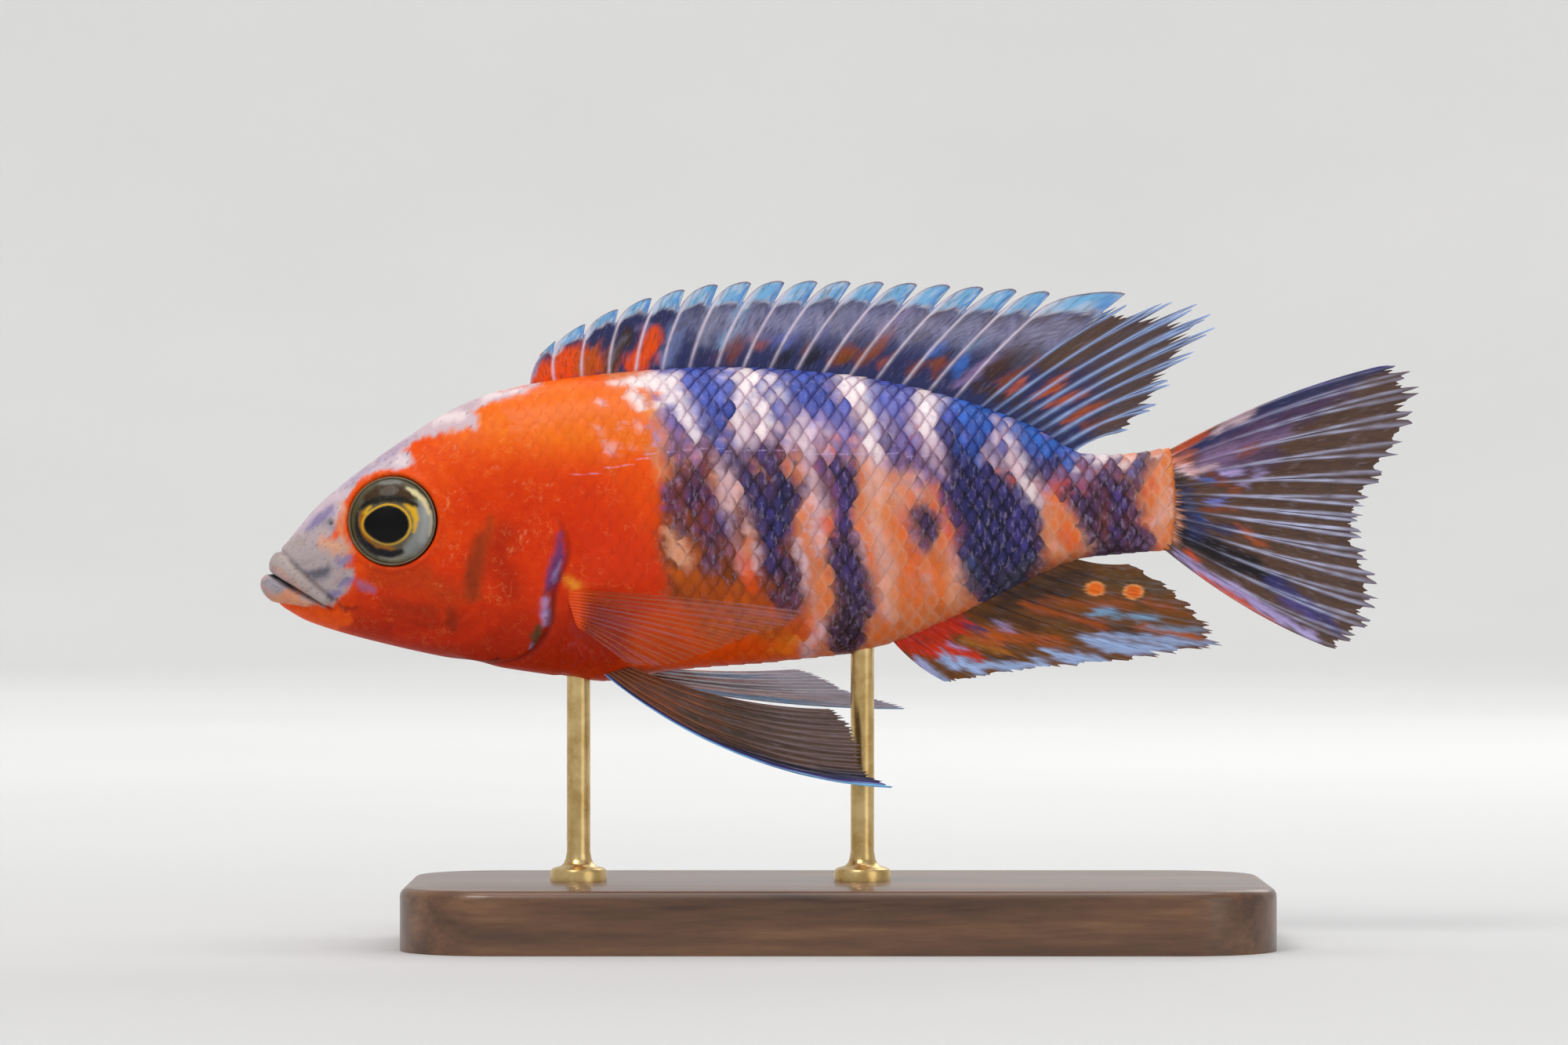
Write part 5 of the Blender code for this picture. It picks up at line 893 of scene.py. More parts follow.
def lipRelief(x, z):
    shape = reliefShape
    s, h = mouthPlace(x, z)
    height = np.zeros(x.shape)
    for lip, way in ((shape["upperLip"], 1), (shape["lowerLip"], -1)):
        width = alongLine(lip["width"], np.clip(s, 0, lip["width"][-1][0]))
        q = (way * h - width / 2 - 0.05) / (width / 2)
        taper = 1 - ease(lip["length"] - 1.3, lip["length"], s)
        swell = lip["height"] + lip["pout"] * bump(np.maximum(s, 0), shape["poutLength"])
        height += swell * np.clip(1 - q * q, 0, 1) ** 0.6 * taper
        height -= 0.2 * bump(way * h - width - 0.25, 0.24) * taper
    cleft = 1 - ease(shape["mouthLength"] - 0.6, shape["mouthLength"] + 0.4, s)
    return height - shape["cleftDepth"] * bump(h + cleftHalf(s) * 0.4, cleftHalf(s)) * cleft


def eyeDistance(x, z):
    return np.hypot(x - reliefShape["eyeMiddle"][0], z - reliefShape["eyeMiddle"][1])


def gillRelief(x, z):
    shape = reliefShape
    inside = -pathDistance(x, z, shape["gillEdge"])
    behind = ease(-50.5, -46.0, x) * ease(*shape["gillTop"], z)
    ramp = ease(-0.12, 0.12, inside) * (1 - ease(0.3, shape["gillRamp"], inside))
    slot = bump(inside + shape["slotWidth"], shape["slotWidth"])
    return (shape["gillProud"] * ramp - shape["slotDepth"] * slot) * behind


def skinRelief(x, z):
    shape = reliefShape
    height = -shape["inset"] * scaleCover(x, z)
    head = np.flatnonzero(x < -32)
    hx, hz = x[head], z[head]
    lift = lipRelief(hx, hz) + gillRelief(hx, hz)
    toEye = eyeDistance(hx, hz)
    lift -= shape["socketDepth"] * (1 - ease(shape["socketRadius"], shape["socketRadius"] + 1.3, toEye))
    lift += shape["lidHeight"] * bump(toEye - shape["lidRadius"], 0.42)
    toNostril = np.hypot(hx - shape["nostril"][0], hz - shape["nostril"][1])
    lift -= shape["nostrilDepth"] * bump(toNostril, shape["nostrilWidth"])
    lift += 0.14 * bump(toNostril - 0.6, 0.25)
    lift -= shape["grooveDepth"] * bump(pathDistance(hx, hz, shape["cheekGroove"]), shape["grooveWidth"])
    for poreX, poreZ in shape["pores"]:
        lift -= shape["poreDepth"] * bump(np.hypot(hx - poreX, hz - poreZ), shape["poreRadius"])
    height[head] += lift
    return height


# Where scales grow, and their size
coatShape = {
    "front": [(33, -36), (40, -34.3), (44, -33.4), (50, -32.4), (54, -33.4), (58, -36), (62, -39.5), (66, -42),
              (70, -43), (74, -42)],                                 # first scales, as x for each height
    "pitch": [(-46, 1.8), (-36, 1.95), (-28, 2.08), (2, 2.08), (30, 1.85), (43, 1.7)],
    "row": [(-46, 1.3), (-36, 1.42), (-28, 1.52), (2, 1.52), (30, 1.32), (43, 1.2)],
    "first": -46, "last": 40.6, "fromBack": 0.9, "fromBelly": 0.7,
    "finRoot": (-33.2, 43.0), "finRootClear": 2.3,
    "slope": 0.085, "crown": 0.06, "thick": 0.1, "start": 0.03,
    "stray": 0.55,                                                   # how far off a scale looks for its colour
    "plain": (-26, -17), "plainSlope": 0.25,                         # flatter scales ahead of here
    "calm": (52, 62), "calmShare": 0.45,                             # and below here
    "across": 7, "shares": (0.0, 0.42, 0.8, 1.0), "rootBack": 0.2, "reach": 1.13, "halfHeight": 1.08,
    "spotMiddle": 0.66, "spotLength": 0.34, "spotHeight": 0.8,       # pale or dark middle of a bare scale
    "threadRows": (0.8, 1.0, 1.0, 0.8),
    "lateral": [((-35, 6.3), (-28, 7.6), (-22, 8.6), (-5, 8.0), (12, 7.0)), ((6, 0.3), (26, 0.2), (40, 0.0))],
    "lateralStrength": (0.72, 0.35),
    "seed": 5,
}


def scaleCover(x, z):
    cover = ease(-0.6, 0.6, x - alongLine(coatShape["front"], z))
    return cover * ease(-0.5, 0.5, coatShape["last"] + 1.5 - x)


# Materials: a small wrapper lets shader sums be written as sums
class Wire:
    def __init__(self, finish, socket):
        self.finish = finish
        self.socket = socket

    def maths(self, operation, first, second):
        return self.finish.node("ShaderNodeMath", {"operation": operation}, {0: first, 1: second})

    def __add__(self, other):
        return self.maths("ADD", self, other)

    def __sub__(self, other):
        return self.maths("SUBTRACT", self, other)

    def __mul__(self, other):
        return self.maths("MULTIPLY", self, other)

    def __rsub__(self, other):
        return self.maths("SUBTRACT", other, self)

    __radd__ = __add__
    __rmul__ = __mul__


class Finish:
    def __init__(self, name):
        self.material = bpy.data.materials.new(name)
        self.material.use_nodes = True
        self.tree = self.material.node_tree
        self.shader = self.tree.nodes["Principled BSDF"]

    def node(self, kind, settings=None, sockets=None, output=0):
        made = self.tree.nodes.new(kind)
        for key, value in (settings or {}).items():
            if key == "stops":
                ramp = made.color_ramp
                while len(ramp.elements) < len(value):
                    ramp.elements.new(1.0)
                for element, (place, colour) in zip(ramp.elements, value):
                    element.position = place
                    element.color = (*colour, 1.0)
            else:
                setattr(made, key, value)
        for key, value in (sockets or {}).items():
            self.plug(made.inputs[key], value)
        return Wire(self, made.outputs[output])

    def plug(self, socket, value):
        if isinstance(value, Wire):
            self.tree.links.new(value.socket, socket)
        else:
            socket.default_value = value

    def mix(self, factor, first, second, blend="MIX"):
        return self.node("ShaderNodeMix", {"data_type": "RGBA", "blend_type": blend},
                         {0: factor, 6: first, 7: second}, 2)

    def attribute(self, name, output="Color"):
        return self.node("ShaderNodeAttribute", {"attribute_name": name}, None, output)

    def place(self):
        return self.node("ShaderNodeTexCoord", None, None, "Object")

    def noise(self, size, detail=3.0, roughness=0.5, vector=None):
        # size is the width of one blotch in millimetres
        sockets = {"Vector": vector or self.place(), "Scale": 1 / (size * toMetres), "Detail": detail,
                   "Roughness": roughness}
        return self.node("ShaderNodeTexNoise", None, sockets, "Fac")

    def ramp(self, factor, stops):
        return self.node("ShaderNodeValToRGB", {"stops": stops}, {"Fac": factor}, "Color")

    def stretch(self, factor, low, high):
        return self.node("ShaderNodeMapRange", {"clamp": True},
                         {"Value": factor, "From Min": low, "From Max": high})

    def bumps(self, height, depth, strength=1.0):
        return self.node("ShaderNodeBump", None,
                         {"Height": height, "Distance": depth * toMetres, "Strength": strength})

    def surface(self, **sockets):
        for key, value in sockets.items():
            self.plug(self.shader.inputs[key.replace("_", " ")], value)
        return self.material


def veins(finish, paint):
    # fine pale wisps where the paint is orange, and how orange it is
    parts = [finish.node("ShaderNodeSeparateColor", None, {"Color": paint}, name) for name in ("Red", "Blue")]
    warm = finish.stretch(parts[0] - parts[1], 0.25, 0.6)
    offset = finish.node("ShaderNodeMath", {"operation": "ABSOLUTE"}, {0: finish.noise(2.4, 4, 0.62) - 0.5})
    wisps = finish.stretch(offset, 0.022, 0.0) * finish.stretch(finish.noise(3.0, 3, 0.6), 0.48, 0.62)
    return finish.mix(wisps * warm * 0.22, paint, (1.0, 0.42, 0.16, 1)), warm


def skinFinish():
    finish = Finish("fishSkin")
    paint, warm = veins(finish, finish.attribute("paint"))
    fleck = finish.stretch(finish.noise(0.5, 4, 0.65), 0.58, 0.72)
    dark = finish.stretch(finish.noise(0.4, 3, 0.6), 0.6, 0.72)
    broad = finish.stretch(finish.noise(3.2, 5, 0.65), 0.4, 0.68)
    mottle = finish.stretch(finish.noise(1.1, 4, 0.6), 0.45, 0.65)
    colour = finish.mix(broad * (0.12 + warm * 0.28), paint, (0.8, 0.55, 0.45, 1), "MULTIPLY")
    colour = finish.mix(mottle * warm * 0.45, colour, (1.1, 1.6, 1.1, 1), "MULTIPLY")
    colour = finish.mix(fleck * 0.07, colour, (0.95, 0.4, 0.15, 1))
    colour = finish.mix(dark * (0.2 - warm * 0.06), colour, (0.05, 0.02, 0.03, 1))
    pores = finish.noise(0.35, 2, 0.5)
    return finish.surface(Base_Color=colour, Roughness=0.42 + pores * 0.2, Specular_IOR_Level=0.12,
                          Coat_Weight=0.03 + fleck * 0.05, Coat_Roughness=0.22,
                          Normal=finish.bumps(pores, 0.08, 0.5))


def scaleFinish():
    finish = Finish("fishScales")
    spot = finish.attribute("spot", "Vector")
    away = finish.node("ShaderNodeVectorMath", {"operation": "LENGTH"}, {0: spot}, "Value")
    patchy = finish.noise(0.55, 3, 0.6)
    spread = finish.attribute("spread", "Fac")
    around = finish.stretch(away + patchy * 0.7, 0.75, 1.45) * spread
    rim = finish.stretch(finish.attribute("down", "Fac") + patchy * 0.08, 0.87, 1.0)
    toEdge = around + (1 - around) * rim * 0.6
    paint, warm = veins(finish, finish.attribute("paint"))
    colour = finish.mix(toEdge, paint, finish.attribute("edge"))
    drops = finish.node("ShaderNodeMapping", None, {"Vector": finish.place(), "Scale": (1.0, 1.0, 0.4)})
    light = finish.stretch(finish.noise(0.5, 3, 0.6, drops), 0.52, 0.68)
    dark = finish.stretch(finish.noise(0.7, 3, 0.65, drops), 0.54, 0.7)
    colour = finish.mix(light * (1 - warm) * spread * 0.25, colour, (0.62, 0.52, 0.8, 1))
    colour = finish.mix(dark * (0.24 - warm * 0.14), colour, (0.05, 0.02, 0.035, 1))
    thread = finish.stretch(finish.attribute("thread", "Fac") + patchy * 0.7, 0.85, 1.25)
    colour = finish.mix(thread * 0.65, colour, (0.68, 0.5, 0.8, 1))
    grain = finish.noise(0.22, 2, 0.5)
    return finish.surface(Base_Color=colour, Roughness=0.36 + rim * 0.14 + grain * 0.1, Specular_IOR_Level=0.14,
                          Coat_Weight=0.07 - rim * 0.04, Coat_Roughness=0.18,
                          Normal=finish.bumps(grain, 0.04, 0.4))


def finFinish(name):
    finish = Finish(name)
    lay = finish.attribute("lay", "Vector")
    bare = 1 - finish.attribute("ray", "Fac")
    dark = finish.stretch(finish.noise(0.34, 3, 0.6, lay), 0.5, 0.68) * bare
    pale = finish.stretch(finish.noise(0.25, 2, 0.5, lay), 0.56, 0.72) * bare
    speck = finish.stretch(finish.noise(0.6, 4, 0.65), 0.56, 0.7)
    colour = finish.mix(pale * 0.16, finish.attribute("paint"), (0.5, 0.44, 0.6, 1))
    colour = finish.mix(dark * 0.5, colour, (0.03, 0.018, 0.02, 1))
    colour = finish.mix(speck * 0.12, colour, (0.04, 0.03, 0.045, 1))
    grain = finish.noise(0.3, 2, 0.5)
    return finish.surface(Base_Color=colour, Roughness=0.45 + grain * 0.2, Specular_IOR_Level=0.2,
                          Coat_Weight=0.04 + grain * 0.06, Coat_Roughness=0.3, Alpha=finish.attribute("body", "Fac"),
                          Normal=finish.bumps(grain, 0.05, 0.5))


def eyeFinish():
    finish = Finish("glassEye")
    fibres = finish.noise(0.35, 5, 0.7)
    fleck = finish.stretch(fibres, 0.52, 0.72)
    colour = finish.mix(fleck * 0.14, finish.attribute("paint"), (0.32, 0.3, 0.22, 1))
    colour = finish.mix(finish.attribute("pupil", "Fac"), colour, (0.001, 0.001, 0.0015, 1))
    return finish.surface(Base_Color=colour, Roughness=0.35 + fibres * 0.15, Specular_IOR_Level=0.1,
                          Coat_Weight=0.3, Coat_Roughness=0.03, Coat_IOR=1.3)


def woodFinish():
    finish = Finish("walnut")
    place = finish.place()
    grainPlace = finish.node("ShaderNodeMapping", None, {"Vector": place, "Scale": (0.09, 1.0, 1.0)})
    broad = finish.noise(5.0, 4, 0.55, grainPlace)
    fine = finish.noise(0.8, 5, 0.6, grainPlace)
    colour = finish.ramp(broad * 0.7 + fine * 0.3, [(0.32, (0.045, 0.018, 0.008)), (0.5, (0.13, 0.056, 0.024)),
                                                    (0.68, (0.24, 0.115, 0.05))])
    return finish.surface(Base_Color=colour, Roughness=0.3 + fine * 0.22, Coat_Weight=0.3 + broad * 0.1,
                          Coat_Roughness=0.12, Normal=finish.bumps(fine, 0.06, 0.4))


def brassFinish():
    finish = Finish("brass")
    worn = finish.noise(3.0, 4, 0.6)
    colour = finish.ramp(worn, [(0.35, (0.55, 0.36, 0.13)), (0.65, (0.78, 0.58, 0.27))])
    return finish.surface(Base_Color=colour, Metallic=1.0, Roughness=0.2 + worn * 0.18,
                          Normal=finish.bumps(finish.noise(0.4, 2), 0.01, 0.4))


def floorFinish():
    finish = Finish("paleFloor")
    cloud = finish.noise(220, 3, 0.5)
    colour = finish.mix(cloud, (0.6, 0.6, 0.6, 1), (0.66, 0.655, 0.65, 1))
    return finish.surface(Base_Color=colour, Roughness=0.75 + cloud * 0.1)


# Skin: a sphere whose rings become the body's rings
def makeSkin():
    half = bodyShape["half"]
    rows = len(surface["along"])
    deselectAll()
    bpy.ops.mesh.primitive_uv_sphere_add(segments=2 * half, ring_count=rows + 1, radius=1)
    piece = newPiece("skin")
    ball = readPoints(piece)
    ring = np.rint(np.arccos(np.clip(ball[:, 2], -1, 1)) / math.pi * (rows + 1)).astype(int) - 1
    turn = np.rint(np.arctan2(ball[:, 1], ball[:, 0]) / math.pi * half).astype(int) % (2 * half)
    column = np.where(turn <= half, turn, 2 * half - turn)
    side = np.where(turn <= half, 1.0, -1.0)
    inner = np.clip(ring, 0, rows - 1)
    points = surface["points"][inner, column]
    normals = surface["normals"][inner, column].copy()
    nose, tail = ring < 0, ring >= rows
    firstRing, lastRing = surface["points"][0], surface["points"][-1]
    frontEnd = bodyShape["noseStation"] - bodyShape["noseLength"]
    points[nose] = (frontEnd, 0, firstRing[:, 2].mean())
    points[tail] = (bodyShape["tailStation"] + bodyShape["tailRounding"], 0, lastRing[:, 2].mean())
    normals[nose], normals[tail] = (-1, 0, 0), (1, 0, 0)
    lift = skinRelief(points[:, 0], points[:, 2])
    moved = (points + normals * lift[:, None]) * np.stack([np.ones(len(side)), side, np.ones(len(side))], 1)
    writePoints(piece, moved)
    colours = np.empty((len(points), 3))
    for which in (-1, 1):
        chosen = side == which
        x, z = points[chosen, 0], points[chosen, 2]
        colours[chosen] = headTones(x, z, which)
    writeColours(piece, "paint", colours)
    shadeSmooth(piece)
    finishPiece(piece, skinFinish(),
                ("head", "lower_jaw", "gill_cover_left", "gill_cover_right", "trunk", "tail_stem"))
    return piece


def headTones(x, z, side):
    shape = reliefShape
    paint = bodyPaint(x, z, side, (bodyMarks, headMarks, lipMarks))
    main, edge = paint[:, :3], paint[:, 3:6]
    main += (edge - main) * (0.1 + 0.3 * ease(0.4, 1.1, ripple(x, z, 2.1, 47)))[:, None]
    warm = main[:, 0] > 3 * main[:, 1]                               # orange skin
    worms = (1 - ease(0.0, 0.1, np.abs(ripple(x, z, 2.4, 31)))) * ease(0.1, 0.8, ripple(x, z, 4.5, 33))
    main += (tone("peach") - main) * (0.4 * worms * warm * ease(46, 52, z))[:, None]
    dots = np.random.default_rng(90 + side).random(len(x)) < 0.03
    main += (tone("slateDark") - main) * (0.6 * dots * ~warm * (x < -34))[:, None]
    # Painted shade: night is laid into the gap between the lips, the crease above the upper lip, the eye socket, the
    # nostril pit and the slot under the gill cover's edge
    s, h = mouthPlace(x, z)
    head = ease(-34, -34.5, x)
    half = cleftHalf(s) * 1.2
    gap = ease(1.2, 0.75, np.abs(h + cleftHalf(s) * 0.4) / half) * (1 - ease(8.2, 9.0, s))
    lipTop = alongLine(shape["upperLip"]["width"], np.clip(s, 0, 7.8))
    foldShade = bump(h - lipTop - 0.2, 0.2) * ease(0.4, 1.4, s) * (1 - ease(8.0, 9.0, s)) * head * 0.45
    gap = gap * (1 - 0.5 * ease(2.5, 4.5, s))
    socket = 1 - ease(5.45, 5.75, eyeDistance(x, z))
    nostril = bump(np.hypot(x - shape["nostril"][0], z - shape["nostril"][1]), 0.26) * 0.6
    inside = -pathDistance(x, z, shape["gillEdge"])
    slot = bump(inside + 0.3, 0.3) * ease(-50.5, -46.0, x) * ease(*shape["gillTop"], z) * 0.35
    # each mask paints shade into a hollow of the skin
    for mask in (gap * head * 0.85, foldShade, socket, nostril, slot):
        main += (tone("night") - main) * np.clip(mask, 0, 1)[:, None]
    return main


# Scales: one plate shape laid along the body in staggered rows, each side joined as one mesh
def plateShape():
    shape = coatShape
    across = np.linspace(-1, 1, shape["across"])
    edge = shape["reach"] - 0.5 * np.abs(across) ** 1.6
    shares = np.array(shape["shares"])
    back = -shape["rootBack"] + np.outer(shares, edge + shape["rootBack"])
    sideways = np.tile(across, (len(shares), 1))
    down = np.tile(shares[:, None], (1, len(across)))
    columns, rows = shape["across"], len(shares)
    grid = np.arange(rows * columns).reshape(rows, columns)
    top = [(grid[r, c], grid[r + 1, c], grid[r + 1, c + 1], grid[r, c + 1])
           for r in range(rows - 1) for c in range(columns - 1)]
    rim = list(grid[0]) + list(grid[1:, -1]) + list(grid[-1, -2::-1]) + list(grid[-2:0:-1, 0])
    below = [rows * columns + index for index in range(len(rim))]
    skirt = [(rim[i], rim[(i + 1) % len(rim)], below[(i + 1) % len(rim)], below[i]) for i in range(len(rim))]
    return back.ravel(), sideways.ravel(), down.ravel(), top, rim, skirt, below[::-1]


def scaleRoots(side):
    # length along the body, height above the middle line, pitch and row spacing of every scale
    shape = coatShape
    firstAlong = np.interp(shape["first"], surface["middleX"], surface["along"])
    lastAlong = np.interp(shape["last"], surface["middleX"], surface["along"])
    places = [firstAlong]
    while places[-1] < lastAlong:
        x = np.interp(places[-1], surface["along"], surface["middleX"])
        places.append(places[-1] + float(alongLine(shape["pitch"], np.array(x))) / 2)
    found = []
    for number, along in enumerate(places):
        x = np.interp(along, surface["along"], surface["middleX"])
        pitch, row = (float(alongLine(shape[name], np.array(x))) for name in ("pitch", "row"))
        up, down = (np.interp(along, surface["along"], surface[name]) for name in ("up", "down"))
        for step in range(-40, 41):
            if (step + number) % 2 == 0:
                above = step * row
                if -down + shape["fromBelly"] < above < up - shape["fromBack"]:
                    found.append((along, above, pitch, row))
    roots = np.array(found)
    points, _, _ = onSurface(roots[:, 0], roots[:, 1])
    x, z = points[:, 0], points[:, 2]
    keep = (scaleCover(x, z) > 0.5) & (x < shape["last"])
    keep &= np.hypot(x - shape["finRoot"][0], z - shape["finRoot"][1]) > shape["finRootClear"]
    return roots[keep]


def makeCoat(name, side):
    shape = coatShape
    draw = np.random.default_rng(shape["seed"] + side)
    back, sideways, down, top, rim, skirt, under = plateShape()
    roots = scaleRoots(side)
    count, size = len(roots), len(back)
    pitch, row = roots[:, 2:3], roots[:, 3:4]
    along = roots[:, 0:1] + back[None, :] * pitch + draw.normal(0, 0.035, (count, 1))
    above = roots[:, 1:2] + sideways[None, :] * row * shape["halfHeight"] + draw.normal(0, 0.03, (count, 1))
    points, normals, share = onSurface(along, above)
    middleX = points[:, size // 2, 0]
    lively = ease(*shape["plain"], middleX)[:, None]                 # 0 on the plain shoulder, 1 behind it
    high = ease(*shape["calm"], points[:, size // 2, 2])[:, None]
    lively = lively * (shape["calmShare"] + (1 - shape["calmShare"]) * high)
    slope = shape["slope"] * draw.uniform(0.8, 1.25, (count, 1)) * (shape["plainSlope"]
                                                                    + (1 - shape["plainSlope"]) * lively)
    height = shape["start"] + slope * back[None, :] * pitch - shape["crown"] * sideways[None, :] ** 2
    height = height + draw.normal(0, 0.02, (count, 1)) * sideways[None, :] * lively
    onLine, column = np.zeros(count), np.zeros(count)
    for line, strength in zip(shape["lateral"], shape["lateralStrength"]):
        away = (alongLine(line, middleX) - roots[:, 1]) / row[:, 0]
        chosen = (middleX > line[0][0]) & (middleX < line[-1][0]) & (np.abs(away) < 0.5)
        onLine = np.where(chosen, strength, onLine)
        column = np.where(chosen, np.rint(away * 3) / 3, column)      # column of the plate under the line
    rowThread = np.repeat(shape["threadRows"], shape["across"])
    thread = onLine[:, None] * rowThread[None, :] * (np.abs(sideways[None, :] - column[:, None]) < 0.17)
    height = height + 0.05 * thread
    relief = skinRelief(points[..., 0].ravel(), points[..., 2].ravel()).reshape(count, size)
    topPoints = points + normals * (relief + height)[..., None]
    lowPoints = (points + normals * (relief + height - shape["thick"])[..., None])[:, rim]
    every = np.concatenate([topPoints, lowPoints], axis=1)
    every[..., 1] = np.maximum(every[..., 1], 0.12) * side
    perScale = size + len(rim)
    faces = []
    for index in range(count):
        start = index * perScale
        plate = [[start + corner for corner in face] for face in (*top, *skirt, under)]
        faces += plate if side > 0 else [face[::-1] for face in plate]
    mesh = bpy.data.meshes.new(name)
    mesh.from_pydata((every.reshape(-1, 3) * toMetres).tolist(), [], faces)
    piece = bpy.data.objects.new(name, mesh)
    bpy.context.scene.collection.objects.link(piece)
    paint = coatTones(points, side, lively, draw)
    withRim = np.concatenate([np.arange(size), rim])
    writeColours(piece, "paint", paint[:, withRim, :3].reshape(-1, 3))
    writeColours(piece, "edge", paint[:, withRim, 3:6].reshape(-1, 3))
    writeValues(piece, "spread", paint[:, withRim, 6])
    writeValues(piece, "down", down[withRim] * (0.91 + 0.09 * high * ease(*shape["plain"], middleX)[:, None]))
    writeValues(piece, "thread", thread[:, withRim])
    spot = np.stack([(back - shape["spotMiddle"]) / shape["spotLength"], sideways / shape["spotHeight"], 0 * back], 1)
    writeVectors(piece, "spot", np.tile(spot[withRim], (count, 1)))
    bakePatches(piece, roots, share, back, sideways, rim, count)
    shadeSmooth(piece, 50)
    finishPiece(piece, coatFinish)
    print(name, count, "scales", sum(len(face) - 2 for face in faces), "triangles")
    return piece


def bakePatches(piece, roots, share, back, sideways, rim, count):
    # each scale is a small patch at its root's place on the unrolled skin
    patch = 0.003
    rootU = roots[:, 0:1] / surface["along"][-1] * 0.96 + 0.02
    rootV = np.clip(share.mean(axis=1, keepdims=True), 0, 1) * 0.94 + 0.03
    u = rootU + (back / 1.4)[None, :] * patch
    v = rootV - sideways[None, :] / 2 * patch
    perVertex = np.concatenate([np.stack([u, v], -1), np.stack([u, v], -1)[:, rim]], axis=1).reshape(-1, 2)
    layer = piece.data.uv_layers.new(name="OFBake")
    corners = np.empty(len(piece.data.loops), int)
    piece.data.loops.foreach_get("vertex_index", corners)
    layer.data.foreach_set("uv", perVertex[corners].ravel())


def coatTones(points, side, lively, draw):
    count, size = points.shape[:2]
    stray = draw.normal(0, coatShape["stray"], (2, count, 1)) * lively
    x, z = (points[..., 0] + stray[0]).ravel(), (points[..., 2] + stray[1] * 1.3).ravel()
    paint = bodyPaint(x, z, side, (bodyMarks, headMarks)).reshape(count, size, 7)
    own = (0.1 + 0.4 * lively)[..., None]                            # share of a scale that is one colour
    paint = own * paint[:, size // 4:].mean(axis=1, keepdims=True) + (1 - own) * paint
    main, edge = paint[..., :3], paint[..., 3:6]
    dull = draw.uniform(0, 0.6, (count, 1, 1)) * paint[..., 6:7] * lively[..., None]
    main = main + (edge - main) * dull
    shade = 1 + draw.uniform(-0.18, 0.18, (count, 1, 1)) * (0.2 + 0.8 * lively[..., None])
    spread = paint[..., 6:7] * (1 + draw.uniform(-0.3, 0.2, (count, 1, 1)))
    return np.clip(np.concatenate([main * shade, edge * shade, spread], axis=2), 0, 1)


# Fins
finShape = {
    "rootDepth": 1.6,
    "crest": [(-38.5, 75.6), (-36.3, 77.3), (-32.6, 79.3), (-28, 81.2), (-20.8, 83.2), (-12.8, 84.1),
              (5.2, 84), (20.7, 83), (31.2, 82), (47.2, 80.8)],
    "spines": {"count": 17, "firstRoot": -39.0, "rootPitch": 3.32, "tips": (-37.9, -35.7), "tipPitch": 4.15,
               "bow": 1.2, "belowCrest": 1.1},
    "softDorsal": {"count": 9, "roots": (17.2, 29.2), "bow": (-0.3, 0, 1.6),
                   "tips": [(37.2, 81.8), (43.2, 81.5), (47.4, 80.6), (47.6, 78), (43.8, 73.8), (41.2, 69.4),
                            (36.8, 65.1)]},
    "caudal": {"count": 15, "rootX": 40.4, "roots": (61.8, 51.3), "bow": 2.8, "sway": 1.6,
               "tips": [(71.1, 74), (73.9, 70.6), (71.6, 63.1), (67.4, 56.2), (66.7, 52.3), (68.6, 46.5),
                        (67.8, 40.6), (63.8, 37.3)]},
    "anal": {"count": 11, "roots": (6.2, 28.6), "bow": (-0.4, 0, -1.2),
             "tips": [(14, 33.2), (19.4, 34.1), (25.8, 35.1), (34.7, 35.7), (42.2, 36.8), (49.4, 38.1),
                      (46.5, 41.6), (43.6, 44.6), (37.6, 48.4)],
             "spots": [(32.9, 45.2), (37.8, 44.8)]},
    "pelvic": {"count": 7, "roots": ((-29.6, 2.6, 34.4), (-26.4, 3.6, 35.4)),
               "left": {"tips": [(7.5, 8.6, 20.1), (3.2, 8.2, 22.3), (2.8, 7.4, 25.2), (1.6, 6.6, 28),
                                 (-0.6, 5.8, 30)], "bow": (-1.5, 1, -6.5)},
               "right": {"tips": [(9.4, 9, 29.6), (5, 8.6, 31), (0.6, 8, 32.2), (-1.6, 7.2, 33.6),
                                  (-5, 6.6, 34.8)], "bow": (-0.5, 2, -2.5)}},
    "pectoral": {"count": 14, "roots": ((-34.2, 7.4, 45.2), (-32.6, 7.4, 40.4)), "bow": (0, 1.6, 0.6),
                 "tips": [(-4, 19.6, 42.6), (-6.3, 19.4, 40.8), (-10.8, 18.4, 39.6), (-13.8, 17.4, 38.2),
                          (-17.8, 16, 36.8), (-22.3, 14, 35.6), (-26.8, 11.6, 36)]},
    "bowLeft": 0.4,                                                  # of a paired fin's bow at its last ray
    "spinyColumns": (0, 0.045, 0.09, 0.15, 0.24, 0.36, 0.48, 0.6, 0.7, 0.78, 0.84, 0.875, 0.91, 0.955),
    "lappet": [(0, 1.0), (0.09, 1.06), (0.24, 1.1), (0.48, 1.125), (0.7, 1.115), (0.8, 1.08), (0.86, 0.93),
               (0.9, 0.875), (0.955, 0.95), (1, 1.0)],
    "softColumns": 14, "rows": 44,
    # where each fin's soft rays begin to fork, how far apart the forks end, their twigs, frayed ends, half widths
    "fan": {"dorsal": {"fork": (0.5, 1.0), "spread": 0.12, "twig": 0.03, "fray": 0.15, "half": 0.26},
            "caudal": {"fork": (0.25, 0.95), "spread": 0.16, "twig": 0.045, "fray": 0.05, "half": 0.17},
            "anal": {"fork": (0.35, 0.9), "spread": 0.2, "twig": 0.06, "fray": 0.05, "half": 0.14},
            "pelvic": {"fork": (0.2, 0.8), "spread": 0.25, "twig": 0.1, "fray": 0.02, "half": 0.12},
            "pectoral": {"fork": (0.4, 0.95), "spread": 0.22, "twig": 0.07, "fray": 0.03, "half": 0.13}},
    "spineHalf": 0.22, "fibreStretch": 0.12,
}


def finRays(roots, tips, bows):
    return {"root": np.array(roots, float), "tip": np.array(tips, float), "bow": np.array(bows, float)}


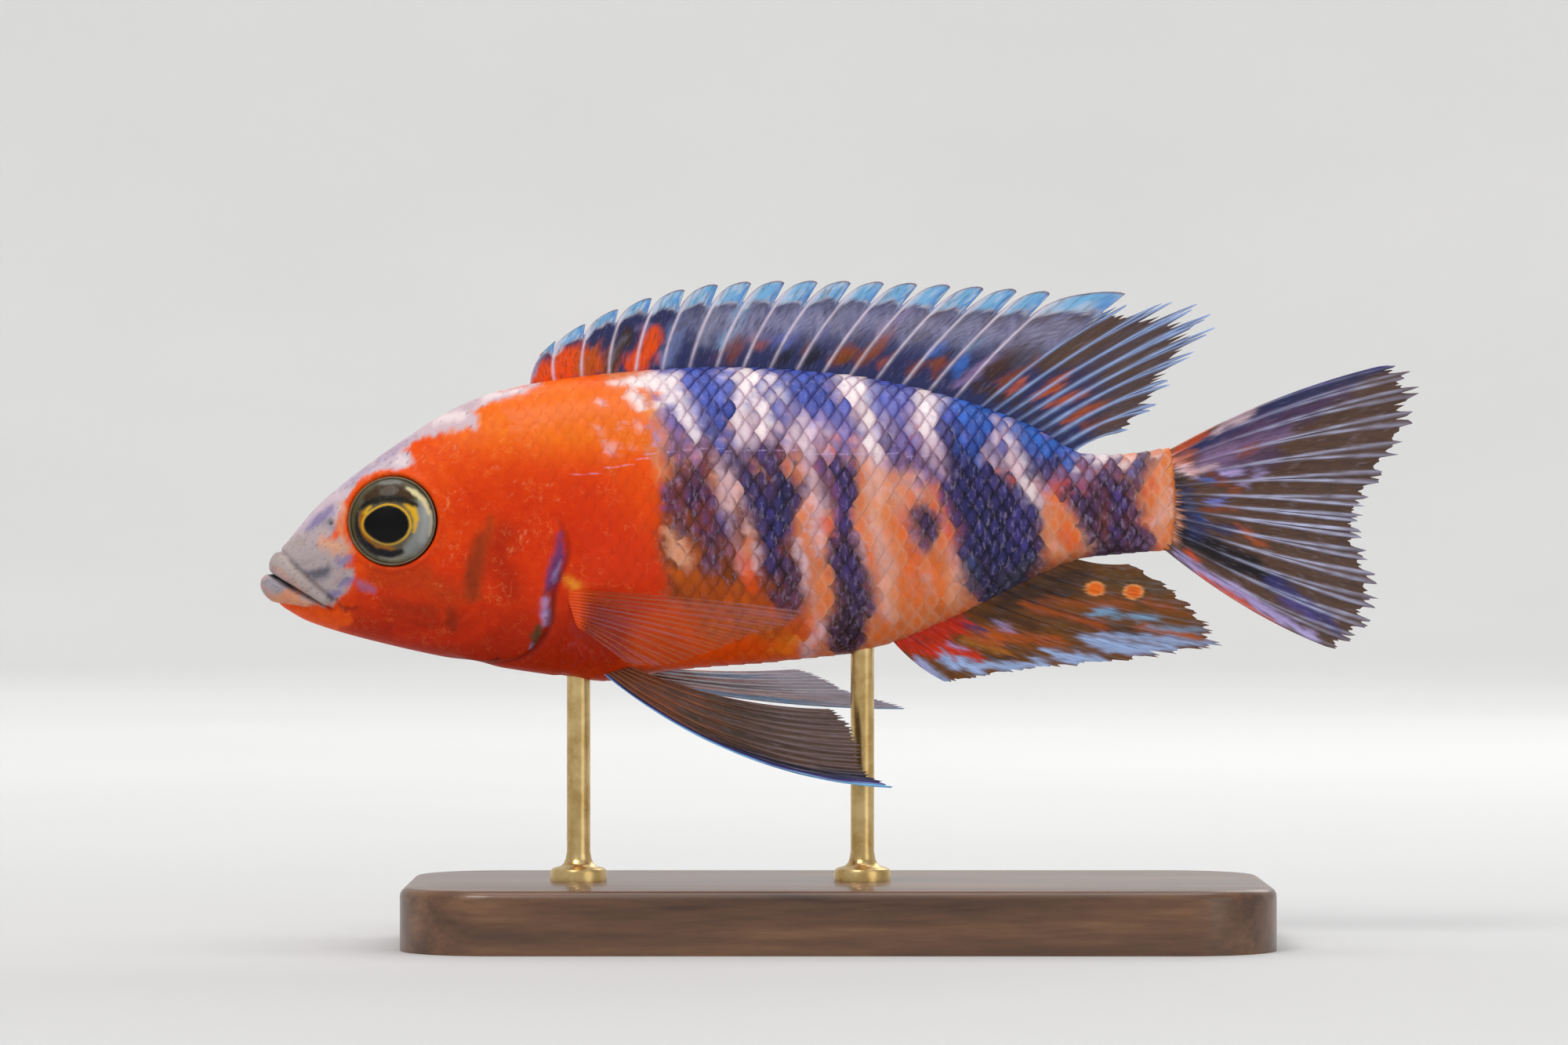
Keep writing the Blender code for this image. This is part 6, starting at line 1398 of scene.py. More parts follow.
def rayPoint(rays, index, share):
    root, tip = rays["root"][index][:, None], rays["tip"][index][:, None]
    bend = (root + tip) / 2 + rays["bow"][index][:, None]
    s = share[..., None]
    return root * (1 - s) ** 2 + bend * 2 * s * (1 - s) + tip * s * s


def layFin(rays, spiny, seed, fan):
    # grid of a fin: columns across its rays and rows out to its edge, with how much ray is at each point
    fan = finShape["fan"][fan]
    draw = np.random.default_rng(seed)
    count = len(rays["root"])
    soft = [step / finShape["softColumns"] for step in range(finShape["softColumns"])]
    index, share, branched = [], [], []
    for gap in range(count - 1):
        steps = finShape["spinyColumns"] if gap < spiny else soft
        index += [gap] * len(steps)
        share += list(steps)
        branched += [float(gap >= spiny)] * len(steps)
    index, share = np.array(index + [count - 2]), np.array(share + [1.0])
    branched = np.array(branched + [branched[-1]])
    rows = np.linspace(0, 1, finShape["rows"])
    forkStart, forkEnd = fan["fork"]
    split = fan["spread"] * ease(forkStart, forkEnd, rows)[None, :] * branched[:, None]
    twig = fan["twig"] * ease(forkStart + 0.3, 1.0, rows)[None, :] * branched[:, None]
    f = share[:, None]
    toRay = np.minimum(np.abs(np.abs(f - split) - twig), np.abs(np.abs(1 - f - split) - twig))
    lappet = alongLine(finShape["lappet"], share)
    jitter = draw.normal(0, 0.5, len(share))
    frayed = 1 - fan["fray"] * (1 - bump(toRay[:, -1], 0.06)) + fan["fray"] * 0.5 * jitter
    reach = np.where(branched > 0, np.minimum(frayed, 1.02), lappet)
    places = rows[None, :] * reach[:, None]
    near, far = rayPoint(rays, index, places), rayPoint(rays, index + 1, places)
    points = near + (far - near) * f[..., None]
    gapWidth = np.linalg.norm(far - near, axis=-1)
    rayWidth = np.where(branched > 0, fan["half"], finShape["spineHalf"])[:, None] * (1.15 - 0.4 * rows[None, :])
    ridge = bump(toRay * gapWidth, rayWidth)
    length = np.linalg.norm(rays["tip"] - rays["root"], axis=1).mean()
    lay = np.zeros(points.shape)
    lay[..., 0] = (index + share)[:, None] * gapWidth.mean()
    lay[..., 1] = places * length * finShape["fibreStretch"]
    return {"points": points, "ridge": ridge, "rows": np.broadcast_to(rows, ridge.shape), "lay": lay,
            "across": (index + share)[:, None] / (count - 1) + 0 * ridge, "share": f + 0 * ridge,
            "branched": branched[:, None] + 0 * ridge}


def makeFin(name, laid, colours, body, material, fleshy=0.0, wall=(0.3, 0.85)):
    points = laid["points"]
    columns, rows = points.shape[:2]
    deselectAll()
    bpy.ops.mesh.primitive_grid_add(x_subdivisions=columns - 1, y_subdivisions=rows - 1, size=1)
    piece = newPiece(name)
    flat = readPoints(piece)
    column = np.rint((flat[:, 0] + 0.5) * (columns - 1)).astype(int)
    row = np.rint((flat[:, 1] + 0.5) * (rows - 1)).astype(int)
    writePoints(piece, points[column, row])
    writeColours(piece, "paint", np.clip(colours[column, row], 0, 1))
    writeValues(piece, "body", np.clip(body[column, row], 0, 1))
    writeValues(piece, "ray", laid["ridge"][column, row])
    writeVectors(piece, "lay", laid["lay"][column, row] * toMetres)
    out = laid["rows"]
    thin, thick = wall
    depth = thin * (1 - 0.55 * out) + (thick - thin) * laid["ridge"] * (1 - 0.75 * out)
    depth = depth + fleshy * (1 - ease(0.0, 0.22, out)) * (1 - 0.85 * np.abs(2 * laid["across"] - 1) ** 4)
    depth = depth[column, row]
    group = piece.vertex_groups.new(name="depth")
    for vertex, weight in enumerate((depth / depth.max()).tolist()):
        group.add([vertex], weight, "REPLACE")
    solid = piece.modifiers.new("wall", "SOLIDIFY")
    solid.thickness = depth.max() * toMetres
    solid.offset = 0
    solid.vertex_group = "depth"
    applyModifiers(piece)
    piece.vertex_groups.clear()
    shadeSmooth(piece, 60)
    finishPiece(piece, material, (name[4:],))
    return piece


def sidePaint(laid, ground, marks, seed, streak=0.7):
    # membrane colours of an upright fin from brush strokes seen from the side, dragged along its rays
    points = laid["points"]
    drag = np.random.default_rng(seed).normal(0, streak, len(points) + 2)
    drag = drag[:-2] * 0.3 + drag[1:-1] * 0.4 + drag[2:] * 0.3
    along = np.gradient(points, axis=1)
    along /= np.linalg.norm(along, axis=-1, keepdims=True)
    points = points + along * drag[:, None, None]
    x, z = points[..., 0].ravel(), points[..., 2].ravel()
    x = x + 0.25 * ripple(x, z, 3.6, seed) + 0.1 * ripple(x, z, 1.3, seed + 1)
    z = z + 0.25 * ripple(x, z, 3.9, seed + 2) + 0.1 * ripple(x, z, 1.2, seed + 3)
    paint = np.tile(palette[ground], (x.size, 1))
    paintOn(x, z, paint, marks, 0.5)
    return paint[:, :3].reshape(points.shape)


def tint(colours, colour, mask):
    return colours + (colour - colours) * np.clip(mask, 0, 1)[..., None]


dorsalLook = {
    "band": [(-37.8, 74.2), (-34.8, 75.4), (-30.8, 77.8), (-26.8, 79.3), (-21.8, 80.3), (-11.8, 81), (6.6, 81.3),
             (8.8, 80.7), (26.7, 79.8), (48, 80.6)],
    "scallop": 0.9, "wave": 0.25,
}


def makeDorsal():
    spines, soft = finShape["spines"], finShape["softDorsal"]
    number = np.arange(spines["count"])
    rootX = spines["firstRoot"] + spines["rootPitch"] * number
    tipX = np.where(number == 0, spines["tips"][0], spines["tips"][1] + spines["tipPitch"] * (number - 1))
    softTips = alongPath([(x, 0, z) for x, z in soft["tips"]], np.linspace(0, 1, soft["count"]))
    rootX = np.concatenate([rootX, np.linspace(*soft["roots"], soft["count"])])
    rootZ = alongLine(bodyShape["backLine"], rootX) - finShape["rootDepth"]
    tipZ = alongLine(finShape["crest"], tipX) - spines["belowCrest"]
    tips = np.vstack([np.stack([tipX, 0 * tipX, tipZ], 1), softTips])
    bows = [(-spines["bow"], 0, 0)] * spines["count"] + [soft["bow"]] * soft["count"]
    rays = finRays(np.stack([rootX, 0 * rootX, rootZ], 1), tips, bows)
    laid = layFin(rays, spines["count"], 21, "dorsal")
    points, out, softPart = laid["points"], laid["rows"], laid["branched"]
    points[..., 1] += dorsalLook["wave"] * np.sin(points[..., 0] * 0.7) * out ** 2
    colours = sidePaint(laid, "navy", dorsalMarks, 201)
    x, z = points[..., 0], points[..., 2]
    streaks = ripple(x * 3, z * 0.6, 3.0, 61)
    streaks = ease(-0.4, 0.8, streaks) * ease(0.3, 0.55, out) * (1 - softPart)
    colours = tint(colours, tone("smoke"), 0.8 * softPart * ease(0.3, 0.7, out))
    scallop = dorsalLook["scallop"] * (1 - (2 * laid["share"] - 1) ** 2)
    overBand = z + 0.25 * ripple(x, z, 2.2, 65) - alongLine(dorsalLook["band"], x) - scallop
    lappet = ease(-0.35, 0.35, overBand) * (1 - softPart)
    veil = bump(overBand + 2.6, 2.4) * ease(-21, -15, x) * (0.6 + 0.4 * streaks) * (1 - softPart)
    colours = tint(colours, tone("mistGrey"), veil)
    colours = tint(colours, tone("skyBlue") * 0.9, 0.95 * lappet)
    pale = ease(0.1, 0.8, ripple(laid["lay"][..., 0] * 3, laid["lay"][..., 1] * 3, 1.6, 64))
    colours = tint(colours, tone("azure"), 0.55 * lappet * ease(0.45, 0.8, laid["share"]) * (1 - pale))
    colours = tint(colours, tone("pearl"), 0.5 * lappet * np.maximum(0.7 * pale, ease(0.3, 0.05, laid["share"])))
    colours = tint(colours, tone("pearl"), 0.35 * bump(overBand + 0.1, 0.16) * (1 - softPart))
    rayTone = (tone("pearl") * 0.6 + tone("lilac") * 0.4) * (1 - softPart[..., None])
    rayTone = rayTone + (tone("skyBlue") * 0.55 + tone("lilac") * 0.45) * softPart[..., None]
    strength = laid["ridge"] * (0.7 + 0.25 * ease(0.3, 0.8, out) + 0.15 * ripple(x, z, 2.0, 66))
    colours = colours + (rayTone - colours) * np.clip(strength, 0, 1)[..., None]
    colours = tint(colours, tone("rust"), 0.8 * ease(0.975, 0.992, out) * (1 - softPart))
    colours = tint(colours, tone("navy"), 0.6 * ease(0.16, 0.02, out - 0.06))
    body = 1 - 0.07 * (1 - laid["ridge"]) * ease(0.2, 0.7, out) * (1 + softPart)
    makeFin("fin_dorsal_fin", laid, colours, body, finMaterial, 0.6)


def makeCaudal():
    shape = finShape["caudal"]
    share = np.linspace(0, 1, shape["count"])
    rootZ = shape["roots"][0] + (shape["roots"][1] - shape["roots"][0]) * share
    roots = np.stack([0 * share + shape["rootX"], 0 * share, rootZ], 1)
    tips = alongPath([(x, 0, z) for x, z in shape["tips"]], share)
    bows = np.stack([0 * share, 0 * share, shape["bow"] * (1 - 2 * share)], 1)
    laid = layFin(finRays(roots, tips, bows), 0, 22, "caudal")
    points, out = laid["points"], laid["rows"]
    points[..., 1] += shape["sway"] * out ** 2 * np.sin(math.pi * laid["across"])
    points[..., 1] += 0.2 * out * np.sin(laid["across"] * 40)
    colours = sidePaint(laid, "smoke", caudalMarks, 211)
    x, z = points[..., 0], points[..., 2]
    rayTone = tone("lilac") * 0.4 + tone("skyBlue") * 0.3 + tone("pearl") * 0.3
    middle = 1 - 0.75 * np.abs(2 * laid["across"] - 1) ** 2.5        # the outer rays are dark
    strength = laid["ridge"] * middle * (0.15 + 0.75 * ease(0.22, 0.5, out) * (1 - 0.5 * ease(0.85, 1, out)))
    strength = strength * (0.95 + 0.3 * ripple(x * 0.6, z * 2, 2.4, 67)) * (0.6 + 0.4 * laid["ridge"])
    colours = colours + (rayTone - colours) * np.clip(strength, 0, 0.95)[..., None]
    body = 1 - 0.12 * (1 - laid["ridge"]) * ease(0.35, 0.8, out)
    makeFin("fin_caudal_fin", laid, colours, body, finMaterial, 1.9)


def makeAnal():
    shape = finShape["anal"]
    rootX = np.linspace(*shape["roots"], shape["count"])
    rootZ = alongLine(bodyShape["bellyLine"], rootX) + finShape["rootDepth"]
    tips = alongPath([(x, 0, z) for x, z in shape["tips"]], np.linspace(0, 1, shape["count"]))
    rays = finRays(np.stack([rootX, 0 * rootX, rootZ], 1), tips, [shape["bow"]] * shape["count"])
    laid = layFin(rays, 0, 23, "anal")
    points, out = laid["points"], laid["rows"]
    points[..., 1] += 0.25 * out ** 2 * np.sin(points[..., 0] * 0.6)
    colours = sidePaint(laid, "ochre", analMarks, 221, 0.9)
    x, z = points[..., 0], points[..., 2]
    strength = laid["ridge"] * (0.06 + 0.1 * out + 0.06 * ripple(x, z, 2.2, 68))
    colours = colours + (tone("skyGrey") - colours) * np.clip(strength, 0, 1)[..., None]
    for spotX, spotZ in shape["spots"]:
        toSpot = np.hypot((x - spotX) / 1.3, (z - spotZ) / 1.0)
        colours = tint(colours, tone("amber") * 0.5 + tone("peach") * 0.5, 1 - ease(0.92, 1.05, toSpot))
        colours = tint(colours, tone("tangerine"), 1 - ease(0.66, 0.84, toSpot))
    body = 1 - 0.08 * (1 - laid["ridge"]) * ease(0.2, 0.8, laid["across"])
    makeFin("fin_anal_fin", laid, colours, body, finMaterial, 0.8)


def pairedRays(shape, tips, bow, side):
    share = np.linspace(0, 1, shape["count"])
    roots = np.array(shape["roots"][0]) + np.outer(share, np.subtract(shape["roots"][1], shape["roots"][0]))
    ends = alongPath(tips, share)
    bows = np.outer(1 - (1 - finShape["bowLeft"]) * share, bow)
    mirror = np.array([1, side, 1])
    return finRays(roots * mirror, ends * mirror, bows * mirror)


def blendStops(value, stops):
    places = [place for place, _ in stops]
    tones = np.array([tone(name) for _, name in stops])
    return np.stack([np.interp(value, places, tones[:, channel]) for channel in range(3)], axis=-1)


pelvicLook = {
    "dark": {"left": 0.5, "right": 0.4},                            # how far out the brown root reaches
    "left": [(0.0, "skyBlue"), (0.03, "skyBlue"), (0.06, "violet"), (0.1, "navy"), (0.2, "night"), (0.27, "smoke"),
             (0.42, "umber"), (0.58, "smoke"), (0.8, "umber"), (1.0, "smoke")],
    # the right fin's pale tones are partly its own colour and partly painted light, brightening the far fin that sits
    # in shade
    "right": [(0.0, "pearl"), (0.1, "skyBlue"), (0.25, "pearl"), (0.35, "frost"), (0.5, "slate"), (0.7, "frost"),
              (0.85, "skyBlue"), (1.0, "pearl")],
}


def makePelvics():
    shape = finShape["pelvic"]
    for name, side in (("left", -1), ("right", 1)):
        laid = layFin(pairedRays(shape, shape[name]["tips"], shape[name]["bow"], side), 0, 24 + side, "pelvic")
        across, out = laid["across"], laid["rows"]
        wobble = 0.02 * ripple(out * 30, across * 30, 8, 81)
        colours = blendStops(across + wobble, pelvicLook[name])
        near = 1 - ease(0.1, pelvicLook["dark"][name], out + wobble * 4)
        colours = tint(colours, tone("smoke"), 0.9 * near * ease(0.08, 0.2, across))
        colours = tint(colours, tone("rust"), 0.6 * near * ease(0.12, 0.25, across))
        streaks = ease(0.0, 0.8, ripple(across * 90, out * 5, 3, 83))
        colours = tint(colours, tone("umber"), 0.35 * streaks * ease(0.2, 0.3, across) * (side < 0))
        inner = (1 - ease(0.3, 0.7, out)) * ease(0.1, 0.2, across)
        colours = tint(colours, tone("peach"), 0.22 * laid["ridge"] * inner)
        colours = tint(colours, tone("frost"), 0.22 * laid["ridge"] * ease(0.4, 0.8, out))
        # pale tips on the right fin only: partly its colour, partly painted light
        colours = tint(colours, tone("iceBlue") * 0.5 + tone("pearl") * 0.5, 0.9 * (side > 0) * ease(0.6, 0.85, out))
        colours = tint(colours, tone("skyBlue"), 0.9 * (1 - ease(0.02, 0.05, across)) * ease(0.2, 0.45, out))
        clear = 0.15 if side < 0 else 0.5
        body = 1 - clear * (1 - laid["ridge"]) * ease(0.1, 0.5, across)
        makeFin("fin_pelvic_fin_" + name, laid, colours, body, finMaterial, 0.6)


def makePectorals():
    shape = finShape["pectoral"]
    for name, side in (("left", -1), ("right", 1)):
        laid = layFin(pairedRays(shape, shape["tips"], shape["bow"], side), 0, 34 + side, "pectoral")
        out = laid["rows"]
        colours = np.tile(tone("rust"), (*out.shape, 1))
        colours = tint(colours, tone("peach") * 0.6, 0.6 * laid["ridge"] * ease(0.1, 0.5, out))
        colours = tint(colours, tone("mauve"), 0.4 * ease(0.1, 0.9, ripple(laid["across"] * 50, out * 5, 4, 91)))
        colours = tint(colours, tone("orange"), 0.9 * (1 - ease(0.04, 0.2, out)))
        body = 0.13 + 0.3 * laid["ridge"] * (1 - 0.3 * out) + 0.8 * (1 - ease(0.02, 0.14, out))
        makeFin("fin_pectoral_fin_" + name, laid, colours, body, finMaterial, 0.7, (0.22, 0.5))


# Eyes
eyeShape = {
    "middle": (-56.3, 6.05, 53.8), "radius": 5.55, "outer": 2.2, "inner": 3.4, "yaw": 7.0, "roll": 4.0,
    "pupil": (-0.39, -0.54), "pupilHalf": (2.79, 2.39), "pupilPoint": 0.1,
    "segments": 128, "rings": 96,
    "rimRadius": 5.5, "rimHalf": 0.13,
}
eyeMarks = [
    ("eyeSteel", 0.9, 0.6, [(-4.4, 2.6, 0.6), (-3.2, 4.1, 0.7), (-1.6, 4.8, 0.4)]),
    ("eyeSilver", 0.5, 0.7, [(-1.4, 4.7, 0.3), (0.8, 4.8, 0.3)]),
    ("eyeOlive", 0.9, 0.5, [(-4.6, 1.8, 0.5), (-4.9, 0.2, 0.6), (-4.6, -2.0, 0.6)]),
    ("eyeBrown", 1, 0.6, [(-3.2, 2.9, 0.5), (-1.6, 3.7, 0.8), (0.6, 3.8, 0.85), (2.4, 3.0, 0.5)]),
    ("eyeSteel", 0.6, 0.4, [(-1.3, 3.3, 0.12), (-1.5, 4.3, 0.12)]),
    ("eyeSteel", 0.6, 0.4, [(0.3, 3.4, 0.12), (0.4, 4.4, 0.12)]),
    ("eyeGrey", 1, 0.8, [(3.9, 2.0, 0.7), (4.2, -0.2, 1.0), (3.9, -2.2, 1.1), (2.6, -3.9, 1.0)]),
    ("eyeSilver", 0.85, 0.6, [(4.3, 1.2, 0.3), (4.5, -0.6, 0.5), (4.0, -2.4, 0.5)]),
    ("eyePale", 0.9, 0.3, [(4.9, 1.2, 0.15), (5.1, -0.1, 0.2), (4.9, -1.8, 0.15)]),
    ("eyeGrey", 0.9, 0.5, [(-4.5, -2.6, 0.3), (-3.7, -3.8, 0.4), (-2.4, -4.5, 0.4)]),
    ("eyeSilver", 0.9, 0.5, [(-1.4, -4.75, 0.3), (0.9, -5.0, 0.4), (2.9, -4.3, 0.35)]),
    ("eyePale", 0.8, 0.3, [(-0.3, -5.0, 0.15), (1.8, -4.9, 0.18)]),
    ("eyeAmber", 1, 0.4, [(-3.5, 1.2, 0.25), (-3.8, 0.0, 0.4), (-3.65, -1.6, 0.45), (-2.1, -3.3, 0.3), (0.4, -3.6, 0.2)]),
    ("eyeGold", 0.85, 0.3, [(-2.65, 1.81, 0.2), (-3.3, 1.0, 0.25)]),
    ("eyeGold", 0.95, 0.4, [(1.9, 2.0, 0.2), (2.9, 1.3, 0.45), (3.3, 0.1, 0.3), (3.0, -1.4, 0.15)]),
    # painted reflection: dark band over the top of the pupil
    ("eyeDarkReflection", 1, 0.35, [(-4.0, 1.5, 0.2), (-2.95, 2.25, 0.4), (-0.89, 2.8, 0.45), (1.46, 2.65, 0.4), (3.3, 1.9, 0.22)]),
    ("night", 1, 0.3, [(-4.45, 0.9, 0.15), (-4.5, -0.8, 0.35), (-3.95, -2.4, 0.5), (-2.2, -3.85, 0.55), (0.2, -4.3, 0.45),
                       (1.4, -3.9, 0.25)]),
    # painted highlight: pale streak at the upper right of the eye
    ("eyeHighlightCream", 1, 0.25, [(1.9, 4.2, 0.12), (2.9, 3.6, 0.32), (4.1, 2.54, 0.32), (4.83, 0.9, 0.15)]),
]


def eyeTones(x, z):
    paint = np.tile(palette["eyeSteel"], (len(x), 1))
    warpX = x + 0.05 * ripple(x, z, 1.2, 301) + 0.02 * ripple(x, z, 0.5, 303)
    warpZ = z + 0.05 * ripple(x, z, 1.3, 302) + 0.02 * ripple(x, z, 0.5, 304)
    paintOn(warpX, warpZ, paint, eyeMarks, 0.15)
    main = paint[:, :3]
    away = np.hypot(x, z) / eyeShape["radius"]
    # painted shade: the outer ring darkens to olive towards the lower left
    main = tint(main, tone("eyeOlive"), 0.75 * ease(0.8, 0.93, away) * ease(1.5, -3.5, x + z))
    px, pz = pupilPlace(x, z)
    gold = bump(np.hypot(px, pz) - 1.06, 0.055)
    main = tint(main, tone("eyeGold") * 1.15, gold * (0.75 + 0.25 * np.cos(np.arctan2(pz, px) - 0.9)))
    return tint(main, tone("eyeOlive"), 0.8 * ease(0.95, 0.99, away))


def pupilPlace(x, z):
    # place from the middle of the pupil in pupil radii, a little longer towards the snout
    px = (x - eyeShape["pupil"][0]) / eyeShape["pupilHalf"][0]
    pz = (z - eyeShape["pupil"][1]) / eyeShape["pupilHalf"][1]
    longer = 1 + eyeShape["pupilPoint"] * np.clip(-px, 0, 1) ** 3
    return px / longer, pz * (1 + 0.12 * np.clip(-px, 0, 1))


def placeOnHead(points, side):
    yaw = np.array(Matrix.Rotation(math.radians(eyeShape["yaw"]), 3, "Z"))
    roll = np.array(Matrix.Rotation(math.radians(eyeShape["roll"]), 3, "X"))
    placed = points @ (yaw @ roll).T + np.array(eyeShape["middle"])
    return placed * (1, side, 1)


def makeEye(name, side):
    shape = eyeShape
    deselectAll()
    bpy.ops.mesh.primitive_uv_sphere_add(segments=shape["segments"], ring_count=shape["rings"], radius=1)
    piece = newPiece("eyeball_" + name)
    ball = readPoints(piece)
    x, z, out = ball[:, 0] * shape["radius"], -side * ball[:, 1] * shape["radius"], ball[:, 2]
    px, pz = pupilPlace(x, z)
    pupil = 1 - ease(0.96, 1.02, np.hypot(px, pz))
    bulge = 0.12 * (1 - ease(0.0, 1.1, np.hypot(px, pz)))
    depth = np.where(out > 0, shape["outer"] * out + bulge, shape["inner"] * out)
    writePoints(piece, placeOnHead(np.stack([x, depth, z], 1), side))
    writeColours(piece, "paint", eyeTones(x, z))
    writeValues(piece, "pupil", pupil * (out > 0))
    shadeSmooth(piece)
    finishPiece(piece, eyeFinish(), ("eye_" + name,))


def makeEyeRim(name, side):
    # soft ring of skin round the eyeball
    shape = eyeShape
    deselectAll()
    bpy.ops.mesh.primitive_torus_add(major_segments=120, minor_segments=16, major_radius=shape["rimRadius"],
                                     minor_radius=shape["rimHalf"])
    piece = newPiece("eyeRim_" + name)
    ring = readPoints(piece)
    angle = np.arctan2(-side * ring[:, 1], ring[:, 0])
    lift = 0.62 + 0.1 * np.sin(angle * 2 + 0.6)
    out = ring[:, 2] * 0.9 + lift
    writePoints(piece, placeOnHead(np.stack([ring[:, 0], out, -side * ring[:, 1]], 1), side))
    tones = np.tile(tone("eyeSteel") * 1.7, (len(ring), 1))
    warm = ease(0.3, 0.9, ripple(ring[:, 0], ring[:, 1], 3.0, 95))
    writeColours(piece, "paint", tint(tones, tone("ochre"), 0.4 * warm))
    shadeSmooth(piece)
    finishPiece(piece, skinFinish())


# Stand
standShape = {
    "size": (110, 52, 8), "corner": 12, "chamfer": 1.2,
    "rods": {"front": (-33.0, 34.1), "rear": (3.2, 37.6)}, "rodRadius": 1.5,       # x and top of each rod
    "collar": [(3.6, 0.0), (3.6, 1.2), (3.45, 1.55), (3.1, 1.75), (2.3, 1.95), (1.9, 2.3), (1.65, 2.9),
               (1.5, 3.8)],
    "sides": 64,
}


def makeBase():
    deselectAll()
    width, depth, height = standShape["size"]
    bpy.ops.mesh.primitive_cube_add(size=1, location=(0, 0, 0))
    piece = newPiece("standBase")
    writePoints(piece, readPoints(piece) * (width, depth, height) + (0, 0, height / 2))
    for size, steps, upright in ((standShape["corner"], 14, True), (standShape["chamfer"], 5, False)):
        bpy.context.view_layer.objects.active = piece
        bpy.ops.object.mode_set(mode="EDIT")
        bpy.ops.mesh.select_mode(type="EDGE")
        bpy.ops.mesh.select_all(action="DESELECT")
        bpy.ops.object.mode_set(mode="OBJECT")
        for edge in piece.data.edges:
            ends = [piece.data.vertices[corner].co.z for corner in edge.vertices]
            standing = abs(ends[0] - ends[1]) > 0.5 * height * toMetres
            above = min(ends) > 0.9 * height * toMetres
            edge.select = standing if upright else above
        bpy.ops.object.mode_set(mode="EDIT")
        bpy.ops.mesh.bevel(offset=size * toMetres, segments=steps, affect="EDGES")
        bpy.ops.object.mode_set(mode="OBJECT")
    shadeSmooth(piece, 30)
    finishPiece(piece, woodFinish(), ("stand_base",))


def makeRod(name, x, top):
    # a cylinder cut ring by ring and widened into the collar at its foot
    deselectAll()
    sides, base = standShape["sides"], standShape["size"][2] - 0.1
    profile = [(radius, base + height) for radius, height in standShape["collar"]]
    profile += [(standShape["rodRadius"], top)]
    bpy.ops.mesh.primitive_cylinder_add(vertices=sides, radius=1, depth=2, end_fill_type="TRIFAN")
    piece = newPiece("standRod_" + name)
    bpy.ops.object.mode_set(mode="EDIT")
    bpy.ops.mesh.select_all(action="SELECT")
    bpy.ops.object.mode_set(mode="OBJECT")
    start = readPoints(piece)
    radius = np.where(start[:, 2] < 0, profile[0][0], profile[-1][0])
    height = np.where(start[:, 2] < 0, profile[0][1], profile[-1][1])
    writePoints(piece, np.stack([start[:, 0] * radius + x, start[:, 1] * radius, height], 1))
    for ringRadius, ringHeight in profile[1:-1]:
        bpy.ops.object.mode_set(mode="EDIT")
        bpy.ops.mesh.select_all(action="SELECT")
        bpy.ops.mesh.bisect(plane_co=(0, 0, ringHeight * toMetres), plane_no=(0, 0, 1))
        bpy.ops.object.mode_set(mode="OBJECT")
    points = readPoints(piece) / toMetres
    wanted = np.interp(points[:, 2], [p[1] for p in profile], [p[0] for p in profile])
    away = np.hypot(points[:, 0] - x, points[:, 1])
    scale = np.where(away > 0.01, wanted / np.maximum(away, 0.01), 0)
    points[:, 0] = x + (points[:, 0] - x) * scale
    points[:, 1] *= scale
    writePoints(piece, points)
    shadeSmooth(piece, 35)
    finishPiece(piece, brassMaterial, ("stand_rod_" + name,))


# Studio
studio = {
    "cameraAt": (-6.8, -850, 53.65), "width": 200, "sensor": 36,
    "room": 3.0, "roomHeight": 3.2, "coveRadius": 1.4,
    # place, aim, size and power of each lamp, in metres and watts
    "lights": {"key": ((-0.4, -0.7, 0.95), (0, 0, 0.055), 0.5, 5.2),
               "fill": ((0.75, -0.8, 0.35), (0, 0, 0.055), 0.7, 1.2),
               "top": ((0.05, 0.1, 1.0), (0, 0, 0.055), 0.8, 3.2),
               "rim": ((0.4, 0.75, 0.55), (0, 0, 0.055), 0.5, 1.4),
               "backdrop": ((0, 0.6, 1.6), (0, 3.0, 0.6), 0.9, 28.0),
               "backdropFront": ((0, -0.6, 1.6), (0, -3.0, 0.9), 0.9, 14.0),
               "backdropLeft": ((-0.6, 0, 1.6), (-3.0, 0, 0.9), 0.9, 12.0),
               "backdropRight": ((0.6, 0, 1.6), (3.0, 0, 0.9), 0.9, 12.0)},
    "world": 0.6,
}


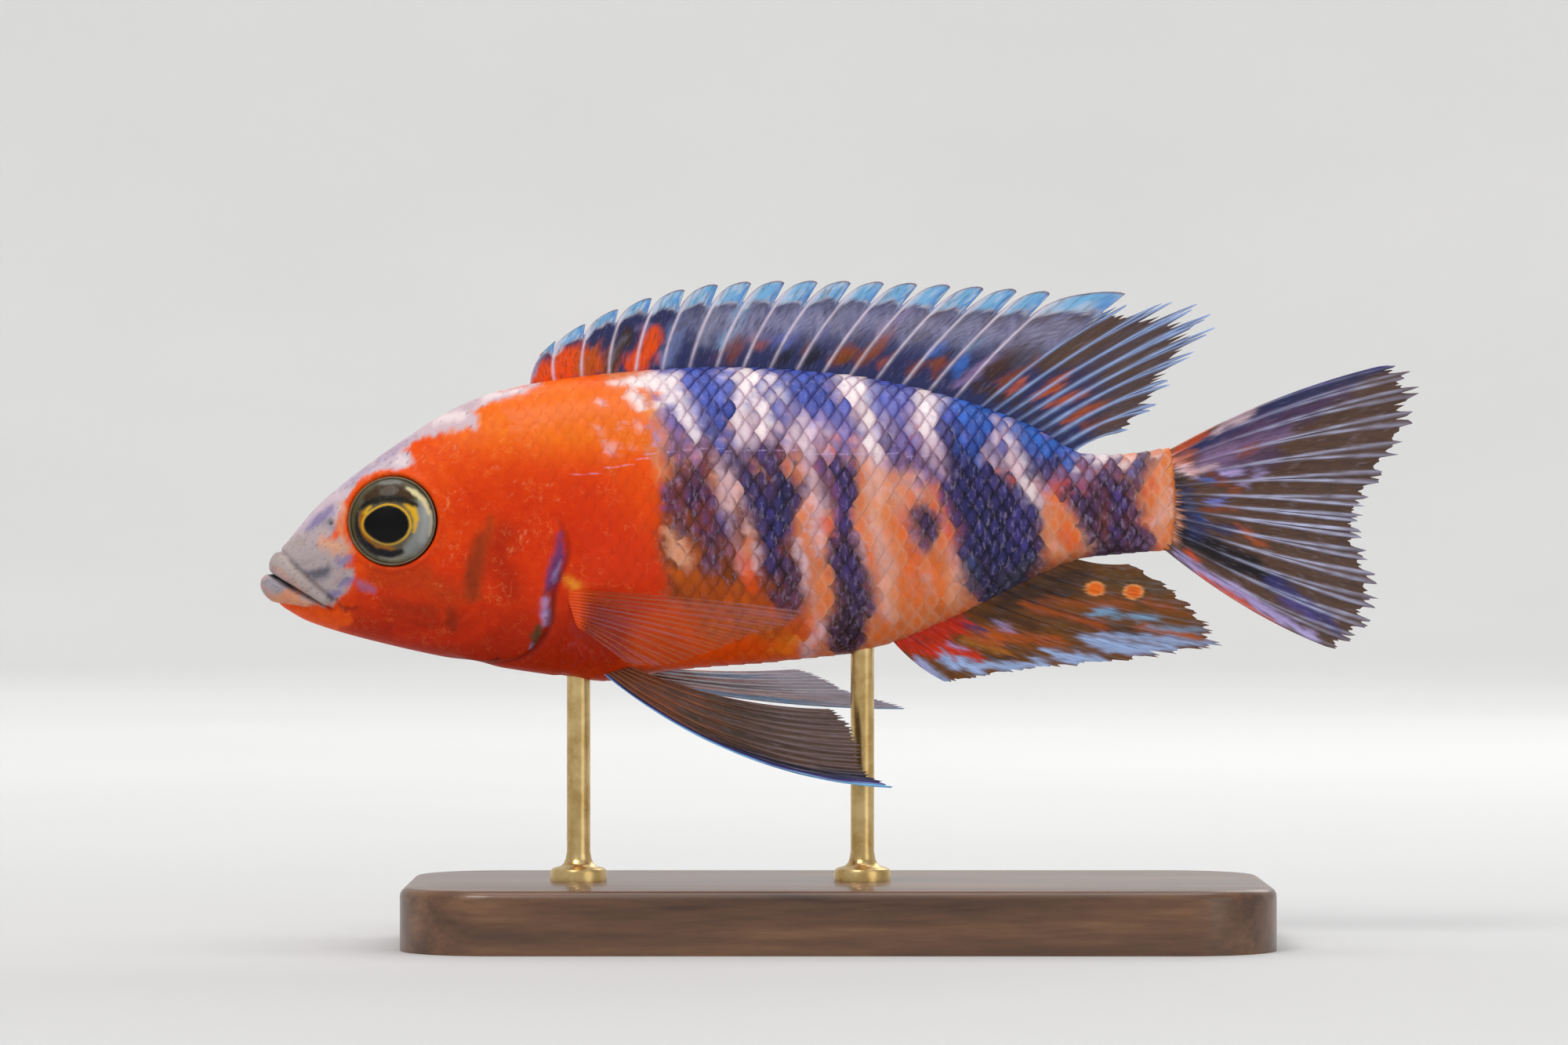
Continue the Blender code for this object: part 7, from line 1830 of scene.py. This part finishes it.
def makeStudio():
    deselectAll()
    bpy.ops.mesh.primitive_cylinder_add(vertices=96, radius=studio["room"], depth=studio["roomHeight"],
                                        end_fill_type="NGON")
    room = newPiece("room")
    bpy.ops.object.mode_set(mode="EDIT")
    bpy.ops.mesh.select_all(action="SELECT")
    bpy.ops.transform.translate(value=(0, 0, studio["roomHeight"] / 2))
    bpy.ops.mesh.flip_normals()
    bpy.ops.mesh.select_all(action="DESELECT")
    bpy.ops.object.mode_set(mode="OBJECT")
    for face in room.data.polygons:
        face.select = face.center.z > studio["roomHeight"] * 0.9
    bpy.ops.object.mode_set(mode="EDIT")
    bpy.ops.mesh.delete(type="ONLY_FACE")
    bpy.ops.mesh.select_mode(type="EDGE")
    bpy.ops.mesh.select_all(action="DESELECT")
    bpy.ops.object.mode_set(mode="OBJECT")
    for edge in room.data.edges:
        edge.select = all(room.data.vertices[corner].co.z < 0.01 for corner in edge.vertices)
    bpy.ops.object.mode_set(mode="EDIT")
    bpy.ops.mesh.bevel(offset=studio["coveRadius"], segments=24, affect="EDGES")
    bpy.ops.object.mode_set(mode="OBJECT")
    shadeSmooth(room)
    room.data.materials.append(floorFinish())
    for name, (place, target, size, power) in studio["lights"].items():
        lamp = bpy.data.lights.new(name, "AREA")
        lamp.shape = "DISK"
        lamp.size = size
        lamp.energy = power
        holder = bpy.data.objects.new(name, lamp)
        holder.location = place
        aim = Vector(target) - Vector(place)
        holder.rotation_euler = aim.to_track_quat("-Z", "Y").to_euler()
        bpy.context.scene.collection.objects.link(holder)
    world = bpy.data.worlds.new("studio")
    world.use_nodes = True
    world.node_tree.nodes["Background"].inputs["Color"].default_value = (1, 1, 1, 1)
    world.node_tree.nodes["Background"].inputs["Strength"].default_value = studio["world"]
    bpy.context.scene.world = world
    lens = bpy.data.cameras.new("camera")
    lens.sensor_width = studio["sensor"]
    lens.lens = studio["sensor"] * abs(studio["cameraAt"][1]) / studio["width"]
    lens.clip_start, lens.clip_end = 0.01, 20
    camera = bpy.data.objects.new("camera", lens)
    camera.location = Vector(studio["cameraAt"]) * toMetres
    camera.rotation_euler = (math.pi / 2, 0, 0)
    bpy.context.scene.collection.objects.link(camera)
    bpy.context.scene.camera = camera
    bpy.context.scene.view_settings.view_transform = "Standard"


coatFinish = scaleFinish()
finMaterial = finFinish("finMembrane")
brassMaterial = brassFinish()
makeStudio()
print("studio ready")
makeSkin()
print("skin ready")
makeCoat("scales_left", -1)
makeCoat("scales_right", 1)
print("scales ready")
makeDorsal()
makeCaudal()
makeAnal()
makePelvics()
makePectorals()
print("fins ready")
for sideName, sideSign in (("left", -1), ("right", 1)):
    makeEye(sideName, sideSign)
    makeEyeRim(sideName, sideSign)
print("eyes ready")
makeBase()
for rodName, (rodX, rodTop) in standShape["rods"].items():
    makeRod(rodName, rodX, rodTop)
print("stand ready")
